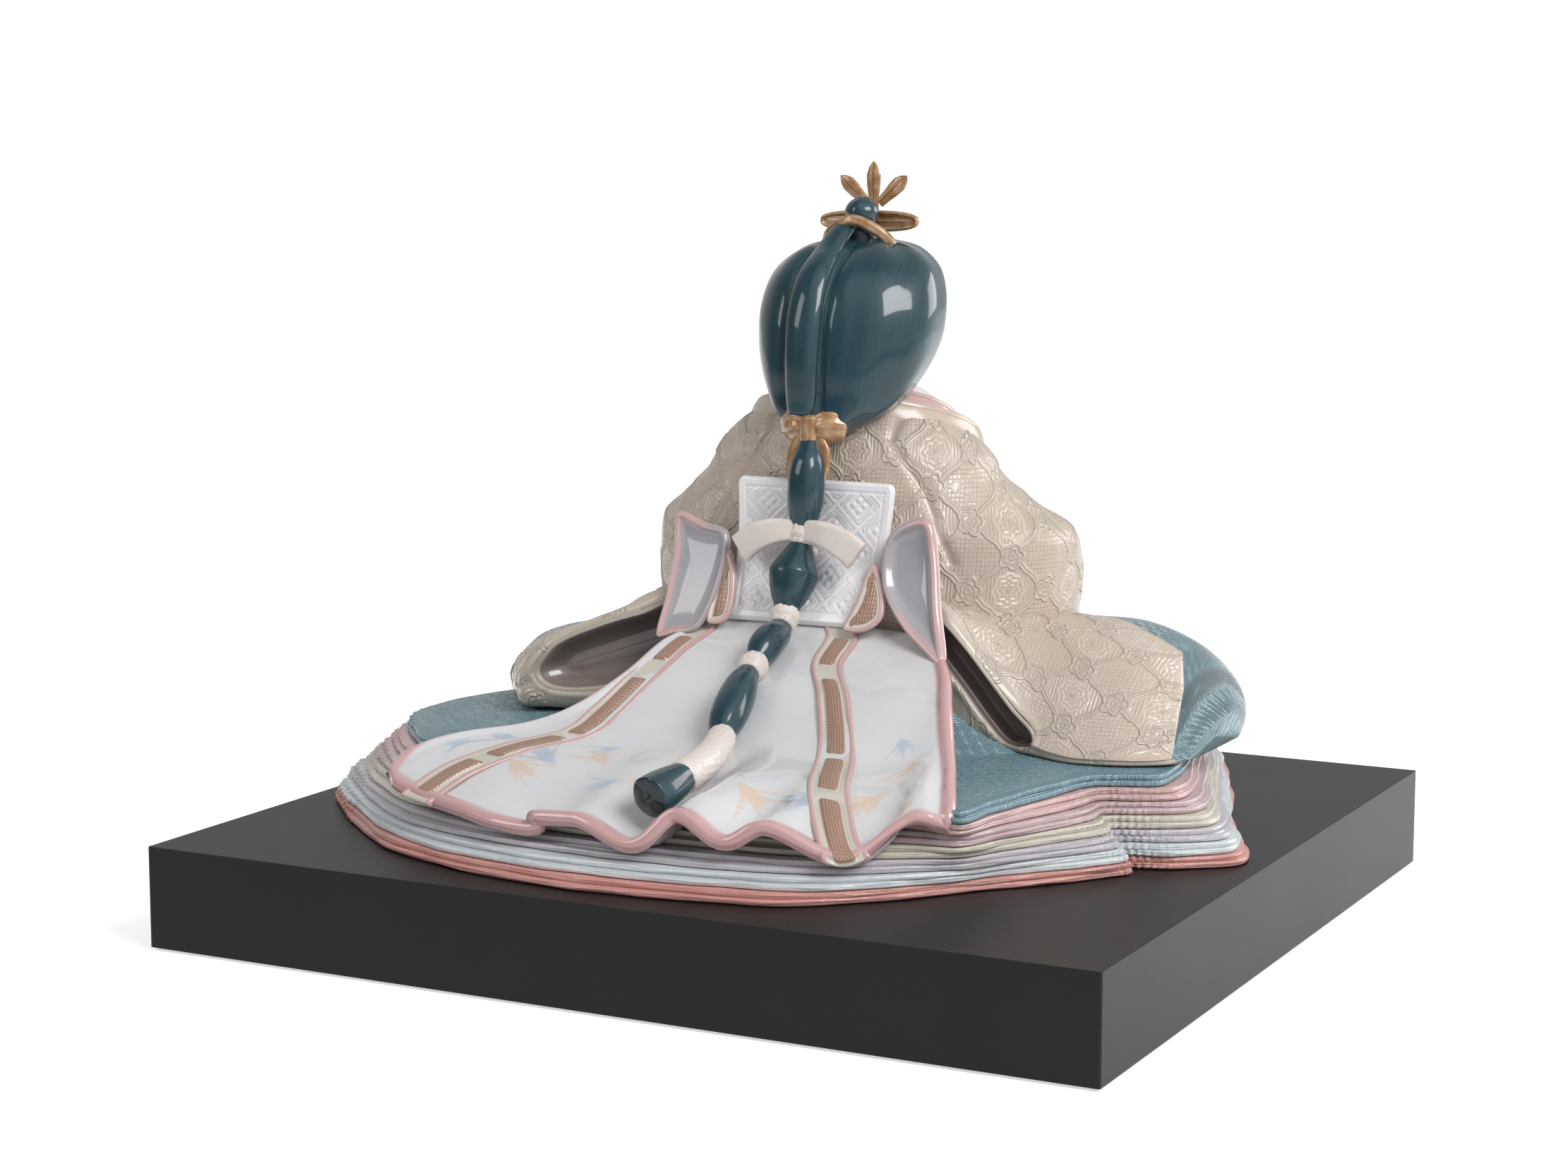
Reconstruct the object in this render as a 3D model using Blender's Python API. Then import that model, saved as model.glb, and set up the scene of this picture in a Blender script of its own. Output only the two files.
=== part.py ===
"""Porcelain hina doll: a court lady seated on her spread robes, on a black lacquered plinth.

Metres, +Z up. The doll faces -Y, so its back is on +Y and its right hand on -X. The origin is the middle of
the plinth, on the surface that its felt pads stand on. The figure is slip-cast porcelain: thin-walled castings
that are luted together, open underneath. It stands loose on the plinth and lifts straight up.
"""

import math

import bmesh
import bpy
import numpy as np

# Clearances and cutting
SEAT_GAP = 0.0003  # between two pieces that rest on each other
OVERRUN = 0.012  # how far a cutter runs past what it cuts

# Power of the level ovals: 2 is an ellipse, more is squarer
ROUND = 2.0
HEAD_SQUARENESS = 2.1
PLATE_SQUARENESS = 2.2
SQUARENESS = 2.3
PAD_SIDES = 20

# Plinth and its felt pads
PLINTH_WIDTH = 0.384
PLINTH_DEPTH = 0.357
PLINTH_HEIGHT = 0.039
PLINTH_EDGE = 0.0009
PAD_RADIUS = 0.011
PAD_THICKNESS = 0.002
PAD_STAND = 0.001
PAD_INSET = 0.030

# Stacked hems of the under-robes, each a flat casting round the open well
LAYER_THICKNESS = 0.0042
LAYER_EDGE = 0.0016
HEM_HALF_WIDTH = 0.183
HEM_HALF_DEPTH = 0.168
WELL_HALF_WIDTH = 0.080
WELL_HALF_DEPTH = 0.070
WELL_CENTRE_Y = -0.024

# Over-robe: a flat border that rises to an open mound under the jacket
ROBE_HALF_WIDTH = 0.165
ROBE_HALF_DEPTH = 0.156
MOUND_RISE = 0.040
MOUND_HALF_WIDTH = 0.104
MOUND_HALF_DEPTH = 0.100
MOUND_CENTRE_Y = -0.034
ROBE_WALL = 0.0045

# Jacket: back, shoulders and upper arms in one thin casting, open underneath and at the neck
JACKET_HALF_WIDTH = 0.090
JACKET_HALF_DEPTH = 0.051
JACKET_CENTRE_Y = -0.049
JACKET_HEIGHT = 0.134
JACKET_WALL = 0.0042
FOOT_WALL_SHARE = 0.5  # height below which the wall's inner edge comes down to the foot

# Sleeves, which lie on the robe's border
SLEEVE_REACH = 0.168
LEFT_SLEEVE_REACH = 0.152
SLEEVE_HALF_DEPTH = 0.068
SLEEVE_CENTRE_Y = -0.041
SLEEVE_RISE = 0.050
MOUTH_DEPTH = 0.0090
MOUTH_INSET = 0.0008
LINING_WALL = 0.0012

# Train of the apron, its ribbons, and the stiff panel at the waist
TRAIN_HALF_WIDTH = 0.120
TRAIN_LENGTH = 0.140
TRAIN_RISE = 0.056
TRAIN_TOP_Y = 0.014
TRAIN_HEM_DROP = 0.0115
TRAIN_THICKNESS = 0.0030
RIBBON_WIDTH = 0.0165
RIBBON_THICKNESS = 0.0024
RIBBON_STAND = 0.0016
PANEL_HALF_WIDTH = 0.0345
PANEL_HEIGHT = 0.0550
PANEL_THICKNESS = 0.0028
PANEL_TOP_Y = 0.0030
PANEL_SWEEP = 0.0165
PANEL_TAPER = 0.0040
BOW_WIDTH = 0.0400
BOW_HEIGHT = 0.0560
BOW_THICKNESS = 0.0034
BOW_DISH = 0.0026
BOW_STAND = 0.0030
TAB_THICKNESS = 0.0026

# Head and hair
HEAD_HALF_WIDTH = 0.0235
HEAD_HALF_DEPTH = 0.0255
HEAD_HEIGHT = 0.0700
HEAD_CENTRE_Y = -0.0490
HAIR_HALF_WIDTH = 0.0380
HAIR_HALF_DEPTH = 0.0310
HAIR_HEIGHT = 0.0760
STRAND_WIDTH = 0.0130
STRAND_THICKNESS = 0.0030
STRAND_X = 0.0055
LOCK_RADIUS = 0.0044
LOCK_LENGTH = 0.0220

# Topknot and crown
KNOT_RADIUS = 0.0068
KNOT_RISE = 0.0170
BAND_RADIUS = 0.0020
BAND_HALF_WIDTH = 0.0140
BAND_RISE = 0.0085
CROWN_X = 0.0015
CROWN_Y = -0.0500
CROWN_HEIGHT = 0.0085
PLATE_HALF_WIDTH = 0.0217
PLATE_HALF_HEIGHT = 0.0042
PLATE_THICKNESS = 0.0028
PLATE_RIM = 0.0011
PLATE_RECESS = 0.0011
STEM_RADIUS = 0.0022
LEAF_LENGTH = 0.0190
LEAF_SIDE_SHARE = 0.86
LEAF_HALF_WIDTH = 0.0031
LEAF_THICKNESS = 0.0022
LEAF_SPREAD_DEG = 48.0

# Bound hair down the back
TAIL_RADIUS = 0.0072
RING_RADIUS = 0.0060
WRAP_RADIUS = 0.0058
FLARE_RADIUS = 0.0100
END_RADIUS = 0.0078
PAPER_WING_LENGTH = 0.0225
PAPER_WING_RADIUS = 0.0050
PAPER_FLATNESS_SHARE = 0.45
NAPE_LOOP_LENGTH = 0.0120
NAPE_LOOP_RADIUS = 0.0054
NAPE_KNOT_RADIUS = 0.0042
NAPE_TAIL_LENGTH = 0.0200
NAPE_TAIL_RADIUS = 0.0042
NAPE_TAIL_FLATNESS_SHARE = 0.45

# Collars, cuffs and hands
COLLAR_WIDTH = 0.0100
COLLAR_FLATNESS_SHARE = 0.24
COLLAR_ROOM = 0.0065  # that the collars take up round the jacket, with the seat gap
COLLAR_DROP_SHARE = 0.030  # of the jacket's height, from each collar to the next
CUFF_RADIUS = 0.0150
CUFF_LENGTH = 0.0270
CUFF_STEP = 0.0016
HAND_RADIUS = 0.0060
HAND_LENGTH = 0.0190
WRIST_X = 0.0270
WRIST_Y = -0.1060
WRIST_HEIGHT = 0.0420

# Folding fan
FAN_RADIUS = 0.0470
FAN_HUB = 0.0013
FAN_THICKNESS = 0.0012
FAN_PLEAT = 0.0010
FAN_HALF_ANGLE_DEG = 58.0
FAN_PIVOT_HEIGHT = 0.0310
FAN_Y = -0.1330
FAN_LEAN_DEG = 14.0
FAN_PIN_RADIUS = 0.0018
FAN_PIN_LENGTH = 0.0080

# Heights that pieces share
PLINTH_TOP = PAD_STAND + PLINTH_HEIGHT
FIGURE_FOOT = PLINTH_TOP + SEAT_GAP
LAYER_PITCH = LAYER_THICKNESS + SEAT_GAP
LAYER_NAMES = ("coral", "pale_blue", "grey", "cream", "mauve", "rose")
ROBE_FOOT = FIGURE_FOOT + LAYER_PITCH * len(LAYER_NAMES)
ROBE_FLOOR = ROBE_FOOT + LAYER_THICKNESS  # top of the robe's border, which sleeves and train lie on
JACKET_FOOT = ROBE_FLOOR + ROBE_WALL / 2
JACKET_TOP = JACKET_FOOT + JACKET_HEIGHT
TRAIN_FOOT = ROBE_FLOOR - TRAIN_HEM_DROP
TRAIN_TOP = TRAIN_FOOT + TRAIN_RISE
HEAD_FOOT = JACKET_TOP - HEAD_HEIGHT * 0.29
HAIR_FOOT = HEAD_FOOT

# Plan outlines, as shares of the half width and half depth, from the middle of the back over the doll's right
HEM_OUTLINE_SHARES = (
    (0.000, 0.970), (-0.150, 0.950), (-0.333, 0.905), (-0.437, 0.830), (-0.525, 0.732), (-0.600, 0.625),
    (-0.680, 0.520), (-0.770, 0.410), (-0.836, 0.310), (-0.805, 0.262), (-0.900, 0.220), (-0.995, 0.125),
    (-0.985, 0.020), (-0.918, -0.120), (-0.858, -0.286), (-0.792, -0.488), (-0.721, -0.679), (-0.645, -0.869),
    (-0.546, -0.964), (-0.328, -0.990), (-0.109, -1.000), (0.109, -1.000), (0.328, -0.990), (0.546, -0.964),
    (0.656, -0.869), (0.743, -0.667), (0.820, -0.452), (0.891, -0.226), (0.945, 0.000), (0.980, 0.214),
    (0.995, 0.405), (0.890, 0.560), (0.765, 0.690), (0.650, 0.800), (0.546, 0.870), (0.404, 0.930),
    (0.262, 0.960), (0.131, 0.975),
)
ROBE_OUTLINE_SHARES = (
    (0.000, 0.640), (-0.170, 0.645), (-0.330, 0.655), (-0.470, 0.672), (-0.580, 0.690), (-0.690, 0.735),
    (-0.712, 0.590), (-0.735, 0.455), (-0.765, 0.320), (-0.790, 0.225), (-0.845, 0.190), (-0.930, 0.140),
    (-0.930, 0.013), (-0.895, -0.141), (-0.840, -0.321), (-0.770, -0.526), (-0.691, -0.718), (-0.618, -0.872),
    (-0.533, -0.949), (-0.327, -0.981), (-0.109, -1.000), (0.109, -1.000), (0.327, -0.981), (0.533, -0.949),
    (0.624, -0.872), (0.709, -0.705), (0.794, -0.500), (0.885, -0.282), (0.960, -0.077), (1.000, 0.100),
    (0.985, 0.280), (0.905, 0.425), (0.800, 0.545), (0.680, 0.618), (0.540, 0.640), (0.412, 0.650),
    (0.279, 0.645), (0.145, 0.640),
)
LAYER_INSET_SHARES = (0.0, 0.08, 0.22, 0.40, 0.58, 0.78)

# Sections of the lofted castings, from the foot up: height, half width, back and front
MOUND_SECTION_SHARES = (
    (0.060, 1.060, 1.060, -1.040), (0.300, 0.885, 0.885, -0.930), (0.580, 0.770, 0.740, -0.840),
    (0.800, 0.635, 0.600, -0.700), (0.940, 0.430, 0.430, -0.500),
)
JACKET_SECTION_SHARES = (
    (0.000, 0.950, 1.235, -0.960, 0.000), (0.157, 0.960, 1.235, -0.980, 0.000),
    (0.270, 0.975, 1.196, -0.990, 0.000),
    (0.380, 0.990, 1.118, -0.980, 0.000), (0.480, 1.000, 1.040, -0.920, 0.004),
    (0.567, 0.978, 0.980, -0.800, 0.008),
    (0.627, 0.861, 0.940, -0.700, 0.032), (0.716, 0.705, 0.900, -0.540, 0.036),
    (0.800, 0.628, 0.850, -0.420, 0.034),
    (0.866, 0.515, 0.790, -0.340, 0.046), (0.925, 0.372, 0.690, -0.290, 0.058),
    (0.970, 0.270, 0.580, -0.260, 0.066),
    (1.000, 0.195, 0.490, -0.250, 0.068),
)
HEAD_SECTION_SHARES = (
    (0.000, 0.440, 0.460, -0.340), (0.140, 0.420, 0.460, -0.340), (0.200, 0.500, 0.500, -0.620),
    (0.240, 0.580, 0.560, -0.830), (0.330, 0.780, 0.760, -0.940), (0.470, 0.970, 0.920, -1.000),
    (0.600, 1.000, 0.980, -0.980), (0.720, 0.970, 0.980, -0.930), (0.840, 0.850, 0.880, -0.800),
    (0.940, 0.600, 0.620, -0.560), (1.000, 0.280, 0.300, -0.250),
)
HAIR_SECTION_SHARES = (  # height, half width, then back and front from the middle of the head
    (0.000, 0.120, 1.720, 1.360), (0.040, 0.350, 1.770, 0.980), (0.120, 0.600, 1.740, 0.680),
    (0.210, 0.760, 1.710, 0.340), (0.330, 0.890, 1.710, 0.020), (0.470, 0.975, 1.680, -0.250),
    (0.630, 1.000, 1.610, -0.390), (0.780, 0.950, 1.430, -0.420), (0.880, 0.835, 1.190, -0.390),
    (0.960, 0.600, 0.880, -0.290), (1.000, 0.300, 0.550, -0.060),
)
KNOT_PROFILE_SHARES = (
    (-0.35, 1.05), (0.15, 0.95), (0.36, 0.80), (0.52, 0.96), (0.70, 1.00), (0.88, 0.74), (1.0, 0.25),
)

# Sleeve stations: reach, near side, its height, lift of its lower edge, crest, its height, far side,
# its height
RIGHT_SLEEVE_SHARES = (
    (0.300, 0.840, 1.120, 0.10, 0.310, 1.060, -0.600, 0.500),
    (0.380, 0.880, 1.040, 0.10, 0.310, 1.000, -0.700, 0.500),
    (0.476, 0.900, 0.640, 0.10, 0.280, 0.960, -0.930, 0.550),
    (0.577, 0.920, 0.260, 0.05, 0.235, 0.930, -0.985, 0.600),
    (0.685, 0.970, 0.140, 0.02, 0.162, 0.900, -0.985, 0.620),
    (0.786, 0.930, 0.120, 0.02, 0.118, 0.785, -0.912, 0.550),
    (0.852, 0.850, 0.110, 0.02, 0.060, 0.635, -0.765, 0.450),
    (0.897, 0.740, 0.100, 0.02, 0.020, 0.440, -0.560, 0.300),
    (0.924, 0.540, 0.080, 0.02, 0.000, 0.235, -0.300, 0.170),
)
LEFT_SLEEVE_SHARES = (
    (0.330, 0.800, 1.100, 0.12, 0.310, 1.080, -0.600, 0.600),
    (0.420, 0.860, 1.030, 0.12, 0.310, 1.020, -0.700, 0.580),
    (0.526, 0.940, 0.860, 0.12, 0.280, 0.860, -0.930, 0.560),
    (0.638, 1.030, 0.720, 0.12, 0.235, 0.735, -0.985, 0.530),
    (0.724, 1.080, 0.590, 0.12, 0.190, 0.675, -0.985, 0.520),
    (0.783, 1.060, 0.400, 0.10, 0.150, 0.590, -0.955, 0.480),
    (0.870, 0.780, 0.320, 0.04, 0.090, 0.535, -0.880, 0.440),
    (0.975, 0.470, 0.260, 0.02, 0.015, 0.465, -0.720, 0.360),
    (1.035, 0.190, 0.170, 0.02, -0.060, 0.320, -0.520, 0.240),
)
SLEEVE_SPLIT_SHARES = (  # plan line, from the body out, past which the robe's own sleeve shows
    (0.200, -0.150), (0.548, -0.060), (0.744, 0.074), (0.827, 0.162), (0.870, 0.500), (0.930, 1.300),
)
RIGHT_MOUTH_SHARES = (  # outline of the mouth: reach, then height
    (0.290, 1.240), (0.350, 1.060), (0.425, 0.830), (0.490, 0.590),
    (0.550, 0.370), (0.600, 0.220), (0.595, 0.110),
    (0.535, 0.110), (0.480, 0.270), (0.420, 0.500), (0.350, 0.740), (0.290, 0.900),
)
LEFT_MOUTH_SHARES = (
    (0.360, 0.980), (0.460, 0.900), (0.560, 0.800), (0.660, 0.660), (0.715, 0.500), (0.735, 0.360),
    (0.690, 0.240), (0.580, 0.230), (0.460, 0.300), (0.360, 0.400),
)

# Train: rows of the right edge, the middle and the left edge from the waist down, then the wavy hem
TRAIN_ROW_SHARES = (
    ((-0.433, 0.000, 0.980), (-0.010, 0.000, 1.020), (0.417, 0.000, 0.980)),
    ((-0.533, 0.057, 0.910), (-0.025, 0.064, 0.940), (0.400, 0.071, 0.910)),
    ((-0.625, 0.171, 0.800), (-0.083, 0.186, 0.810), (0.433, 0.164, 0.840)),
    ((-0.700, 0.307, 0.660), (-0.117, 0.314, 0.660), (0.467, 0.307, 0.680)),
    ((-0.767, 0.420, 0.480), (-0.108, 0.436, 0.464), (0.567, 0.436, 0.480)),
    ((-0.825, 0.514, 0.357), (-0.083, 0.550, 0.340), (0.700, 0.514, 0.357)),
    ((-0.890, 0.636, 0.270), (-0.042, 0.700, 0.250), (0.883, 0.607, 0.286)),
    ((-0.925, 0.700, 0.180), (-0.017, 0.850, 0.125), (0.967, 0.720, 0.196)),
)
TRAIN_HEM_SHARES = (
    (-0.930, 0.712, -0.010), (-0.805, 0.745, 0.100), (-0.658, 0.886, -0.090), (-0.433, 0.943, 0.107),
    (-0.300, 0.971, 0.000), (-0.142, 0.964, 0.143), (-0.017, 1.007, -0.063), (0.183, 0.993, 0.054),
    (0.383, 0.993, -0.054), (0.625, 0.950, 0.000), (0.867, 0.879, 0.036), (0.992, 0.836, 0.125),
)
PLEAT_SHARES = (0.0, 0.0, 0.0, 0.0, 0.04, 0.08, 0.16, 0.45)  # of the hem's waves, in each row
# Places of the ribbons across the train, by row
RIGHT_RIBBON_SHARES = (0.360, 0.375, 0.400, 0.345, 0.292, 0.255, 0.218, 0.182, 0.150)
LEFT_RIBBON_SHARES = (0.930, 0.930, 0.930, 0.930, 0.900, 0.855, 0.850, 0.875, 0.900)
RIBBON_SPREAD_SHARES = (0.80, 0.80, 0.80, 0.85, 0.95, 1.05, 1.10, 1.15, 1.20)

# Waist bows and ribbon tabs: outlines across and up, from the panel's top middle
RIGHT_BOW_SHARES = (
    (-0.850, -0.482), (-0.900, -0.320), (-1.100, -0.225),
    (-1.325, -0.205), (-1.425, -0.430), (-1.550, -0.800),
    (-1.740, -1.160), (-1.475, -1.070), (-1.150, -0.910), (-0.900, -0.695),
)
LEFT_BOW_SHARES = (
    (1.450, -0.270), (1.130, -0.330), (0.850, -0.400), (0.840, -0.720), (0.960, -1.030), (1.200, -1.090),
    (1.420, -1.110), (1.430, -0.840), (1.430, -0.550),
)
RIGHT_TAB_SHARES = (
    (-0.740, -0.540), (-0.900, -0.670), (-0.960, -0.880),
    (-0.800, -0.980), (-0.570, -0.970), (-0.640, -0.800),
)
LEFT_TAB_SHARES = (
    (0.830, -0.500), (0.700, -0.700), (0.680, -0.960), (0.900, -1.000), (0.930, -0.830), (0.910, -0.640),
)
DISH_RIM_SHARES = (0.55, 0.10, 0.0, 0.10, 0.40)  # how far each ring of a dish is drawn in to its middle

# Bound hair: its middle line in the train's measures, from the nape to the cut end
TAIL_PATH_SHARES = (
    (0.008, -0.071, 2.268), (0.000, -0.036, 2.071), (0.002, -0.025, 1.839), (0.004, -0.019, 1.679),
    (0.004, -0.011, 1.570), (0.010, 0.021, 1.393), (0.012, 0.046, 1.250), (0.010, 0.082, 1.080),
    (0.008, 0.132, 0.975), (0.005, 0.193, 0.929), (0.002, 0.243, 0.866), (-0.002, 0.293, 0.798),
    (-0.008, 0.357, 0.723), (-0.025, 0.440, 0.607), (-0.042, 0.529, 0.473), (-0.066, 0.579, 0.425),
    (-0.088, 0.686, 0.357), (-0.079, 0.771, 0.304), (-0.071, 0.836, 0.268), (-0.050, 0.929, 0.214),
)
# Name, glaze, first and last point on the middle line, largest radius, swelling along the piece
TAIL_PIECES = (
    ("tail_lock_1", "teal", 0.30, 3.00, TAIL_RADIUS, (0.62, 0.92, 1.00, 0.96, 0.72)),
    ("paper_bow_knot", "paper", 3.00, 4.00, WRAP_RADIUS, (0.90, 1.00, 0.90)),
    ("tail_tassel", "teal", 4.00, 5.30, FLARE_RADIUS, (0.40, 0.58, 0.80, 1.00)),
    ("tail_lock_2", "teal", 5.30, 6.80, FLARE_RADIUS, (0.98, 0.88, 0.70, 0.48)),
    ("paper_ring_upper", "paper", 6.80, 7.40, RING_RADIUS, (0.85, 1.00, 0.85)),
    ("tail_lock_3", "teal", 7.40, 10.60, TAIL_RADIUS, (0.55, 0.80, 0.90, 0.85, 0.55)),
    ("paper_ring_lower", "paper", 10.60, 11.30, RING_RADIUS, (0.85, 1.00, 0.85)),
    ("tail_lock_4", "teal", 11.30, 14.60, TAIL_RADIUS, (0.55, 0.86, 1.00, 0.94, 0.62)),
    ("paper_wrap", "paper", 14.60, 17.40, WRAP_RADIUS, (0.90, 0.95, 1.00, 1.05, 1.10)),
    ("tail_end", "teal", 17.40, 19.00, END_RADIUS, (0.74, 0.88, 0.98, 1.00)),
)

# Collars: half of the path from the nape to the crossing in front: height on the jacket, then the turn
# round it
COLLAR_PATH_SHARES = (
    (1.010, 0.00), (1.005, 0.20), (0.990, 0.40), (0.955, 0.58), (0.900, 0.72), (0.825, 0.83), (0.745, 0.905),
    (0.665, 0.955), (0.600, 0.982),
)
COLLAR_NAMES = (
    ("collar_inner_white", "white"), ("collar_middle_rose", "rose"), ("collar_outer_beige", "beige"),
)

# Lock before the ear and the gilt cord over the topknot's root
LOCK_TOP_SHARES = (1.12, 0.10, 0.74)  # out from the middle, forward and up, in the head's own sizes
LOCK_SWELL_SHARES = (0.6, 1.0, 0.95, 0.7, 0.3)
WING_SWELL_SHARES = (0.7, 0.95, 1.0, 1.05)
LOOP_SWELL_SHARES = (0.6, 1.0, 1.05, 0.7)
BAND_PATH_SHARES = (
    (1.0, 0.15, -0.30), (0.75, 0.45, 0.35), (0.0, 0.62, 0.95), (-0.75, 0.45, 0.40), (-1.1, 0.15, -0.35),
)

COLOURS = {  # base colour, roughness, metallic
    "lacquer": ((0.012, 0.012, 0.013, 1), 0.42, 0.0),
    "felt": ((0.05, 0.05, 0.05, 1), 0.95, 0.0),
    "coral": ((0.62, 0.26, 0.21, 1), 0.25, 0.0),
    "pale_blue": ((0.66, 0.72, 0.74, 1), 0.22, 0.0),
    "grey": ((0.52, 0.50, 0.53, 1), 0.22, 0.0),
    "cream": ((0.68, 0.63, 0.51, 1), 0.22, 0.0),
    "mauve": ((0.58, 0.42, 0.43, 1), 0.22, 0.0),
    "rose": ((0.62, 0.37, 0.36, 1), 0.22, 0.0),
    "blue": ((0.22, 0.40, 0.46, 1), 0.22, 0.0),
    "beige": ((0.58, 0.48, 0.38, 1), 0.22, 0.0),
    "white": ((0.80, 0.80, 0.81, 1), 0.18, 0.0),
    "paper": ((0.85, 0.79, 0.75, 1), 0.35, 0.0),
    "teal": ((0.030, 0.115, 0.150, 1), 0.15, 0.0),
    "gold": ((0.55, 0.30, 0.11, 1), 0.28, 0.3),
    "brown": ((0.36, 0.23, 0.18, 1), 0.30, 0.0),
    "skin": ((0.86, 0.74, 0.68, 1), 0.25, 0.0),
}


def material(name):
    """The named glaze as a Principled material, made once."""
    found = bpy.data.materials.get(name)
    if found:
        return found
    colour, roughness, metallic = COLOURS[name]
    made = bpy.data.materials.new(name)
    made.use_nodes = True
    shader = made.node_tree.nodes["Principled BSDF"]
    shader.inputs["Base Color"].default_value = colour
    shader.inputs["Roughness"].default_value = roughness
    shader.inputs["Metallic"].default_value = metallic
    made.diffuse_color = colour
    return made


def new_object(name, vertices, faces, glaze):
    """A closed mesh with its faces turned outwards."""
    mesh = bpy.data.meshes.new(name)
    mesh.from_pydata([tuple(map(float, vertex)) for vertex in vertices], [], faces)
    made = bpy.data.objects.new(name, mesh)
    bpy.context.scene.collection.objects.link(made)
    mesh.materials.append(material(glaze))
    facing = bmesh.new()
    facing.from_mesh(mesh)
    bmesh.ops.recalc_face_normals(facing, faces=facing.faces)
    if facing.calc_volume(signed=True) < 0:
        bmesh.ops.reverse_faces(facing, faces=facing.faces)
    bmesh.ops.triangulate(facing, faces=facing.faces)
    facing.to_mesh(mesh)
    facing.free()
    mesh.shade_smooth()
    mesh.set_sharp_from_angle(angle=math.radians(40))
    return made


def loft(name, rings, glaze, wrap=False):
    """A closed body through rings of points; wrap joins the last ring to the first, with no caps."""
    rings = np.asarray(rings, float)
    count, sides = rings.shape[:2]
    vertices = list(rings.reshape(-1, 3))
    faces = []
    for row in range(count if wrap else count - 1):
        above = (row + 1) % count
        for side in range(sides):
            beside = (side + 1) % sides
            low, high = row * sides, above * sides
            faces.append((low + side, low + beside, high + beside, high + side))
    if not wrap:
        for row in (0, count - 1):
            middle = len(vertices)
            vertices.append(rings[row].mean(axis=0))
            start = row * sides
            faces.extend((start + side, start + (side + 1) % sides, middle) for side in range(sides))
    return new_object(name, vertices, faces, glaze)


def plate(name, grid, thickness, glaze):
    """A closed plate under a grid of points, which is its outer face."""
    grid = np.asarray(grid, float)
    rows, columns = grid.shape[:2]
    normal = np.cross(np.gradient(grid, axis=1), np.gradient(grid, axis=0))
    normal /= np.linalg.norm(normal, axis=2)[:, :, None]
    vertices = np.concatenate([grid.reshape(-1, 3), (grid - normal * thickness).reshape(-1, 3)])
    index = np.arange(rows * columns).reshape(rows, columns)
    faces = []
    corners = np.stack([index[:-1, :-1], index[:-1, 1:], index[1:, 1:], index[1:, :-1]], axis=-1)
    corners = corners.reshape(-1, 4)
    faces.extend(corners)
    faces.extend(corners[:, ::-1] + index.size)
    rim = np.concatenate([index[0, :-1], index[:-1, -1], index[-1, :0:-1], index[:0:-1, 0]])
    for start, end in zip(rim, np.roll(rim, -1)):
        faces.append((end, start, start + index.size, end + index.size))
    return new_object(name, vertices, [tuple(map(int, face)) for face in faces], glaze)


def spline(points, steps, closed=False):
    """Catmull-Rom curve through the points, with the given number of steps on each stretch."""
    points = np.asarray(points, float)
    count = len(points)
    share = (np.arange(steps) / steps).reshape((-1,) + (1,) * (points.ndim - 1))
    found = []
    for i in range(count if closed else count - 1):
        around = [(i + k) % count if closed else min(max(i + k, 0), count - 1) for k in (-1, 0, 1, 2)]
        a, b, c, d = points[around]
        bend = (2 * a - 5 * b + 4 * c - d) * share**2 + (3 * b - a - 3 * c + d) * share**3
        found.append(b + 0.5 * ((c - a) * share + bend))
    if not closed:
        found.append(points[-1:])
    return np.concatenate(found)


def tube(path, radii, sides, flatness=1.0, up=(0.0, 0.0, 1.0)):
    """Rings square to a path; flatness squeezes them along the direction nearest to up."""
    path = np.asarray(path, float)
    radii = np.broadcast_to(radii, len(path))
    along = np.gradient(path, axis=0)
    along /= np.linalg.norm(along, axis=1)[:, None]
    across = np.cross(along, np.asarray(up, float))
    across /= np.linalg.norm(across, axis=1)[:, None]
    over = np.cross(across, along)
    angle = np.linspace(0, 2 * math.pi, sides, endpoint=False)[None, :, None]
    ring = np.cos(angle) * across[:, None] + np.sin(angle) * over[:, None] * flatness
    return path[:, None] + radii[:, None, None] * ring


def resample(values, count):
    """The values read at evenly spaced places, straight between their own."""
    values = np.asarray(values, float)
    return np.interp(np.linspace(0, len(values) - 1, count), np.arange(len(values)), values)


def oval(half_width, back, front, height, sides, squareness=SQUARENESS):
    """A level ring, half_width each side of the middle plane, starting at the middle of the back."""
    angle = np.linspace(0, 2 * math.pi, sides, endpoint=False)
    sine, cosine = np.sin(angle), np.cos(angle)
    x = -np.sign(sine) * np.abs(sine) ** (2 / squareness) * half_width
    y = np.sign(cosine) * np.abs(cosine) ** (2 / squareness) * (back - front) / 2 + (back + front) / 2
    return level(np.stack([x, y], axis=1), height)


def level(plan, height):
    return np.column_stack([plan, np.full(len(plan), height)])


def inset(plan, distance):
    """A closed plan outline moved inwards by a distance, square to itself."""
    run = np.roll(plan, -1, axis=0) - np.roll(plan, 1, axis=0)
    normal = np.column_stack([run[:, 1], -run[:, 0]]) / np.linalg.norm(run, axis=1)[:, None]
    x, y = plan.T
    area = np.sum(x * np.roll(y, -1) - np.roll(x, -1) * y)
    return plan - normal * distance * np.sign(area)


def helper(obj):
    obj.hide_render = True
    obj.display_type = "WIRE"
    return obj


def clearance(obj):
    """A cutter: the object's uncut shape with its surface moved out by the seat gap, made once."""
    name = obj.name + ".clearance"
    found = bpy.data.objects.get(name)
    if found:
        return found
    made = bpy.data.objects.new(name, obj.data)
    bpy.context.scene.collection.objects.link(made)
    swell = made.modifiers.new("Seat gap", "DISPLACE")
    swell.strength = SEAT_GAP
    swell.mid_level = 0.0
    return helper(made)


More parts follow.
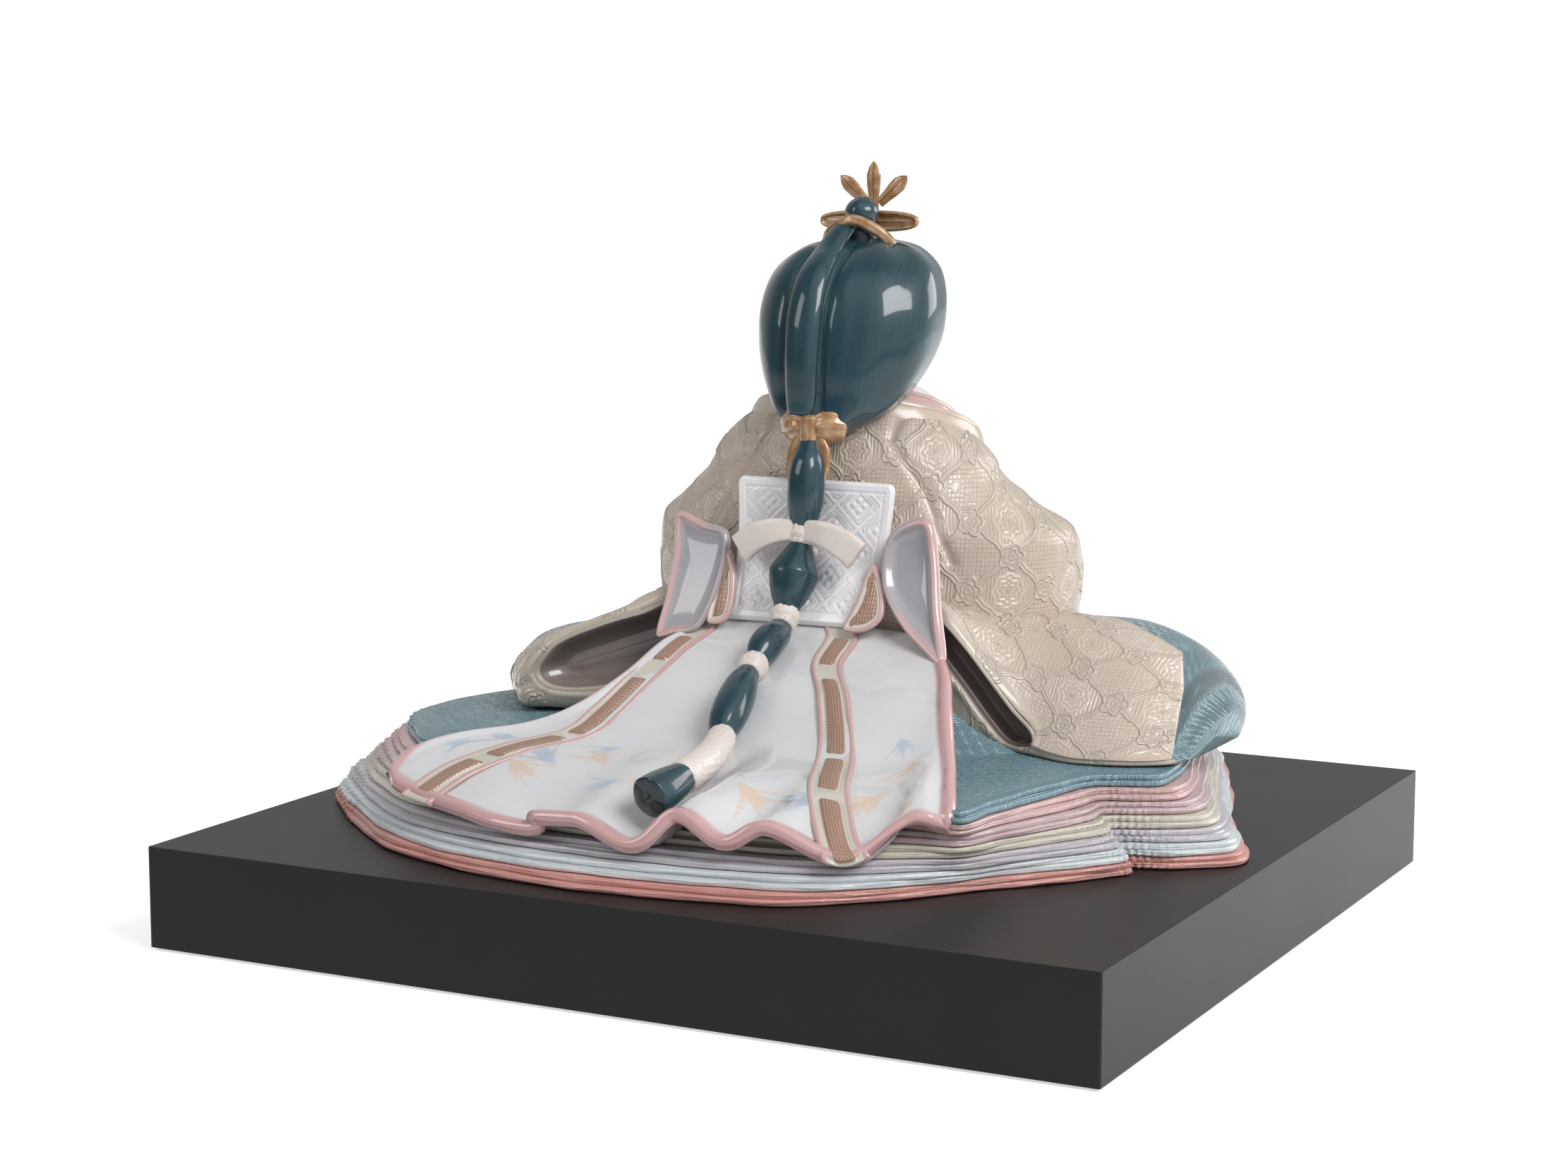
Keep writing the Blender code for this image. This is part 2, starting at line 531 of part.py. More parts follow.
def boolean(obj, cutter, operation="DIFFERENCE"):
    added = obj.modifiers.new(operation.title() + " " + cutter.name, "BOOLEAN")
    added.operation = operation
    added.solver = "EXACT"
    added.object = cutter
    return obj


def fit_against(obj, *neighbours):
    """Takes out of the object what its neighbours fill, with the seat gap between them."""
    for neighbour in neighbours:
        boolean(obj, clearance(neighbour))
    return obj


def fuse(obj, *others):
    for other in others:
        boolean(obj, helper(other), "UNION")
    return obj


def prism(name, plan, low, high, glaze="felt"):
    """An upright prism over a plan outline."""
    count = len(plan)
    vertices = np.vstack([level(np.asarray(plan), low), level(np.asarray(plan), high)])
    faces = [tuple(range(count)), tuple(range(count, 2 * count))]
    faces.extend((i, (i + 1) % count, (i + 1) % count + count, i + count) for i in range(count))
    return new_object(name, vertices, faces, glaze)


def cylinder(name, radius, centre, low, high, glaze):
    plan = oval(radius, radius, -radius, 0.0, PAD_SIDES, ROUND)[:, :2] + centre
    return prism(name, plan, low, high, glaze)


def plinth():
    half = np.array([PLINTH_WIDTH, PLINTH_DEPTH]) / 2
    plan = half * [(-1, 1), (-1, -1), (1, -1), (1, 1)]
    block = prism("plinth", plan, PAD_STAND, PLINTH_TOP, "lacquer")
    edge = block.modifiers.new("Eased edges", "BEVEL")
    edge.width = PLINTH_EDGE
    edge.segments = 2
    for place, x_side, y_side in (
        ("back_right", -1, 1), ("front_right", -1, -1), ("front_left", 1, -1), ("back_left", 1, 1),
    ):
        centre = (half - PAD_INSET) * (x_side, y_side)
        top = PAD_THICKNESS + SEAT_GAP
        recess = cylinder("recess_" + place, PAD_RADIUS + SEAT_GAP, centre, -OVERRUN, top, "felt")
        boolean(block, helper(recess))
        cylinder("felt_pad_" + place, PAD_RADIUS, centre, 0.0, PAD_THICKNESS, "felt")


def outline(inset_share):
    """Plan of a hem: from the lowest under-robe at 0 to the over-robe at 1."""
    hem = np.array(HEM_OUTLINE_SHARES) * (HEM_HALF_WIDTH, HEM_HALF_DEPTH)
    robe = np.array(ROBE_OUTLINE_SHARES) * (ROBE_HALF_WIDTH, ROBE_HALF_DEPTH)
    return hem + (robe - hem) * inset_share


def bearings(plan, half_width, half_depth, centre_y, power=2.0):
    """Points at the plan's bearings on an oval with the given half sizes."""
    away = plan - (0.0, centre_y)
    scaled = np.abs(away / (half_width, half_depth)) ** power
    return away / (scaled.sum(axis=1) ** (1 / power))[:, None]


def well_beside(plan):
    return bearings(plan, WELL_HALF_WIDTH, WELL_HALF_DEPTH, WELL_CENTRE_Y, 4.0) + (0.0, WELL_CENTRE_Y)


def edge_rings(plan, foot):
    """Rounded edge of a hem layer: its foot, its rim and its top."""
    middle = foot + LAYER_THICKNESS / 2
    top = foot + LAYER_THICKNESS
    return [level(inset(plan, LAYER_EDGE), foot), level(plan, middle), level(inset(plan, LAYER_EDGE), top)]


def hem_layers():
    """Six flat robe hems, each a ring round the well, stepping in as they rise."""
    made = []
    for number, (colour, inset_share) in enumerate(zip(LAYER_NAMES, LAYER_INSET_SHARES)):
        foot = FIGURE_FOOT + LAYER_PITCH * number
        plan = outline(inset_share)
        well = well_beside(plan)
        profile = [level(well, foot), *edge_rings(plan, foot), level(well, foot + LAYER_THICKNESS)]
        made.append(loft(f"hem_{number + 1}_{colour}", profile, colour, wrap=True))
    return made


def over_robe():
    """The blue robe and, as a cutter, the same shape without its hollow."""
    plan = outline(1.0)
    outer = edge_rings(plan, ROBE_FOOT)
    unit = bearings(plan, MOUND_HALF_WIDTH, MOUND_HALF_DEPTH, MOUND_CENTRE_Y)
    inner = [level(well_beside(plan), ROBE_FOOT), level(well_beside(plan), ROBE_FLOOR - ROBE_WALL / 2)]
    for rise_share, width_share, back_share, front_share in MOUND_SECTION_SHARES:
        depth_share = np.where(unit[:, 1] > 0, back_share, -front_share)
        section = unit * np.column_stack([np.full(len(unit), width_share), depth_share])
        section += (0.0, MOUND_CENTRE_Y)
        height = ROBE_FLOOR + rise_share * MOUND_RISE
        outer.append(level(section, height))
        if rise_share > MOUND_SECTION_SHARES[0][0]:
            inner.append(level(inset(section, ROBE_WALL), height - ROBE_WALL))
    solid = helper(loft("over_robe_solid", outer, "blue"))
    return loft("over_robe", outer + inner[::-1], "blue", wrap=True), solid


def jacket():
    """The jacket's body and, as a cutter, the same shape without its hollow."""
    sides = 22
    outer = []
    inner = []
    for height_share, width_share, back_share, front_share, lean_share in JACKET_SECTION_SHARES:
        height = JACKET_FOOT + height_share * JACKET_HEIGHT
        back = JACKET_CENTRE_Y + back_share * JACKET_HALF_DEPTH
        front = JACKET_CENTRE_Y + front_share * JACKET_HALF_DEPTH
        ring = oval(width_share * JACKET_HALF_WIDTH, back, front, height, sides)
        ring[:, 0] += lean_share * JACKET_HALF_WIDTH
        outer.append(ring)
        if len(outer) % 2:
            wall = JACKET_WALL * min(1, height_share / FOOT_WALL_SHARE)
            inner.append(level(inset(ring[:, :2], JACKET_WALL), height - wall))
    solid = helper(loft("jacket_solid", outer, "beige"))
    return loft("jacket", outer + inner[::-1], "beige", wrap=True), solid


def sleeve_rings(stations, reach, side, steps):
    """Sections of a sleeve lying on the robe, from the body outwards; side is -1 for the doll's right."""
    table = spline(stations, steps)
    rings = []
    for x_share, near, near_top, lift, crest, crest_top, far, far_top in table:
        run = near - far
        section = np.array(
            [
                (near - 0.06 * run, lift * 0.5), (near, lift + (near_top - lift) * 0.45),
                (near - 0.02 * run, near_top),
                ((near + crest) / 2, near_top + 0.70 * (crest_top - near_top)), (crest, crest_top),
                ((crest + far) / 2, far_top + 0.72 * (crest_top - far_top)), (far, far_top * 0.6),
                (far + 0.08 * run, 0.0), ((near + far) / 2, 0.0),
            ]
        )
        section = spline(section, 2, closed=True)
        y = SLEEVE_CENTRE_Y + section[:, 0] * SLEEVE_HALF_DEPTH
        z = ROBE_FLOOR + SEAT_GAP + np.maximum(section[:, 1], 0.0) * SLEEVE_RISE
        rings.append(np.column_stack([np.full(len(y), side * x_share * reach), y, z]))
    return np.array(rings)


def mouth_ring(shares, rings, reach, side, depth, shrink):
    """The mouth's outline at a depth below the sleeve's near side, drawn in by shrink."""
    plan = inset(spline(np.array(shares) * (reach, SLEEVE_RISE), 2, closed=True), shrink)
    near_y = rings[:, :, 1].max(axis=1)
    order = np.argsort(np.abs(rings[:, 0, 0]))
    y = np.interp(plan[:, 0], np.abs(rings[order, 0, 0]), near_y[order]) - depth
    return np.column_stack([side * plan[:, 0], y, ROBE_FLOOR + plan[:, 1]])


def sleeve(word, side, stations, reach, mouth_shares, jacket_solid, robe_solid):
    """A sleeve in two castings, the jacket's and the robe's own beyond it, with a lined mouth."""
    rings = sleeve_rings(stations, reach, side, 2)
    split = np.array(SLEEVE_SPLIT_SHARES) * (side * SLEEVE_REACH, SLEEVE_HALF_DEPTH) + (0.0, SLEEVE_CENTRE_Y)
    past = side * SLEEVE_REACH * 1.5
    beyond = [(past, split[-1, 1]), (past, -SLEEVE_REACH), (0.0, -SLEEVE_REACH)]
    within = [(0.0, split[-1, 1])]
    low, high = FIGURE_FOOT, ROBE_FLOOR + 2 * SLEEVE_RISE
    apart = np.array([side * SEAT_GAP, -SEAT_GAP])
    outer_zone = prism("robe_sleeve_zone_" + word, np.vstack([split, beyond]), low, high)
    inner_zone = prism("jacket_sleeve_zone_" + word, np.vstack([split + apart, within]), low, high)
    beige = boolean(loft("jacket_sleeve_" + word, rings, "beige"), helper(outer_zone))
    blue = boolean(loft("robe_sleeve_" + word, rings, "blue"), helper(inner_zone))
    for piece in (beige, blue):
        fit_against(piece, jacket_solid, robe_solid)
    mouth = [
        mouth_ring(mouth_shares, rings, reach, side, depth, shrink)
        for depth, shrink in ((-OVERRUN, 0.0), (MOUTH_DEPTH / 2, 0.0), (MOUTH_DEPTH, MOUTH_INSET))
    ]
    boolean(beige, helper(loft("mouth_" + word, mouth, "felt")))
    wall = MOUTH_INSET / 2
    cup = [
        (MOUTH_DEPTH - wall - LINING_WALL, MOUTH_INSET + wall + LINING_WALL),
        (MOUTH_DEPTH / 2, wall + LINING_WALL),
        (MOUTH_DEPTH / 4, wall + LINING_WALL), (MOUTH_DEPTH / 4, wall), (MOUTH_DEPTH / 2, wall),
        (MOUTH_DEPTH - wall, MOUTH_INSET + wall),
    ]
    lining = [mouth_ring(mouth_shares, rings, reach, side, depth, shrink) for depth, shrink in cup]
    folds = fit_against(loft("sleeve_lining_" + word, lining, "mauve"), jacket_solid, robe_solid)
    return beige, folds


def on_train(shares):
    """Places given in the train's own measures: across, along and up."""
    return np.asarray(shares) * (TRAIN_HALF_WIDTH, TRAIN_LENGTH, TRAIN_RISE) + (0.0, TRAIN_TOP_Y, TRAIN_FOOT)


def train_controls():
    """Rows of points across the train from the waist to the hem, with the hem's waves fading upwards."""
    hem = np.array(TRAIN_HEM_SHARES)
    across = (hem[:, 0] - hem[0, 0]) / (hem[-1, 0] - hem[0, 0])
    wave = hem[:, 2] - hem[:, 2].mean()
    rows = []
    for (right, middle, left), pleat in zip(np.array(TRAIN_ROW_SHARES), PLEAT_SHARES):
        u = across[:, None]
        row = right * (1 - u) * (1 - 2 * u) + middle * 4 * u * (1 - u) + left * u * (2 * u - 1)
        row[:, 2] += wave * pleat
        rows.append(row)
    return on_train(np.array(rows + [hem]))


def train_surface(steps_down, steps_across):
    down = spline(train_controls(), steps_down)
    return spline(down.transpose(1, 0, 2), steps_across).transpose(1, 0, 2)


def train():
    return plate("train", train_surface(2, 1), TRAIN_THICKNESS, "white")


def ribbon(name, place_shares, surface):
    """A ribbon that follows the train's surface from the waist to the hem; the train cuts its underside."""
    rows, columns = surface.shape[:2]
    span = np.linalg.norm(surface[:, -1] - surface[:, 0], axis=1)
    centre = resample(place_shares, rows)
    half = resample(RIBBON_SPREAD_SHARES, rows) * RIBBON_WIDTH / 2 / span
    normal = np.cross(np.gradient(surface, axis=1), np.gradient(surface, axis=0))
    normal /= np.linalg.norm(normal, axis=2)[:, :, None]
    lifted = surface + normal * RIBBON_STAND
    strip = []
    for row in range(1, rows):
        along = np.linalg.norm(np.diff(surface[row], axis=0), axis=1).cumsum()
        share = np.concatenate([[0.0], along / along[-1]])
        places = centre[row] + half[row] * np.linspace(-1, 1, 3)
        strip.append(np.column_stack([np.interp(places, share, lifted[row, :, axis]) for axis in range(3)]))
    return plate(name, strip, RIBBON_THICKNESS, "brown")


def panel_y(height):
    """How far back the panel's outer face stands at a height: it sweeps out towards its foot."""
    down = (TRAIN_TOP + PANEL_HEIGHT - height) / PANEL_HEIGHT
    return PANEL_TOP_Y + PANEL_SWEEP * down * np.abs(down)


def back_panel():
    rows = []
    for share in np.linspace(0, 1, 7):
        height = TRAIN_TOP + PANEL_HEIGHT * (1 - share)
        half = PANEL_HALF_WIDTH - PANEL_TAPER * share
        rows.append([(x * half, panel_y(height), height) for x in np.linspace(-1, 1, 9)])
    return plate("back_panel", rows, PANEL_THICKNESS, "white")


def dish(name, shares, scale, thickness, recess, stand, glaze):
    """A dished plate with a rounded rim, off the panel's sweep: outline across and up from its top."""
    plan = spline(np.array(shares) * scale, 2, closed=True)
    rings = []
    depths = (-thickness, -thickness, -thickness / 2, 0.0, -recess)
    for shrink_share, depth in zip(DISH_RIM_SHARES, depths):
        ring = plan + (plan.mean(axis=0) - plan) * shrink_share
        height = TRAIN_TOP + PANEL_HEIGHT + ring[:, 1]
        rings.append(np.column_stack([ring[:, 0], panel_y(height) + stand + thickness + depth, height]))
    return loft(name, rings, glaze)


def bound_hair():
    """The locks, rings and paper ties of the long bound hair, end to end along one path."""
    steps = 10
    path = spline(on_train(TAIL_PATH_SHARES), steps)
    place = np.arange(len(path)) / steps
    length = np.concatenate([[0.0], np.linalg.norm(np.diff(path, axis=0), axis=1).cumsum()])
    made = []
    for name, glaze, first, last, radius, swelling in TAIL_PIECES:
        start, end = np.interp((first, last), place, length)
        count = 2 * len(swelling) - 1 if len(swelling) > 3 else 3
        along = np.linspace(start, end, count)
        middle = np.column_stack([np.interp(along, length, path[:, axis]) for axis in range(3)])
        radii = radius * resample(swelling, count)
        lock = loft(name, tube(middle, radii, 12, up=(1.0, 0.0, 0.0)), glaze)
        made.append(fit_against(lock, *made[-1:]))
    return made


def paper_wing(name, side, knot):
    """One side of the folded paper bow, sloping down from its knot."""
    start = np.array(knot) + (side * WRAP_RADIUS * 0.5, WRAP_RADIUS * 0.35, PAPER_WING_RADIUS * 0.3)
    shares = np.array([(0.0, 0.0, 0.0), (0.45, 0.10, -0.04), (0.80, 0.10, -0.20), (1.0, 0.08, -0.36)])
    path = spline(start + shares * (side * PAPER_WING_LENGTH, PAPER_WING_LENGTH, PAPER_WING_LENGTH), 3)
    radii = PAPER_WING_RADIUS * resample(WING_SWELL_SHARES, len(path))
    return loft(name, tube(path, radii, 10, PAPER_FLATNESS_SHARE, up=(0.0, 1.0, 0.0)), "paper")


def nape_bow(centre):
    """Gilt bow that ties the hair at the nape: knot, two loops and two tails in one casting."""
    x, y, z = centre
    knot_path = [(x, y, z - NAPE_KNOT_RADIUS), (x, y, z), (x, y, z + NAPE_KNOT_RADIUS)]
    knot = loft("nape_bow", tube(knot_path, NAPE_KNOT_RADIUS, 12, up=(0.0, 1.0, 0.0)), "gold")
    parts = []
    for side, word in ((-1, "right"), (1, "left")):
        shares = np.array([(0.0, 0.0, 0.0), (0.5, -0.08, 0.10), (1.0, -0.35, 0.02)])
        path = spline(np.array(centre) + shares * NAPE_LOOP_LENGTH * (side, 1, 1), 3)
        radii = NAPE_LOOP_RADIUS * resample(LOOP_SWELL_SHARES, len(path))
        parts.append(loft("bow_loop_" + word, tube(path, radii, 6, 0.6, up=(0.0, 1.0, 0.0)), "gold"))
        shares = np.array([(0.0, 0.0, 0.0), (0.30, -0.02, -0.35), (0.40, 0.05, -0.70), (0.34, 0.18, -1.0)])
        path = spline(np.array(centre) + shares * NAPE_TAIL_LENGTH * (side, 1, 1), 3)
        tail = tube(path, NAPE_TAIL_RADIUS, 6, NAPE_TAIL_FLATNESS_SHARE, up=(0.0, 1.0, 0.0))
        parts.append(loft("bow_tail_" + word, tail, "gold"))
    return fuse(knot, *parts), parts


def collar_zone():
    """The space that the collars take up round the neck, which the hair stays out of."""
    rings = []
    for height_share, width_share, back_share, front_share, lean_share in JACKET_SECTION_SHARES[7:]:
        height = JACKET_FOOT + height_share * JACKET_HEIGHT
        back = JACKET_CENTRE_Y + back_share * JACKET_HALF_DEPTH + COLLAR_ROOM
        front = JACKET_CENTRE_Y + front_share * JACKET_HALF_DEPTH - COLLAR_ROOM
        ring = oval(width_share * JACKET_HALF_WIDTH + COLLAR_ROOM, back, front, height, 24)
        rings.append(ring + (lean_share * JACKET_HALF_WIDTH, 0.0, 0.0))
    rings.append(rings[-1] + (0.0, 0.0, COLLAR_ROOM))
    return helper(loft("collar_zone", rings, "felt"))


def head():
    rings = []
    for height_share, width_share, back_share, front_share in HEAD_SECTION_SHARES:
        height = HEAD_FOOT + height_share * HEAD_HEIGHT
        back = HEAD_CENTRE_Y + back_share * HEAD_HALF_DEPTH
        front = HEAD_CENTRE_Y + front_share * HEAD_HALF_DEPTH
        rings.append(oval(width_share * HEAD_HALF_WIDTH, back, front, height, 20, HEAD_SQUARENESS))
    return loft("head", rings, "skin")


def hair_sections(steps):
    """Height, half width, back and front of the hair."""
    table = spline(HAIR_SECTION_SHARES, steps)
    scale = (HAIR_HEIGHT, HAIR_HALF_WIDTH, HAIR_HALF_DEPTH, HAIR_HALF_DEPTH)
    return table * scale + (HAIR_FOOT, 0.0, HEAD_CENTRE_Y, HEAD_CENTRE_Y)


def hair():
    rings = []
    for height, half, back, front in hair_sections(1):
        rings.append(oval(half, back, front, height, 24, HEAD_SQUARENESS))
    return loft("hair", rings, "teal")


def hair_strand():
    """The raised strand from the topknot down to the nape, a little left of the middle."""
    table = hair_sections(1)[2:-1]
    bulge = 1 - (STRAND_X / table[:, 1]) ** 2
    y = table[:, 2] - (table[:, 2] - table[:, 3]) * 0.5 * (1 - np.sqrt(np.clip(bulge, 0, 1)))
    path = np.column_stack([np.full(len(y), STRAND_X), y, table[:, 0]])[::-1]
    radii = STRAND_WIDTH / 2 * resample((0.45, 0.9, 1.0, 1.0, 0.9, 0.6), len(path))
    flatness = 2 * STRAND_THICKNESS / STRAND_WIDTH
    return loft("hair_strand", tube(path, radii, 10, flatness, up=(0.0, 1.0, 0.4)), "teal")


def side_lock(word, side):
    """Lock of hair that hangs in front of the ear."""
    away, forward, up = np.array(LOCK_TOP_SHARES) * (HEAD_HALF_WIDTH, HEAD_HALF_DEPTH, HEAD_HEIGHT)
    top = np.array([side * away, HEAD_CENTRE_Y - forward, HEAD_FOOT + up])
    shares = np.array([(0.0, 0.0, 0.0), (0.05, -0.04, -0.35), (0.02, -0.03, -0.7), (-0.06, 0.02, -1.0)])
    path = spline(top + shares * (side * LOCK_LENGTH, LOCK_LENGTH, LOCK_LENGTH), 2)
    radii = LOCK_RADIUS * resample(LOCK_SWELL_SHARES, len(path))
    return loft("side_lock_" + word, tube(path, radii, 8, 0.6, up=(1.0, 0.0, 0.0)), "teal")


def topknot(centre):
    rings = []
    for rise_share, radius_share in KNOT_PROFILE_SHARES:
        radius = radius_share * KNOT_RADIUS
        ring = oval(radius, radius, -radius, 0.0, 16, ROUND)
        rings.append(ring + np.array(centre) + (0.0, 0.0, rise_share * KNOT_RISE))
    return loft("topknot", rings, "teal")


def knot_band(centre):
    """Gilt cord arched over the back of the topknot's root."""
    scale = (BAND_HALF_WIDTH, BAND_HALF_WIDTH, BAND_RISE)
    path = spline(np.array(centre) + np.array(BAND_PATH_SHARES) * scale, 3)
    return loft("topknot_band", tube(path, BAND_RADIUS, 8, up=(0.0, 1.0, 0.0)), "gold")


def crown(centre):
    """Upright oval plate on a short stem behind the topknot, with three leaf-shaped blades above it."""
    x, y, z = centre
    plan = oval(1.0, 1.0, -1.0, 0.0, 24, PLATE_SQUARENESS)[:, :2]
    rings = []
    for shrink, depth in ((PLATE_RIM, 0.0), (0.0, PLATE_THICKNESS / 4), (0.0, PLATE_THICKNESS * 3 / 4),
                          (PLATE_RIM / 2, PLATE_THICKNESS), (PLATE_RIM, PLATE_THICKNESS - PLATE_RECESS)):
        ring = plan * (PLATE_HALF_WIDTH - shrink, PLATE_HALF_HEIGHT - shrink)
        rings.append(np.column_stack([x + ring[:, 0], np.full(len(ring), y + depth), z + ring[:, 1]]))
    disc = loft("crown_plate", rings, "gold")
    foot_y = y - STEM_RADIUS - SEAT_GAP
    low, high = z - CROWN_HEIGHT * 1.7, z + PLATE_HALF_HEIGHT * 1.6
    stem_path = [(x, foot_y, low), (x, foot_y, z), (x, foot_y, high)]
    stem = loft("crown_stem", tube(stem_path, STEM_RADIUS, 12, up=(0.0, 1.0, 0.0)), "gold")
    root = np.array([x, foot_y, z + PLATE_HALF_HEIGHT * 1.1])
    leaves = []
    for name, turn in (("crown_leaf_right", -1), ("crown_leaf_centre", 0), ("crown_leaf_left", 1)):
        angle = math.radians(LEAF_SPREAD_DEG * turn)
        lean = np.array([math.sin(angle), 0.0, math.cos(angle)])
        along = root + lean * STEM_RADIUS * abs(turn) * 1.6
        reach = LEAF_LENGTH * (LEAF_SIDE_SHARE if turn else 1.0)
        path = [along + lean * reach * share for share in (0.0, 0.25, 0.50, 0.72, 0.88, 1.0)]
        radii = LEAF_HALF_WIDTH * np.array([0.62, 0.74, 0.95, 1.0, 0.66, 0.12])
        flatness = LEAF_THICKNESS / 2 / LEAF_HALF_WIDTH
        leaves.append(loft(name, tube(path, radii, 10, flatness, up=(0.0, 1.0, 0.0)), "gold"))
    return disc, stem, leaves


def on_jacket(height_share, turn_share, away):
    """A point off the jacket, at a turn from the back (0) over a side to the front (1 or -1)."""
    table = np.array(JACKET_SECTION_SHARES)
    read = [np.interp(height_share, table[:, 0], table[:, column]) for column in (1, 2, 3, 4)]
    width, back, front, lean = read
    angle = math.pi * abs(turn_share)
    sine, cosine = math.sin(angle), math.cos(angle)
    half_depth = (back - front) / 2 * JACKET_HALF_DEPTH
    x = math.copysign((width * JACKET_HALF_WIDTH + away) * abs(sine) ** (2 / SQUARENESS), turn_share)
    y = (half_depth + away) * math.copysign(abs(cosine) ** (2 / SQUARENESS), cosine)
    middle_y = JACKET_CENTRE_Y + (back + front) / 2 * JACKET_HALF_DEPTH
    return np.array([x + lean * JACKET_HALF_WIDTH, y + middle_y, JACKET_FOOT + height_share * JACKET_HEIGHT])


def collar(name, glaze, number):
    """One of the collars that wrap the neck and meet over the chest."""
    both = [(height, -turn) for height, turn in COLLAR_PATH_SHARES[:0:-1]] + list(COLLAR_PATH_SHARES)
    path = []
    for height_share, turn_share in both:
        height_share -= COLLAR_DROP_SHARE * number * (1 + abs(turn_share))
        path.append(on_jacket(height_share, turn_share, COLLAR_WIDTH * COLLAR_FLATNESS_SHARE / 2))
    path = np.array(path)
    outward = path - (0.0, JACKET_CENTRE_Y, JACKET_TOP - JACKET_HALF_DEPTH)
    outward[:, 2] *= 0.5
    half_width = COLLAR_WIDTH / 2 * resample((0.45, 1.0, 1.0, 1.0, 1.0, 1.0, 1.0, 1.0, 0.45), len(path))
    return loft(name, tube(path, half_width, 6, COLLAR_FLATNESS_SHARE, up=outward), glaze)


def cuff(word, side):
    """Stepped cuff of the nested sleeves round one wrist, and the hand in it."""
    wrist = np.array([side * WRIST_X, WRIST_Y, ROBE_FLOOR + WRIST_HEIGHT])
    lean = np.array([-side * 0.42, -0.80, -0.10])
    lean /= np.linalg.norm(lean)
    path = []
    radii = []
    for step, (start, end) in enumerate(((-1.0, 0.30), (0.30, 0.48), (0.48, 0.66))):
        for share in (start, end):
            step_gap = SEAT_GAP if share == start else 0.0
            path.append(wrist + lean * (CUFF_LENGTH * share + step_gap))
            radii.append(CUFF_RADIUS - CUFF_STEP * step)
    sleeve_end = loft("cuff_" + word, tube(path, np.array(radii), 16, 0.85), "rose")
    shares = (0.50, 0.75, 1.0, 1.3, 1.55)
    hand_path = [wrist + lean * (CUFF_LENGTH * 0.66 + HAND_LENGTH * (share - 0.5)) for share in shares]
    hand_radii = HAND_RADIUS * np.array([0.85, 1.0, 1.1, 0.9, 0.45])
    palm = loft("hand_" + word, tube(hand_path, hand_radii, 10, 0.62), "skin")
    return sleeve_end, palm


def folding_fan():
    """Open pleated fan held upright before the chest, and the pin at its foot."""
    pivot = np.array([0.0, FAN_Y, ROBE_FLOOR + FAN_PIVOT_HEIGHT])
    lean = math.radians(FAN_LEAN_DEG)
    rise = np.array([0.0, -math.sin(lean), math.cos(lean)])
    out = np.array([0.0, math.cos(lean), math.sin(lean)])
    spread = math.radians(FAN_HALF_ANGLE_DEG)
    grid = []
    for radius in np.linspace(FAN_HUB, FAN_RADIUS, 3):
        row = []
        for number, angle in enumerate(np.linspace(spread, -spread, 25)):
            fold = FAN_PLEAT * (number % 2 - 0.5) * radius / FAN_RADIUS
            away = rise * math.cos(angle) + np.array([math.sin(angle), 0, 0])
            row.append(pivot + away * radius + out * fold)
        grid.append(row)
    leaf = plate("fan_leaf", grid[::-1], FAN_THICKNESS, "cream")
    ends = [pivot - out * FAN_PIN_LENGTH / 2, pivot, pivot + out * FAN_PIN_LENGTH / 2]
    pin = loft("fan_pin", tube(ends, FAN_PIN_RADIUS / 2, 10), "gold")
    return leaf, pin


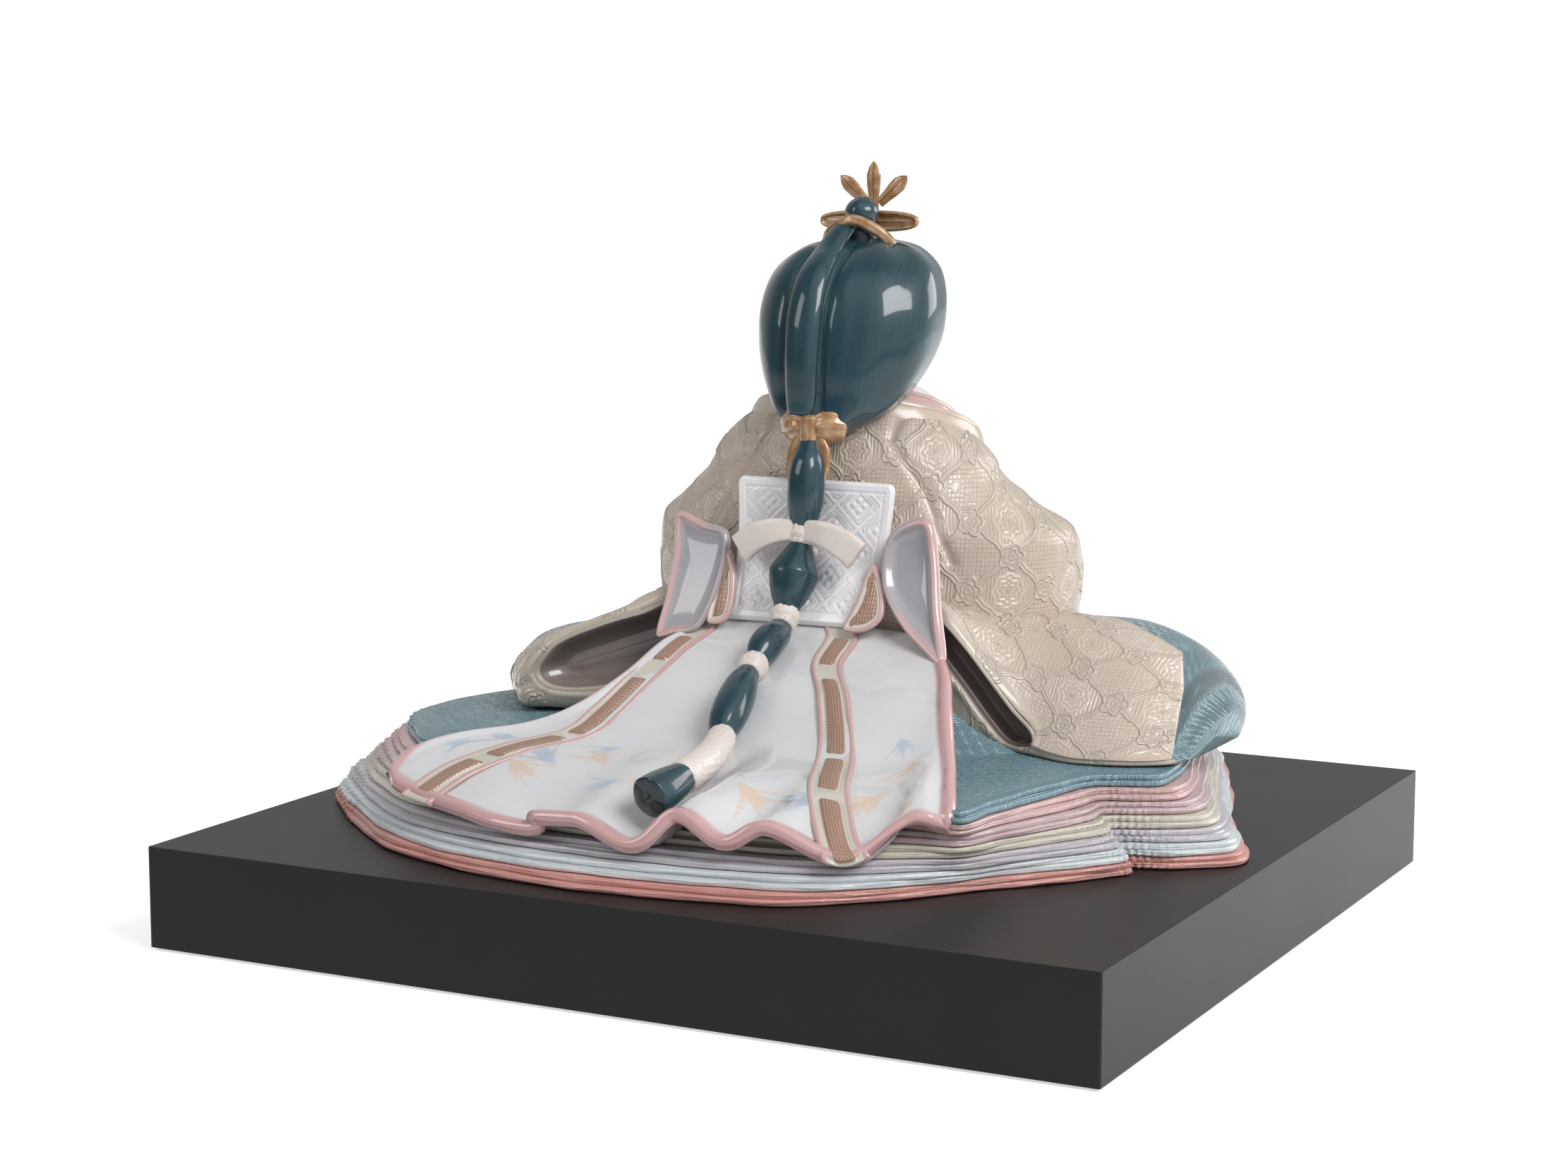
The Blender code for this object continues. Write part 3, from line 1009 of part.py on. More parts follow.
def build():
    for obj in list(bpy.data.objects):
        bpy.data.objects.remove(obj, do_unlink=True)
    plinth()
    hems = hem_layers()
    robe, robe_solid = over_robe()
    body, body_solid = jacket()
    fit_against(body, robe_solid)
    beige_right, folds_right = sleeve(
        "right", -1, RIGHT_SLEEVE_SHARES, SLEEVE_REACH, RIGHT_MOUTH_SHARES, body_solid, robe_solid
    )
    beige_left, folds_left = sleeve(
        "left", 1, LEFT_SLEEVE_SHARES, LEFT_SLEEVE_REACH, LEFT_MOUTH_SHARES, body_solid, robe_solid
    )
    cloth = fit_against(train(), robe_solid, body_solid, beige_right, beige_left, *hems[1:])
    surface = train_surface(2, 1)
    panel = fit_against(back_panel(), body_solid, cloth)
    scale = (BOW_WIDTH, BOW_HEIGHT)
    bow_right = dish("waist_bow_right", RIGHT_BOW_SHARES, scale, BOW_THICKNESS, BOW_DISH, BOW_STAND, "white")
    bow_left = dish("waist_bow_left", LEFT_BOW_SHARES, scale, BOW_THICKNESS, BOW_DISH / 2, BOW_STAND, "white")
    for bow in (bow_right, bow_left):
        fit_against(bow, body_solid, panel, cloth, beige_right, beige_left, folds_right, folds_left)
    tab_right = dish("ribbon_tab_right", RIGHT_TAB_SHARES, scale, TAB_THICKNESS, 0.0, BOW_STAND, "brown")
    tab_left = dish("ribbon_tab_left", LEFT_TAB_SHARES, scale, TAB_THICKNESS, 0.0, BOW_STAND, "brown")
    for tab in (tab_right, tab_left):
        fit_against(tab, body_solid, panel, cloth, bow_right, bow_left)
    fit_against(ribbon("ribbon_right", RIGHT_RIBBON_SHARES, surface), cloth, panel)
    fit_against(ribbon("ribbon_left", LEFT_RIBBON_SHARES, surface), cloth, panel, bow_left)

    face = head()
    neck_hole = clearance(face)
    boolean(body, neck_hole)
    worn = []
    for number, (name, glaze) in enumerate(COLLAR_NAMES):
        worn.append(fit_against(collar(name, glaze, number), body_solid, face, *worn))
    tresses = fuse(hair(), side_lock("right", -1), side_lock("left", 1))
    boolean(tresses, collar_zone())
    fit_against(tresses, face, body_solid)
    strand = fit_against(hair_strand(), tresses)

    sections = hair_sections(1)
    crown_top = sections[-1]
    knot_centre = (0.0, crown_top[2] - HAIR_HALF_DEPTH * 0.22, HAIR_FOOT + HAIR_HEIGHT - KNOT_RISE * 0.02)
    knot = fit_against(topknot(knot_centre), tresses)
    band = fit_against(knot_band(knot_centre), tresses, knot, strand)
    disc, stem, leaves = crown((CROWN_X, CROWN_Y, HAIR_FOOT + HAIR_HEIGHT + CROWN_HEIGHT * 0.8))
    fit_against(disc, tresses, knot, band)
    fit_against(stem, tresses, knot, band, disc)
    for leaf in (leaves[1], leaves[0], leaves[2]):
        others = [other for other in leaves if other is leaves[1] and leaf is not other]
        fit_against(leaf, stem, disc, *others)

    nape = on_train(TAIL_PATH_SHARES[0])
    gilt, gilt_parts = nape_bow(nape + (0.0, NAPE_KNOT_RADIUS * 0.2, NAPE_KNOT_RADIUS))
    fit_against(gilt, tresses, body_solid, strand)
    locks = bound_hair()
    for lock in locks:
        fit_against(lock, panel, cloth, body_solid, tresses, strand)
    fit_against(locks[0], gilt, *gilt_parts)
    knot_centre = on_train(TAIL_PATH_SHARES[3]) * 0.5 + on_train(TAIL_PATH_SHARES[4]) * 0.5
    for word, side in (("right", -1), ("left", 1)):
        fit_against(paper_wing("paper_wing_" + word, side, knot_centre), panel, *locks[:3])

    leaf, pin = folding_fan()
    fit_against(leaf, pin)
    for word, side in (("right", -1), ("left", 1)):
        sleeve_end, palm = cuff(word, side)
        fit_against(sleeve_end, body_solid, robe_solid)
        fit_against(palm, sleeve_end, leaf, pin)


build()
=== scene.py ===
"""Looks of the porcelain hina doll: glazed, painted and gilt castings on a black lacquered plinth.

Every surface is worked out with numpy from the shares that the solids are built from, in metres.
"""

import math

import bpy
import numpy as np
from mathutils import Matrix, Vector


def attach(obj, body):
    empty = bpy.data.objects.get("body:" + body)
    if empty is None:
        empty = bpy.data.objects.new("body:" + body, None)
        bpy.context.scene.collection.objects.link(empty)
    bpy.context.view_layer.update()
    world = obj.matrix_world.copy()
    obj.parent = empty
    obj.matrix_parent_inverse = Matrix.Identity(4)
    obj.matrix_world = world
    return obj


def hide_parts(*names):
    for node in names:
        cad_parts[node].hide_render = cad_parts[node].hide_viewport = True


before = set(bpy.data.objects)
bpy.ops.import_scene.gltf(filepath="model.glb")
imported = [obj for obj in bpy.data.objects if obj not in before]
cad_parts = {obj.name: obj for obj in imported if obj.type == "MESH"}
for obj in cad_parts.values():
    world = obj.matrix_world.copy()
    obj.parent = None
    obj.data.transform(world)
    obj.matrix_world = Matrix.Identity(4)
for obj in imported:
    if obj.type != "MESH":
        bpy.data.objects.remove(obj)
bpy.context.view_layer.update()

MM = 0.001
SEAT_GAP = 0.0003

PLINTH_TOP = 0.0400
LAYER_THICKNESS = 0.0042
HEM_HALF_WIDTH = 0.183
HEM_HALF_DEPTH = 0.168
WELL_HALF_WIDTH = 0.080
WELL_HALF_DEPTH = 0.070
WELL_CENTRE_Y = -0.024
ROBE_HALF_WIDTH = 0.165
ROBE_HALF_DEPTH = 0.156
MOUND_RISE = 0.040
MOUND_HALF_WIDTH = 0.104
MOUND_HALF_DEPTH = 0.100
MOUND_CENTRE_Y = -0.034
ROBE_WALL = 0.0045
JACKET_HALF_WIDTH = 0.090
JACKET_HALF_DEPTH = 0.051
JACKET_CENTRE_Y = -0.049
JACKET_HEIGHT = 0.134
JACKET_WALL = 0.0042
SLEEVE_REACH = 0.168
LEFT_SLEEVE_REACH = 0.152
SLEEVE_HALF_DEPTH = 0.068
SLEEVE_CENTRE_Y = -0.041
SLEEVE_RISE = 0.050
MOUTH_DEPTH = 0.0090
TRAIN_HALF_WIDTH = 0.120
TRAIN_LENGTH = 0.140
TRAIN_RISE = 0.056
TRAIN_TOP_Y = 0.014
TRAIN_HEM_DROP = 0.0115
TRAIN_THICKNESS = 0.0030
RIBBON_WIDTH = 0.0165
RIBBON_STAND = 0.0016
PANEL_HALF_WIDTH = 0.0345
PANEL_HEIGHT = 0.0550
PANEL_THICKNESS = 0.0028
PANEL_TOP_Y = 0.0030
PANEL_SWEEP = 0.0165
PANEL_TAPER = 0.0040
BOW_WIDTH = 0.0400
BOW_HEIGHT = 0.0560
BOW_THICKNESS = 0.0034
BOW_STAND = 0.0030
TAB_THICKNESS = 0.0026
HEAD_HALF_WIDTH = 0.0235
HEAD_HALF_DEPTH = 0.0255
HEAD_HEIGHT = 0.0700
HEAD_CENTRE_Y = -0.0490
HAIR_HALF_WIDTH = 0.0380
HAIR_HALF_DEPTH = 0.0310
HAIR_HEIGHT = 0.0760
STRAND_WIDTH = 0.0130
STRAND_THICKNESS = 0.0030
STRAND_X = 0.0055
LOCK_RADIUS = 0.0044
LOCK_LENGTH = 0.0220
KNOT_RADIUS = 0.0068
KNOT_RISE = 0.0170
BAND_RADIUS = 0.0020
BAND_HALF_WIDTH = 0.0140
BAND_RISE = 0.0085
CROWN_X = 0.0015
CROWN_Y = -0.0500
CROWN_HEIGHT = 0.0085
PLATE_HALF_WIDTH = 0.0217
PLATE_HALF_HEIGHT = 0.0042
STEM_RADIUS = 0.0022
LEAF_LENGTH = 0.0190
LEAF_SIDE_SHARE = 0.86
LEAF_HALF_WIDTH = 0.0031
LEAF_THICKNESS = 0.0022
LEAF_SPREAD_DEG = 48.0
TAIL_RADIUS = 0.0072
RING_RADIUS = 0.0060
WRAP_RADIUS = 0.0058
FLARE_RADIUS = 0.0100
END_RADIUS = 0.0078
PAPER_WING_LENGTH = 0.0225
PAPER_WING_RADIUS = 0.0050
NAPE_LOOP_LENGTH = 0.0120
NAPE_LOOP_RADIUS = 0.0054
NAPE_KNOT_RADIUS = 0.0042
NAPE_TAIL_LENGTH = 0.0200
NAPE_TAIL_RADIUS = 0.0042
COLLAR_WIDTH = 0.0100
COLLAR_FLATNESS_SHARE = 0.24
COLLAR_DROP_SHARE = 0.030
CUFF_RADIUS = 0.0150
CUFF_LENGTH = 0.0270
CUFF_STEP = 0.0016
HAND_RADIUS = 0.0060
HAND_LENGTH = 0.0190
WRIST_X = 0.0270
WRIST_Y = -0.1060
WRIST_HEIGHT = 0.0420
FAN_RADIUS = 0.0470
FAN_HUB = 0.0013
FAN_THICKNESS = 0.0012
FAN_PLEAT = 0.0010
FAN_HALF_ANGLE_DEG = 58.0
FAN_PIVOT_HEIGHT = 0.0310
FAN_Y = -0.1330
FAN_LEAN_DEG = 14.0

FIGURE_FOOT = PLINTH_TOP + SEAT_GAP
LAYER_PITCH = LAYER_THICKNESS + SEAT_GAP
LAYER_NAMES = ("coral", "pale_blue", "grey", "cream", "mauve", "rose")
ROBE_FOOT = FIGURE_FOOT + LAYER_PITCH * len(LAYER_NAMES)
ROBE_FLOOR = ROBE_FOOT + LAYER_THICKNESS
JACKET_FOOT = ROBE_FLOOR + ROBE_WALL / 2
JACKET_TOP = JACKET_FOOT + JACKET_HEIGHT
TRAIN_FOOT = ROBE_FLOOR - TRAIN_HEM_DROP
TRAIN_TOP = TRAIN_FOOT + TRAIN_RISE
HEAD_FOOT = JACKET_TOP - HEAD_HEIGHT * 0.29
HAIR_FOOT = HEAD_FOOT

HEM_OUTLINE_SHARES = (
    (0.000, 0.970), (-0.150, 0.950), (-0.333, 0.905), (-0.437, 0.830), (-0.525, 0.732), (-0.600, 0.625),
    (-0.680, 0.520), (-0.770, 0.410), (-0.836, 0.310), (-0.805, 0.262), (-0.900, 0.220), (-0.995, 0.125),
    (-0.985, 0.020), (-0.918, -0.120), (-0.858, -0.286), (-0.792, -0.488), (-0.721, -0.679), (-0.645, -0.869),
    (-0.546, -0.964), (-0.328, -0.990), (-0.109, -1.000), (0.109, -1.000), (0.328, -0.990), (0.546, -0.964),
    (0.656, -0.869), (0.743, -0.667), (0.820, -0.452), (0.891, -0.226), (0.945, 0.000), (0.980, 0.214),
    (0.995, 0.405), (0.890, 0.560), (0.765, 0.690), (0.650, 0.800), (0.546, 0.870), (0.404, 0.930),
    (0.262, 0.960), (0.131, 0.975),
)
ROBE_OUTLINE_SHARES = (
    (0.000, 0.640), (-0.170, 0.645), (-0.330, 0.655), (-0.470, 0.672), (-0.580, 0.690), (-0.690, 0.735),
    (-0.712, 0.590), (-0.735, 0.455), (-0.765, 0.320), (-0.790, 0.225), (-0.845, 0.190), (-0.930, 0.140),
    (-0.930, 0.013), (-0.895, -0.141), (-0.840, -0.321), (-0.770, -0.526), (-0.691, -0.718), (-0.618, -0.872),
    (-0.533, -0.949), (-0.327, -0.981), (-0.109, -1.000), (0.109, -1.000), (0.327, -0.981), (0.533, -0.949),
    (0.624, -0.872), (0.709, -0.705), (0.794, -0.500), (0.885, -0.282), (0.960, -0.077), (1.000, 0.100),
    (0.985, 0.280), (0.905, 0.425), (0.800, 0.545), (0.680, 0.618), (0.540, 0.640), (0.412, 0.650),
    (0.279, 0.645), (0.145, 0.640),
)
LAYER_INSET_SHARES = (0.0, 0.08, 0.22, 0.40, 0.58, 0.78, 1.0)
MOUND_SECTION_SHARES = (
    (0.060, 1.060, 1.060, -1.040), (0.300, 0.885, 0.885, -0.930), (0.580, 0.770, 0.740, -0.840),
    (0.800, 0.635, 0.600, -0.700), (0.940, 0.430, 0.430, -0.500),
)
JACKET_SECTION_SHARES = (
    (0.000, 0.950, 1.235, -0.960, 0.000), (0.157, 0.960, 1.235, -0.980, 0.000), (0.270, 0.975, 1.196, -0.990, 0.000),
    (0.380, 0.990, 1.118, -0.980, 0.000), (0.480, 1.000, 1.040, -0.920, 0.004), (0.567, 0.978, 0.980, -0.800, 0.008),
    (0.627, 0.861, 0.940, -0.700, 0.032), (0.716, 0.705, 0.900, -0.540, 0.036), (0.800, 0.628, 0.850, -0.420, 0.034),
    (0.866, 0.515, 0.790, -0.340, 0.046), (0.925, 0.372, 0.690, -0.290, 0.058), (0.970, 0.270, 0.580, -0.260, 0.066),
    (1.000, 0.195, 0.490, -0.250, 0.068),
)
HEAD_SECTION_SHARES = (
    (0.000, 0.440, 0.460, -0.340), (0.140, 0.420, 0.460, -0.340), (0.200, 0.500, 0.500, -0.620),
    (0.240, 0.580, 0.560, -0.830), (0.330, 0.780, 0.760, -0.940), (0.470, 0.970, 0.920, -1.000),
    (0.600, 1.000, 0.980, -0.980), (0.720, 0.970, 0.980, -0.930), (0.840, 0.850, 0.880, -0.800),
    (0.940, 0.600, 0.620, -0.560), (1.000, 0.280, 0.300, -0.250),
)
HAIR_SECTION_SHARES = (
    (0.000, 0.120, 1.720, 1.360), (0.040, 0.350, 1.770, 0.980), (0.120, 0.600, 1.740, 0.680),
    (0.210, 0.760, 1.710, 0.340), (0.330, 0.890, 1.710, 0.020), (0.470, 0.975, 1.680, -0.250),
    (0.630, 1.000, 1.610, -0.390), (0.780, 0.950, 1.430, -0.420), (0.880, 0.835, 1.190, -0.390),
    (0.960, 0.600, 0.880, -0.290), (1.000, 0.300, 0.550, -0.060),
)
KNOT_PROFILE_SHARES = (
    (-0.35, 1.05), (0.15, 0.95), (0.36, 0.80), (0.52, 0.96), (0.70, 1.00), (0.88, 0.74), (1.0, 0.25),
)
RIGHT_SLEEVE_SHARES = (
    (0.300, 0.840, 1.120, 0.10, 0.310, 1.060, -0.600, 0.500), (0.380, 0.880, 1.040, 0.10, 0.310, 1.000, -0.700, 0.500),
    (0.476, 0.900, 0.640, 0.10, 0.280, 0.960, -0.930, 0.550), (0.577, 0.920, 0.260, 0.05, 0.235, 0.930, -0.985, 0.600),
    (0.685, 0.970, 0.140, 0.02, 0.162, 0.900, -0.985, 0.620), (0.786, 0.930, 0.120, 0.02, 0.118, 0.785, -0.912, 0.550),
    (0.852, 0.850, 0.110, 0.02, 0.060, 0.635, -0.765, 0.450), (0.897, 0.740, 0.100, 0.02, 0.020, 0.440, -0.560, 0.300),
    (0.924, 0.540, 0.080, 0.02, 0.000, 0.235, -0.300, 0.170),
)
LEFT_SLEEVE_SHARES = (
    (0.330, 0.800, 1.100, 0.12, 0.310, 1.080, -0.600, 0.600), (0.420, 0.860, 1.030, 0.12, 0.310, 1.020, -0.700, 0.580),
    (0.526, 0.940, 0.860, 0.12, 0.280, 0.860, -0.930, 0.560), (0.638, 1.030, 0.720, 0.12, 0.235, 0.735, -0.985, 0.530),
    (0.724, 1.080, 0.590, 0.12, 0.190, 0.675, -0.985, 0.520), (0.783, 1.060, 0.400, 0.10, 0.150, 0.590, -0.955, 0.480),
    (0.870, 0.780, 0.320, 0.04, 0.090, 0.535, -0.880, 0.440), (0.975, 0.470, 0.260, 0.02, 0.015, 0.465, -0.720, 0.360),
    (1.035, 0.190, 0.170, 0.02, -0.060, 0.320, -0.520, 0.240),
)
SLEEVE_SPLIT_SHARES = (
    (0.200, -0.150), (0.548, -0.060), (0.744, 0.074), (0.827, 0.162), (0.870, 0.500), (0.930, 1.300),
)
RIGHT_MOUTH_SHARES = (
    (0.290, 1.240), (0.350, 1.060), (0.425, 0.830), (0.490, 0.590), (0.550, 0.370), (0.600, 0.220), (0.595, 0.110),
    (0.535, 0.110), (0.480, 0.270), (0.420, 0.500), (0.350, 0.740), (0.290, 0.900),
)
LEFT_MOUTH_SHARES = (
    (0.360, 0.980), (0.460, 0.900), (0.560, 0.800), (0.660, 0.660), (0.715, 0.500), (0.735, 0.360),
    (0.690, 0.240), (0.580, 0.230), (0.460, 0.300), (0.360, 0.400),
)
TRAIN_ROW_SHARES = (
    ((-0.433, 0.000, 0.980), (-0.010, 0.000, 1.020), (0.417, 0.000, 0.980)),
    ((-0.533, 0.057, 0.910), (-0.025, 0.064, 0.940), (0.400, 0.071, 0.910)),
    ((-0.625, 0.171, 0.800), (-0.083, 0.186, 0.810), (0.433, 0.164, 0.840)),
    ((-0.700, 0.307, 0.660), (-0.117, 0.314, 0.660), (0.467, 0.307, 0.680)),
    ((-0.767, 0.420, 0.480), (-0.108, 0.436, 0.464), (0.567, 0.436, 0.480)),
    ((-0.825, 0.514, 0.357), (-0.083, 0.550, 0.340), (0.700, 0.514, 0.357)),
    ((-0.890, 0.636, 0.270), (-0.042, 0.700, 0.250), (0.883, 0.607, 0.286)),
    ((-0.925, 0.700, 0.180), (-0.017, 0.850, 0.125), (0.967, 0.720, 0.196)),
)
TRAIN_HEM_SHARES = (
    (-0.930, 0.712, -0.010), (-0.805, 0.745, 0.100), (-0.658, 0.886, -0.090), (-0.433, 0.943, 0.107),
    (-0.300, 0.971, 0.000), (-0.142, 0.964, 0.143), (-0.017, 1.007, -0.063), (0.183, 0.993, 0.054),
    (0.383, 0.993, -0.054), (0.625, 0.950, 0.000), (0.867, 0.879, 0.036), (0.992, 0.836, 0.125),
)
PLEAT_SHARES = (0.0, 0.0, 0.0, 0.0, 0.04, 0.08, 0.16, 0.45)
RIGHT_RIBBON_SHARES = (0.360, 0.375, 0.400, 0.345, 0.292, 0.255, 0.218, 0.182, 0.150)
LEFT_RIBBON_SHARES = (0.930, 0.930, 0.930, 0.930, 0.900, 0.855, 0.850, 0.875, 0.900)
RIBBON_SPREAD_SHARES = (0.80, 0.80, 0.80, 0.85, 0.95, 1.05, 1.10, 1.15, 1.20)
RIGHT_BOW_SHARES = (
    (-0.850, -0.482), (-0.900, -0.320), (-1.100, -0.225), (-1.325, -0.205), (-1.425, -0.430), (-1.550, -0.800),
    (-1.740, -1.160), (-1.475, -1.070), (-1.150, -0.910), (-0.900, -0.695),
)
LEFT_BOW_SHARES = (
    (1.450, -0.270), (1.130, -0.330), (0.850, -0.400), (0.840, -0.720), (0.960, -1.030), (1.200, -1.090),
    (1.420, -1.110), (1.430, -0.840), (1.430, -0.550),
)
RIGHT_TAB_SHARES = (
    (-0.740, -0.540), (-0.900, -0.670), (-0.960, -0.880), (-0.800, -0.980), (-0.570, -0.970), (-0.640, -0.800),
)
LEFT_TAB_SHARES = (
    (0.830, -0.500), (0.700, -0.700), (0.680, -0.960), (0.900, -1.000), (0.930, -0.830), (0.910, -0.640),
)
TAIL_PATH_SHARES = (
    (0.008, -0.071, 2.268), (0.000, -0.036, 2.071), (0.002, -0.025, 1.839), (0.004, -0.019, 1.679),
    (0.004, -0.011, 1.570), (0.010, 0.021, 1.393), (0.012, 0.046, 1.250), (0.010, 0.082, 1.080),
    (0.008, 0.132, 0.975), (0.005, 0.193, 0.929), (0.002, 0.243, 0.866), (-0.002, 0.293, 0.798),
    (-0.008, 0.357, 0.723), (-0.025, 0.440, 0.607), (-0.042, 0.529, 0.473), (-0.066, 0.579, 0.425),
    (-0.088, 0.686, 0.357), (-0.079, 0.771, 0.304), (-0.071, 0.836, 0.268), (-0.050, 0.929, 0.214),
)
TAIL_PIECES = (
    ("tail_lock_1", "hair_glaze", 0.30, 3.00, TAIL_RADIUS, (0.62, 0.92, 1.00, 0.96, 0.72)),
    ("paper_bow_knot", "paper_glaze", 3.00, 4.00, WRAP_RADIUS, (0.90, 1.00, 0.90)),
    ("tail_tassel", "hair_glaze", 4.00, 5.30, FLARE_RADIUS, (0.40, 0.58, 0.80, 1.00)),
    ("tail_lock_2", "hair_glaze", 5.30, 6.80, FLARE_RADIUS, (0.98, 0.88, 0.70, 0.48)),
    ("paper_ring_upper", "paper_glaze", 6.80, 7.40, RING_RADIUS, (0.85, 1.00, 0.85)),
    ("tail_lock_3", "hair_glaze", 7.40, 10.60, TAIL_RADIUS, (0.55, 0.80, 0.90, 0.85, 0.55)),
    ("paper_ring_lower", "paper_glaze", 10.60, 11.30, RING_RADIUS, (0.85, 1.00, 0.85)),
    ("tail_lock_4", "hair_glaze", 11.30, 14.60, TAIL_RADIUS, (0.55, 0.86, 1.00, 0.94, 0.62)),
    ("paper_wrap", "paper_glaze", 14.60, 17.40, WRAP_RADIUS, (0.90, 0.95, 1.00, 1.05, 1.10)),
    ("tail_end", "hair_glaze", 17.40, 19.00, END_RADIUS, (0.74, 0.88, 0.98, 1.00)),
)
COLLAR_PATH_SHARES = (
    (1.010, 0.00), (1.005, 0.20), (0.990, 0.40), (0.955, 0.58), (0.900, 0.72), (0.825, 0.83), (0.745, 0.905),
    (0.665, 0.955), (0.600, 0.982),
)


# Curves and surfaces

def spline(points, steps, closed=False):
    """Catmull-Rom curve through the points: b + ((c-a)s + (2a-5b+4c-d)s^2 + (3b-a-3c+d)s^3)/2 on each stretch."""
    points = np.asarray(points, float)
    count = len(points)
    share = (np.arange(steps) / steps).reshape((-1,) + (1,) * (points.ndim - 1))
    found = []
    for i in range(count if closed else count - 1):
        around = [(i + k) % count if closed else min(max(i + k, 0), count - 1) for k in (-1, 0, 1, 2)]
        a, b, c, d = points[around]
        bend = (2 * a - 5 * b + 4 * c - d) * share**2 + (3 * b - a - 3 * c + d) * share**3
        found.append(b + 0.5 * ((c - a) * share + bend))
    if not closed:
        found.append(points[-1:])
    return np.concatenate(found)


def resample(values, count):
    """The values read at evenly spaced places, straight between their own."""
    values = np.asarray(values, float)
    return np.interp(np.linspace(0, len(values) - 1, count), np.arange(len(values)), values)


def at_rows(grid, places):
    """The grid read at fractional rows, straight between its own rows."""
    low = np.clip(np.floor(places).astype(int), 0, len(grid) - 2)
    share = (places - low).reshape((-1,) + (1,) * (grid.ndim - 1))
    return grid[low] * (1 - share) + grid[low + 1] * share


def at_columns(grid, places):
    return at_rows(grid.swapaxes(0, 1), places).swapaxes(0, 1)


def turns(count):
    """One row of angles, evenly spaced all the way round."""
    return np.linspace(0, 2 * math.pi, count, endpoint=False)[None]


def path_length(path):
    return np.concatenate([[0.0], np.linalg.norm(np.diff(path, axis=0), axis=1).cumsum()])


def along_path(path, places):
    """The path read at given lengths along it."""
    length = path_length(path)
    return np.column_stack([np.interp(places, length, path[:, axis]) for axis in range(path.shape[1])])


def unit(vectors):
    return vectors / np.maximum(np.linalg.norm(vectors, axis=-1, keepdims=True), 1e-12)


def smooth(low, high, value):
    """Smoothstep: 3s^2 - 2s^3 of how far the value is from low to high."""
    share = np.clip((value - low) / (high - low), 0, 1)
    return share * share * (3 - 2 * share)


def ridge(distance, half_width):
    """Half-round ridge: sqrt(1 - (d/w)^2) within its half width, else 0."""
    return np.sqrt(np.clip(1 - (distance / half_width) ** 2, 0, 1))


def quarter_round(distance, radius):
    """Height of a rounded edge: sqrt(r^2 - (r - d)^2) up to the radius, then level."""
    return np.sqrt(np.clip(radius**2 - (radius - np.minimum(distance, radius)) ** 2, 0, None))


def tube(path, radii, sides, flatness=1.0, up=(0.0, 0.0, 1.0)):
    """Rings square to a path: p + r (cos t across + flatness sin t over)."""
    path = np.asarray(path, float)
    radii = np.broadcast_to(radii, len(path))
    along = unit(np.gradient(path, axis=0))
    across = unit(np.cross(along, np.asarray(up, float)))
    over = np.cross(across, along)
    angle = turns(sides)[..., None]
    ring = np.cos(angle) * across[:, None] + np.sin(angle) * over[:, None] * flatness
    return path[:, None] + radii[:, None, None] * ring


def rounded_tube(path, radii, sides, flatness=1.0, up=(0.0, 0.0, 1.0), nose=0.35, steps=6):
    """A tube whose ends close in quarter rounds, each as long as nose times the end's radius."""
    path = np.asarray(path, float)
    radii = np.broadcast_to(radii, len(path)).astype(float)
    turn = np.linspace(0, math.pi / 2, steps + 1)[:-1]
    ends = unit(np.array([path[0] - path[1], path[-1] - path[-2]]))
    start = path[0] + ends[0] * radii[0] * nose * np.cos(turn)[:, None]
    stop = path[-1] + ends[1] * radii[-1] * nose * np.cos(turn)[::-1, None]
    radii = np.concatenate([radii[0] * np.sin(turn), radii, radii[-1] * np.sin(turn)[::-1]])
    return tube(np.vstack([start, path, stop]), np.maximum(radii, 1e-5), sides, flatness, up)


def oval(half_width, back, front, height, sides, squareness=2.3):
    """A level superellipse |x/a|^n + |y/b|^n = 1, starting at the middle of the back."""
    sine, cosine = np.sin(turns(sides)[0]), np.cos(turns(sides)[0])
    x = -np.sign(sine) * np.abs(sine) ** (2 / squareness) * half_width
    y = np.sign(cosine) * np.abs(cosine) ** (2 / squareness) * (back - front) / 2 + (back + front) / 2
    return level(np.stack([x, y], axis=1), height)


def even_ring(ring):
    """The same closed ring with its points evenly spaced along it."""
    closed = np.vstack([ring, ring[:1]])
    return along_path(closed, np.linspace(0, path_length(closed)[-1], len(ring), endpoint=False))


def level(plan, height):
    return np.column_stack([plan, np.broadcast_to(height, len(plan))])


def inset(plan, distance):
    """A closed plan outline moved inwards by a distance, square to itself."""
    run = np.roll(plan, -1, axis=0) - np.roll(plan, 1, axis=0)
    normal = np.column_stack([run[:, 1], -run[:, 0]]) / np.linalg.norm(run, axis=1)[:, None]
    x, y = plan.T
    area = np.sum(x * np.roll(y, -1) - np.roll(x, -1) * y)
    return plan - normal * np.reshape(distance, (-1, 1)) * np.sign(area)


def slopes(grid, ring=True, belt=False):
    """Central differences of the grid, across its columns and down its rows."""
    across = (np.roll(grid, -1, axis=1) - np.roll(grid, 1, axis=1)) / 2 if ring else np.gradient(grid, axis=1)
    down = (np.roll(grid, -1, axis=0) - np.roll(grid, 1, axis=0)) / 2 if belt else np.gradient(grid, axis=0)
    return across, down


def normals(grid, ring=True, belt=False, towards=None):
    """Unit cross product of the two slopes, turned out of a closed form or towards a given direction."""
    cross = np.cross(*slopes(grid, ring, belt))
    if towards is None:
        facing = ((grid - grid.reshape(-1, 3).mean(axis=0)) * cross).sum()
    else:
        facing = (cross * np.asarray(towards, float)).sum()
    return unit(cross) * (1 if facing > 0 else -1)


def raised(grid, height):
    """The grid moved out along its normals, by a height in metres for each point."""
    return grid + normals(grid) * height[..., None]


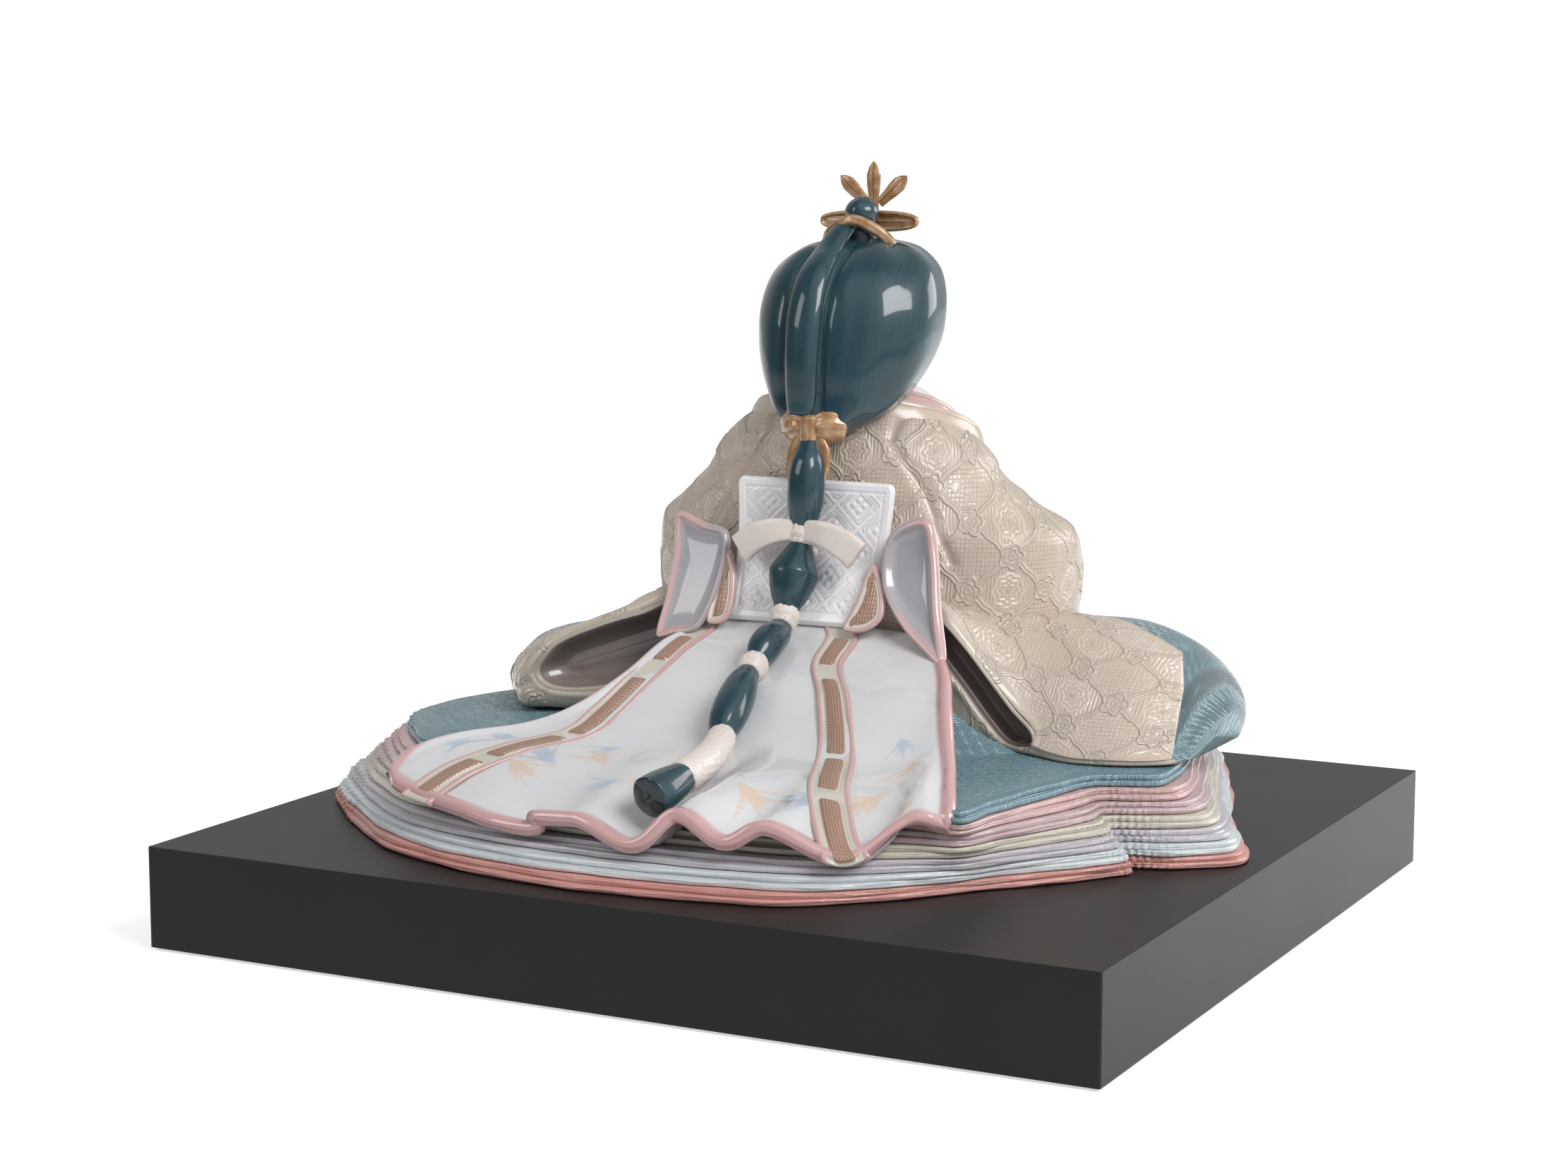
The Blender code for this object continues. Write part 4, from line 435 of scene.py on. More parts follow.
def around(grid):
    """Signed distance along each ring from its first column, in mm, with its jump on the far side."""
    step = np.linalg.norm(np.roll(grid, -1, axis=1) - grid, axis=2)
    run = np.cumsum(step, axis=1) - step
    total = step.sum(axis=1, keepdims=True)
    return np.where(run > total / 2, run - total, run) / MM


def downwards(grid):
    """Distance down each column from the first row, in mm."""
    step = np.linalg.norm(np.diff(grid, axis=0), axis=2)
    return np.concatenate([np.zeros((1, grid.shape[1])), step.cumsum(axis=0)]) / MM


def sideways(grid):
    """Distance along each row from the first column, in mm."""
    return downwards(grid.swapaxes(0, 1)).swapaxes(0, 1)


def polygon_depth(x, y, polygon):
    """Distance inside a closed polygon, negative outside: least distance to a side, signed by a crossing count."""
    shape = x.shape
    px, py = x.reshape(-1, 1), y.reshape(-1, 1)
    ax, ay = polygon.T
    bx, by = np.roll(polygon, -1, axis=0).T
    share = ((px - ax) * (bx - ax) + (py - ay) * (by - ay)) / ((bx - ax) ** 2 + (by - ay) ** 2)
    share = np.clip(share, 0, 1)
    distance = np.sqrt(((ax + share * (bx - ax) - px) ** 2 + (ay + share * (by - ay) - py) ** 2).min(axis=1))
    crosses = ((ay > py) != (by > py)) & (px < (bx - ax) * (py - ay) / np.where(by == ay, 1e-12, by - ay) + ax)
    return np.where(crosses.sum(axis=1) % 2 == 1, distance, -distance).reshape(shape)


# Meshes: each part is points, quads, triangles and its marks, one value for each point

def ring_part(grid, belt=False, marks=None):
    """Rings joined by quads; both ends close on their mean points, or a belt joins the last ring to the first."""
    rows, columns = grid.shape[:2]
    index = np.pad(np.arange(rows * columns).reshape(rows, columns), ((0, int(belt)), (0, 1)), mode="wrap")
    quads = np.stack([index[:-1, :-1], index[:-1, 1:], index[1:, 1:], index[1:, :-1]], axis=-1).reshape(-1, 4)
    points = grid.reshape(-1, 3)
    marks = {name: np.broadcast_to(value, (rows, columns)) for name, value in (marks or {}).items()}
    flat = {name: value.reshape(-1) for name, value in marks.items()}
    caps = np.zeros((0, 3), int)
    if not belt:
        first, last = index[0], index[-1]
        low, high = len(points), len(points) + 1
        lower = np.column_stack([first[1:], first[:-1], np.full(columns, low)])
        upper = np.column_stack([last[:-1], last[1:], np.full(columns, high)])
        caps = np.vstack([lower, upper])
        points = np.vstack([points, grid[0].mean(axis=0), grid[-1].mean(axis=0)])
        flat = {name: np.append(flat[name], [marks[name][0].mean(), marks[name][-1].mean()]) for name in marks}
    corners = points[np.vstack([quads[:, :3], quads[:, [0, 2, 3]], caps])]
    if np.einsum("ij,ij->i", corners[:, 0], np.cross(corners[:, 1], corners[:, 2])).sum() < 0:
        quads, caps = quads[:, ::-1], caps[:, ::-1]
    return points, quads, caps, flat


def sheet_part(middle, half, towards, marks=None, under_marks=None):
    """A plate: the middle surface moved out and in by its half thickness along its normal, joined at the rim."""
    rows, columns = middle.shape[:2]
    normal = normals(middle, ring=False, towards=towards)
    rim = np.zeros((rows, columns), bool)
    rim[[0, -1]] = True
    rim[:, [0, -1]] = True
    offset = normal * np.where(rim, 0.0, half)[..., None]
    outer_index = np.arange(rows * columns).reshape(rows, columns)
    inner_index = np.where(rim, outer_index, 0)
    inner_index[~rim] = rows * columns + np.arange((~rim).sum())
    points = np.vstack([(middle + offset).reshape(-1, 3), (middle - offset)[~rim]])
    quads = []
    for index, turned in ((outer_index, False), (inner_index, True)):
        cells = np.stack([index[:-1, :-1], index[:-1, 1:], index[1:, 1:], index[1:, :-1]], axis=-1).reshape(-1, 4)
        quads.append(cells[:, ::-1] if turned else cells)
    quads = np.vstack(quads)
    corner = points[quads[0]]
    if np.cross(corner[1] - corner[0], corner[2] - corner[0]) @ normal[0, 0] < 0:
        quads = quads[:, ::-1]
    flat = {}
    for name, value in (marks or {}).items():
        value = np.broadcast_to(value, (rows, columns))
        below = np.broadcast_to((under_marks or {}).get(name, value), (rows, columns))
        flat[name] = np.concatenate([value.reshape(-1), below[~rim]])
    return points, quads, np.zeros((0, 3), int), flat


def placed(name, data):
    made = bpy.data.objects.new(name, data)
    bpy.context.scene.collection.objects.link(made)
    return made


def piece(node, word, glaze, *parts, sharp=None):
    """The object that stands for a CAD node and is named after it and a word: its parts in one mesh, with a glaze."""
    name = f"{node}_{word}"
    quads, caps, start = [], [], 0
    for points, part_quads, part_caps, _ in parts:
        quads.append(part_quads + start)
        caps.append(part_caps + start)
        start += len(points)
    mesh = bpy.data.meshes.new(name)
    points = np.vstack([points for points, *_ in parts])
    mesh.from_pydata(points.tolist(), [], np.vstack(quads).tolist() + np.vstack(caps).tolist())
    for mark in sorted({mark for *_, marks in parts for mark in marks}):
        values = [np.broadcast_to(marks.get(mark, 0.0), len(points)) for points, *_, marks in parts]
        attribute = mesh.attributes.new(mark, "FLOAT", "POINT")
        attribute.data.foreach_set("value", np.concatenate(values).astype(np.float32))
    mesh.shade_smooth()
    if sharp:
        mesh.set_sharp_from_angle(angle=math.radians(sharp))
    mesh.materials.append(glaze)
    made = placed(name, mesh)
    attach(made, "figure")
    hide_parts(node)


# Glazes


class Value:
    """A socket of a material's nodes; arithmetic on it adds Math nodes."""

    def __init__(self, tree, socket=None):
        self.tree = tree
        self.socket = socket

    def node(self, kind, settings=None, sockets=None, output=0):
        """A new node: its settings first, then the values or links of its sockets."""
        made = self.tree.nodes.new(kind)
        for key, value in (settings or {}).items():
            setattr(made, key, value)
        for key, value in (sockets or {}).items():
            if isinstance(value, Value):
                self.tree.links.new(value.socket, made.inputs[key])
            else:
                made.inputs[key].default_value = value
        return Value(self.tree, made.outputs[output])

    def math(self, operation, *others):
        return self.node("ShaderNodeMath", {"operation": operation}, dict(enumerate((self, *others))))

    def __add__(self, other):
        return self.math("ADD", other)

    def __sub__(self, other):
        return self.math("SUBTRACT", other)

    def __mul__(self, other):
        return self.math("MULTIPLY", other)

    def __rsub__(self, other):
        return self.node("ShaderNodeMath", {"operation": "SUBTRACT"}, {0: other, 1: self})

    __radd__ = __add__
    __rmul__ = __mul__

    def between(self, low, high):
        """Smoothstep of the value from low to high."""
        settings = {"interpolation_type": "SMOOTHSTEP"}
        return self.node("ShaderNodeMapRange", settings, {0: self, 1: low, 2: high})

    def mix(self, first, second):
        """The first colour at 0 and the second at 1."""
        return self.node("ShaderNodeMix", {"data_type": "RGBA"}, {0: self, 6: first, 7: second}, output=2)

    def mark(self, name):
        return self.node("ShaderNodeAttribute", {"attribute_name": name}, output=2)

    def place(self):
        return self.node("ShaderNodeTexCoord", output=3)

    def noise(self, scale, detail=2.0, stretch=None):
        place = self.place()
        if stretch:
            place = self.node("ShaderNodeMapping", None, {0: place, 3: stretch})
        return self.node("ShaderNodeTexNoise", None, {"Vector": place, "Scale": scale, "Detail": detail})


def rgba(colour):
    return (*colour, 1.0)


def finish(name, colour, other=None, groove=None, paints=(), roughness=0.32, coat=0.8, metallic=0.0, specular=0.35,
           sheen_bump=0.02, fine=None, tint=None, mottle=60.0, wear=0.05):
    """A Principled material: mottled ground, darker grooves (pooled glaze and painted shade), painted marks on top, and
    a clear coat.
    """
    made = bpy.data.materials.new(name)
    made.use_nodes = True
    tree = made.node_tree
    shader = tree.nodes["Principled BSDF"]
    start = Value(tree)
    cloud = start.noise(mottle, 3.0)
    height = fine(start) if fine else None
    base = cloud.between(0.35, 0.65).mix(rgba(colour), rgba(other or colour))
    # grooves and the fine pattern's low places take the darker colour: partly glaze pooled there, partly painted shade
    if groove:
        deep = start.mark("relief").between(0.0, 0.55)
        if height and tint:
            deep = deep * (height.between(-0.04, tint) * 0.45 + 0.55)
        base = deep.mix(rgba(groove), base)
    for mark, paint, low, high in paints:
        shown = mark(start) if callable(mark) else start.mark(mark)
        base = shown.between(low, high).mix(base, rgba(paint))
    tree.links.new(base.socket, shader.inputs["Base Color"])
    rough = cloud * wear + (roughness - wear / 2)
    tree.links.new(rough.socket, shader.inputs["Roughness"])
    shader.inputs["Coat Weight"].default_value = coat
    shader.inputs["Coat Roughness"].default_value = 0.06
    shader.inputs["Metallic"].default_value = metallic
    shader.inputs["Specular IOR Level"].default_value = specular
    grain = start.noise(700.0, 2.0) * sheen_bump
    height = height + grain if height else grain
    bump = start.node("ShaderNodeBump", None, {"Height": height, "Strength": 1.0, "Distance": 0.001})
    tree.links.new(bump.socket, shader.inputs["Normal"])
    return made


# Sizes of the cloths' patterns, in mm
CELL_WIDE, CELL_TALL = 32.0, 26.0
CELL_PITCH = 1 / math.hypot(1 / CELL_WIDE, 1 / CELL_TALL)
ROPE_SWAY = 0.22
BLOSSOM_RADIUS = 4.8
HATCH_PITCH = 1.40
CHECK_PITCH = 1.7
NET_PITCH = 7.4
CORD_PITCH, BEAD_PITCH = 1.15, 1.6


def woven(start):
    """Brocade lines in mm: paired ropes beside each lattice line, five-petalled blossoms, hatching and checks."""
    u, v = start.mark("across"), start.mark("along")
    a, b = u * (1 / CELL_WIDE) + v * (1 / CELL_TALL), u * (1 / CELL_WIDE) - v * (1 / CELL_TALL)
    near_a, near_b = a.math("ROUND"), b.math("ROUND")
    ropes = []
    for line, near, other in ((a, near_a, b), (b, near_b, a)):
        away = (line - near) * CELL_PITCH + (other * (6 * math.pi)).math("SINE") * ROPE_SWAY
        off = away.math("ABSOLUTE") - 0.75
        ropes.append(off.math("ABSOLUTE").between(0.55, 0.10))
    rope = ropes[0].math("MAXIMUM", ropes[1])
    dx, dy = u - (near_a + near_b) * (CELL_WIDE / 2), v - (near_a - near_b) * (CELL_TALL / 2)
    away = dx * dx + dy * dy
    away = away.math("SQRT")
    turn = dy.math("ARCTAN2", dx) * 2.5
    turn = turn.math("COSINE")
    lobes = turn.math("ABSOLUTE") * 0.32 + 0.74
    edge = away - lobes * BLOSSOM_RADIUS
    rim = edge.math("ABSOLUTE").between(0.70, 0.15)
    inner = away - lobes * (BLOSSOM_RADIUS * 0.58)
    petal = inner.math("ABSOLUTE").between(0.55, 0.10)
    heart = away - 1.05
    heart = heart.math("ABSOLUTE").between(0.50, 0.10)
    flower = rim.math("MAXIMUM", petal * 0.7).math("MAXIMUM", heart * 0.8)
    outside = edge.between(0.2, 0.9)
    drawn = flower * 0.50 + rope * outside * 0.40
    low_a, low_b = a.math("FLOOR"), b.math("FLOOR")
    mx, my = u - (low_a + low_b + 1.0) * (CELL_WIDE / 2), v - (low_a - low_b) * (CELL_TALL / 2)
    out = mx * mx + my * my
    out = out.math("SQRT")
    spoke = my.math("ARCTAN2", mx) * 8.0
    ring = (out - spoke.math("COSINE") * 0.45) * (math.pi / 1.05)
    medal = (ring.math("COSINE") * 0.5 + 0.5) * start.mark("medal")
    line = u * (2 * math.pi / HATCH_PITCH)
    hatch = line.math("SINE") * 0.5 + 0.5
    check_u, check_v = u * (math.pi / CHECK_PITCH), v * (math.pi / CHECK_PITCH)
    check_u = check_u.math("SINE").math("ABSOLUTE").between(0.0, 0.5)
    check_v = check_v.math("SINE").math("ABSOLUTE").between(0.0, 0.5)
    return drawn + medal * 0.22 + hatch * start.mark("hatch") * 0.20 + check_u * check_v * start.mark("check") * 0.16


def netted(start):
    """Blue cloth: nested squares and scrolls in patches, rings of |frac| and of the radius, bent by a slow noise."""
    drift = start.noise(55.0, 2.0)
    u, v = start.mark("across") + drift * 3.0, start.mark("along") - drift * 3.0
    a, b = (u + v) * (1 / NET_PITCH), (u - v) * (1 / NET_PITCH)
    away_a, away_b = a.math("FRACT") - 0.5, b.math("FRACT") - 0.5
    away_a, away_b = away_a.math("ABSOLUTE"), away_b.math("ABSOLUTE")
    square = away_a.math("MAXIMUM", away_b) * (2 * math.pi * 4)
    reach = away_a * away_a + away_b * away_b
    curl = reach.math("SQRT") * (2 * math.pi * 5)
    square, curl = square.math("COSINE") * 0.5 + 0.5, curl.math("SINE") * 0.5 + 0.5
    patch = start.noise(28.0, 1.0).between(0.48, 0.52)
    strength = (start.mark("bold") * 0.50 + 0.26) * start.mark("relief").between(0.1, 0.3)
    return (square + (curl - square) * patch) * strength


def cords(start):
    """Fine cord lines along the brown inlays, beaded across."""
    u, v = start.mark("across"), start.mark("along")
    line = (u * (2 * math.pi / CORD_PITCH)).math("SINE") * 0.5 + 0.5
    return line * ((v * (2 * math.pi / BEAD_PITCH)).math("SINE") * 0.25 + 0.75) * start.mark("block").between(0.0, 0.7)


def cording(start):
    return cords(start) * 0.26


def brushed(start):
    """Brush strokes along the hair: noise stretched along the strands."""
    place = start.node("ShaderNodeCombineXYZ", None, {0: start.mark("across") * 2.0, 1: start.mark("along") * 0.05})
    return start.node("ShaderNodeTexNoise", None, {"Vector": place, "Scale": 1.0, "Detail": 4.0, "Roughness": 0.7})


# Paints and glazes: two tones of the ground, the tone of its grooves (pooled glaze and painted shade), and what is
# painted over it

CREAM_LINE = (0.66, 0.62, 0.55)
PINK_RIM = (0.60, 0.39, 0.38)
BROWN_INLAY = (0.36, 0.21, 0.15)
CORD_TOP = (0.56, 0.40, 0.31)

BEIGE = finish("beige_glaze", (0.67, 0.575, 0.48), (0.64, 0.545, 0.455), groove=(0.43, 0.335, 0.27), fine=woven,
               tint=0.16, coat=0.0, roughness=0.19, specular=0.55, wear=0.03,
               paints=(("lip", (0.58, 0.50, 0.42), 0.1, 0.9),))
BLUE = finish("blue_glaze", (0.215, 0.345, 0.395), (0.24, 0.365, 0.415), groove=(0.11, 0.215, 0.26), fine=netted,
              tint=0.20, coat=0.0, roughness=0.17, specular=0.55, wear=0.03)
# the under paint is painted shade on the train's underside
WHITE = finish("white_glaze", (0.73, 0.73, 0.735), (0.71, 0.715, 0.73), coat=1.0, roughness=0.26, paints=(
    ("peach_wash", (0.74, 0.63, 0.54), 0.0, 1.6), ("blue_wash", (0.56, 0.63, 0.72), 0.0, 1.6),
    ("peach_spray", (0.73, 0.56, 0.44), -0.4, 1.2), ("blue_spray", (0.40, 0.50, 0.61), -0.4, 1.2),
    ("rim", (0.62, 0.375, 0.375), -1.3, 1.2), ("under", (0.36, 0.30, 0.32), 0.2, 0.9)))
PANEL = finish("panel_glaze", (0.92, 0.91, 0.93), (0.88, 0.88, 0.90), groove=(0.70, 0.70, 0.74), coat=0.0,
               roughness=0.20, specular=0.55, wear=0.03)
PAPER = finish("paper_glaze", (0.80, 0.72, 0.67), (0.76, 0.68, 0.63), groove=(0.60, 0.50, 0.45), roughness=0.42,
               coat=0.35, sheen_bump=0.10)
HAIR = finish("hair_glaze", (0.013, 0.044, 0.060), (0.018, 0.054, 0.072), groove=(0.008, 0.026, 0.036), coat=0.75,
              roughness=0.34, specular=0.2, sheen_bump=0.01, paints=(
                  (brushed, (0.024, 0.068, 0.088), 0.40, 0.80), (brushed, (0.010, 0.034, 0.047), 0.46, 0.26),
                  ("fade", (0.085, 0.100, 0.105), 0.0, 1.2), ("cut", (0.010, 0.022, 0.026), 0.3, 0.7)))
GOLD = finish("gold_glaze", (0.36, 0.18, 0.070), (0.50, 0.32, 0.18), groove=(0.24, 0.085, 0.024), metallic=0.15,
              roughness=0.30, coat=0.9, mottle=260.0)
RIBBON = finish("brown_glaze", CREAM_LINE, (0.62, 0.58, 0.50), fine=cording, coat=0.0, roughness=0.20,
                specular=0.6, wear=0.03, paints=(
    ("edge", PINK_RIM, -0.35, 0.35), ("block", BROWN_INLAY, -0.25, 0.2), (cords, CORD_TOP, 0.35, 1.1)))
BOW = finish("bow_glaze", (0.39, 0.385, 0.405), (0.36, 0.36, 0.39), coat=1.0, paints=(("rim", PINK_RIM, 0.0, 1.0),))
# the deep mark is painted shade inside the sleeve mouths
LINING = finish("lining_glaze", (0.24, 0.19, 0.18), (0.22, 0.17, 0.16), coat=0.9, paints=(
    ("deep", (0.135, 0.112, 0.098), 0.0, 1.0), ("line", (0.42, 0.37, 0.35), 0.0, 0.8),
    ("lip", (0.52, 0.45, 0.375), 0.2, 0.8)))
SKIN = finish("skin_glaze", (0.74, 0.62, 0.55), (0.76, 0.645, 0.575), coat=0.5, roughness=0.36, sheen_bump=0.01,
              paints=(
    ("cheek", (0.70, 0.46, 0.40), 0.0, 2.4), ("lips", (0.46, 0.11, 0.10), -0.15, 0.2),
    ("brow", (0.16, 0.11, 0.09), -0.35, 0.35), ("lash", (0.03, 0.02, 0.02), -0.12, 0.12)))
ROSE = finish("rose_glaze", (0.56, 0.35, 0.34), (0.60, 0.39, 0.37), groove=(0.34, 0.17, 0.16))
FAN = finish("cream_glaze", (0.66, 0.61, 0.50), (0.63, 0.57, 0.46), groove=(0.50, 0.43, 0.32), paints=(
    ("gilt", (0.50, 0.27, 0.09), -0.3, 0.3), ("blue_spray", (0.22, 0.36, 0.41), -0.3, 0.3),
    ("rim", PINK_RIM, -0.2, 0.2)))


# Relief patterns, in mm on the cloth

JACKET_RELIEF, SLEEVE_RELIEF, ROBE_RELIEF = 0.00065, 0.0006, 0.00038  # how high each pattern stands, in metres


def blossom(dx, dy, radius, petals=5):
    """Flower in relief: an outline r = R(0.74 + 0.32 |cos(n t/2)|) and a ridge in each petal round a bead."""
    r = np.hypot(dx, dy)
    turn = np.abs(np.cos(petals / 2 * np.arctan2(dy, dx)))
    outline_radius = radius * (0.74 + 0.32 * turn)
    rim = ridge(r - outline_radius, radius * 0.15)
    petal = ridge(r - radius * 0.56, radius * 0.32) * np.clip(0.35 + 0.65 * turn, 0, 1)
    bead = ridge(r, radius * 0.17)
    return np.maximum(np.maximum(rim, petal * 0.85), bead * 0.8), outline_radius + radius * 0.15 - r


def brocade(u, v):
    """Rope lattice of lozenges, blossoms on its crossings, and a medallion or small flowers in each cell."""
    a, b = u / CELL_WIDE + v / CELL_TALL, u / CELL_WIDE - v / CELL_TALL
    near_a, near_b = np.round(a), np.round(b)
    off_a = (a - near_a) * CELL_PITCH + ROPE_SWAY * np.sin(6 * math.pi * b)
    off_b = (b - near_b) * CELL_PITCH + ROPE_SWAY * np.sin(6 * math.pi * a)
    rope = np.maximum(ridge(off_a, 1.15), ridge(off_b, 1.15))
    dx, dy = u - (near_a + near_b) / 2 * CELL_WIDE, v - (near_a - near_b) / 2 * CELL_TALL
    flower, cover = blossom(dx, dy, BLOSSOM_RADIUS)
    within = smooth(-0.2, 0.2, cover)
    cell_a, cell_b = np.floor(a), np.floor(b)
    medal = (cell_a + cell_b) % 2 == 0
    cx = u - (cell_a + cell_b + 1) / 2 * CELL_WIDE
    cy = v - (cell_a - cell_b) / 2 * CELL_TALL
    r = np.hypot(cx, cy)
    turn = np.arctan2(cy, cx)
    rays = ridge(r - 4.2, 1.6) * (0.55 + 0.45 * np.cos(12 * turn))
    disc = np.maximum(np.maximum(ridge(r - 6.2 - 0.25 * np.cos(12 * turn), 0.7), rays * 0.75), ridge(r, 1.6) * 0.8)
    sprig = np.maximum(blossom(np.abs(cx) - 6.2, cy, 1.8)[0], blossom(cx, np.abs(cy) - 3.4, 1.7)[0]) * 0.6
    ground = np.where(medal, disc * (r < 7.0), sprig)
    height = rope * (1 - within) + flower * within
    height = np.maximum(height * 0.9, ground * 0.35 * (1 - within))
    open_ground = smooth(1.2, 1.9, np.minimum(np.abs(off_a), np.abs(off_b))) * (1 - smooth(-1.2, -0.2, cover))
    hatch = np.where(medal, smooth(6.6, 7.0, r), 0.0) * open_ground
    check = np.where(medal, 0.0, 1.0) * open_ground * (1 - smooth(0.05, 0.3, sprig))
    return height, hatch, check, np.where(medal, 1 - smooth(6.4, 6.8, r), 0.0) * (1 - within)


def scrollwork(u, v, pitch=7.0):
    """Blue ground: nested squares |frac| rings in half of the cells, and scrolls of concentric rings in the others."""
    a, b = (u + v) / pitch, (u - v) / pitch
    fa, fb = a - np.floor(a) - 0.5, b - np.floor(b) - 0.5
    square = np.maximum(np.abs(fa), np.abs(fb))
    nested = 0.5 + 0.5 * np.cos(2 * math.pi * square * 4)
    r = np.hypot(fa, fb)
    curl = 0.5 + 0.5 * np.cos(2 * math.pi * (r * 3.2 + 0.5 * np.arctan2(fb, fa) / math.pi))
    patch = np.sin(u / 13.0 + 1.3 * np.sin(v / 17.0)) * np.sin(v / 11.0 + 1.1 * np.sin(u / 19.0))
    return nested + (curl - nested) * smooth(-0.15, 0.15, patch)


def wander(length, seed, scales=(31.0, 13.0, 6.1), weights=(1.0, 0.6, 0.3)):
    """Smooth wandering: a weighted sum of sines of a length in mm."""
    total = 0.0
    for number, (scale, weight) in enumerate(zip(scales, weights)):
        total = total + weight * np.sin(length / scale + seed * (1.7 + number))
    return total


# Hems and over-robe

def outline(inset_share, steps=26):
    """Plan of a hem: hem + (robe - hem) share, smoothed through its points."""
    hem = np.array(HEM_OUTLINE_SHARES) * (HEM_HALF_WIDTH, HEM_HALF_DEPTH)
    robe = np.array(ROBE_OUTLINE_SHARES) * (ROBE_HALF_WIDTH, ROBE_HALF_DEPTH)
    return spline(hem + (robe - hem) * inset_share, steps, closed=True)


def bearings(plan, half_width, half_depth, centre_y, power=2.0):
    """Points at the plan's bearings on an oval with the given half sizes."""
    away = plan - (0.0, centre_y)
    scaled = np.abs(away / (half_width, half_depth)) ** power
    return away / (scaled.sum(axis=1) ** (1 / power))[:, None]


def well_beside(plan):
    return bearings(plan, WELL_HALF_WIDTH, WELL_HALF_DEPTH, WELL_CENTRE_Y, 4.0) + (0.0, WELL_CENTRE_Y)


def plan_length(plan):
    step = np.linalg.norm(plan - np.roll(plan, 1, axis=0), axis=1)
    return (step.cumsum() - step[0]) / MM


NOTCH = (-0.805 * HEM_HALF_WIDTH, 0.262 * HEM_HALF_DEPTH)  # where the stacked hems step in on the doll's right


def from_notch(plan):
    return np.hypot(*(plan - NOTCH).T) / MM


def creased(start):
    """Uneven lines along a hem, and small crumples across it."""
    lines = start.noise(1.0, 3.0, (45.0, 45.0, 900.0))
    crumples = start.noise(1.0, 3.0, (420.0, 420.0, 110.0))
    return lines * 1.1 + crumples * start.mark("crumpled") * 1.6


HEM_LOOK = dict(fine=creased, coat=0.0, roughness=0.20, specular=0.55, wear=0.03)
LAYER_GLAZES = [
    finish("coral_glaze", (0.70, 0.35, 0.31), (0.64, 0.31, 0.27), groove=(0.60, 0.28, 0.24), **HEM_LOOK),
    finish("pale_blue_glaze", (0.72, 0.76, 0.775), (0.66, 0.71, 0.73), groove=(0.58, 0.63, 0.655), **HEM_LOOK),
    finish("grey_glaze", (0.60, 0.58, 0.61), (0.56, 0.54, 0.58), groove=(0.49, 0.47, 0.505), **HEM_LOOK),
    finish("cream_hem_glaze", (0.68, 0.635, 0.54), (0.64, 0.595, 0.50), groove=(0.58, 0.53, 0.44), **HEM_LOOK),
    finish("mauve_glaze", (0.62, 0.48, 0.49), (0.58, 0.44, 0.455), groove=(0.52, 0.385, 0.395), **HEM_LOOK),
    finish("rose_hem_glaze", (0.66, 0.46, 0.45), (0.61, 0.42, 0.41), groove=(0.56, 0.37, 0.36), **HEM_LOOK),
]


def beads(low_plan, high_plan, foot, seed, steps=9):
    """Two half-round ridges, one above the other, each a fold of cloth: rows and how high each is in its groove."""
    radius = LAYER_THICKNESS / 4
    rows, heights = [], []
    for number, plan in enumerate((low_plan, high_plan)):
        run = plan_length(plan)
        sway = 0.00052 * wander(run, seed + number * 3.1, (19.0, 8.0, 3.9), (1.0, 0.7, 0.3))
        sway = sway * smooth(0.0, 14.0, np.minimum(run, run[-1] - run))
        pleat = 0.0007 * np.exp(-((from_notch(plan) / 11) ** 2)) * np.sin(run * 2 * math.pi / 2.8 + number)
        stairs = 0.0009 * smooth(0.140, 0.160, plan[:, 0]) * smooth(0.02, 0.06, plan[:, 1])
        stairs = stairs * np.sin(run * 2 * math.pi / 7.0)
        for angle in np.linspace(-math.pi / 2, math.pi / 2, steps):
            drawn_in = radius * 0.48 * (1 - math.cos(angle)) - sway + pleat + stairs
            height = foot + radius * (1 + 2 * number + math.sin(angle))
            rows.append(level(inset(plan, drawn_in), height))
            heights.append(np.full(len(plan), max(math.cos(angle), 0.0)) * 0.95)
    return rows, heights


def hem_layers():
    for number, (colour, glaze) in enumerate(zip(LAYER_NAMES, LAYER_GLAZES)):
        foot = FIGURE_FOOT + LAYER_PITCH * number
        share, above = LAYER_INSET_SHARES[number : number + 2]
        low, high = outline(share), outline(share + (above - share) * 0.45)
        rows, heights = beads(low, high, foot, number * 1.9)
        well = well_beside(low)
        flat = inset(high, LAYER_THICKNESS)
        rows = [level(well, foot), *rows, level(flat, foot + LAYER_THICKNESS), level(well, foot + LAYER_THICKNESS)]
        flat_relief = np.full(len(low), 0.75)
        relief = np.array([flat_relief, *heights, flat_relief, flat_relief])
        marks = {"relief": relief, "crumpled": np.exp(-((from_notch(low) / 22) ** 2)) + 0.15}
        piece(f"hem_{number + 1}_{colour}", "glazed", glaze, ring_part(np.array(rows), belt=True, marks=marks))


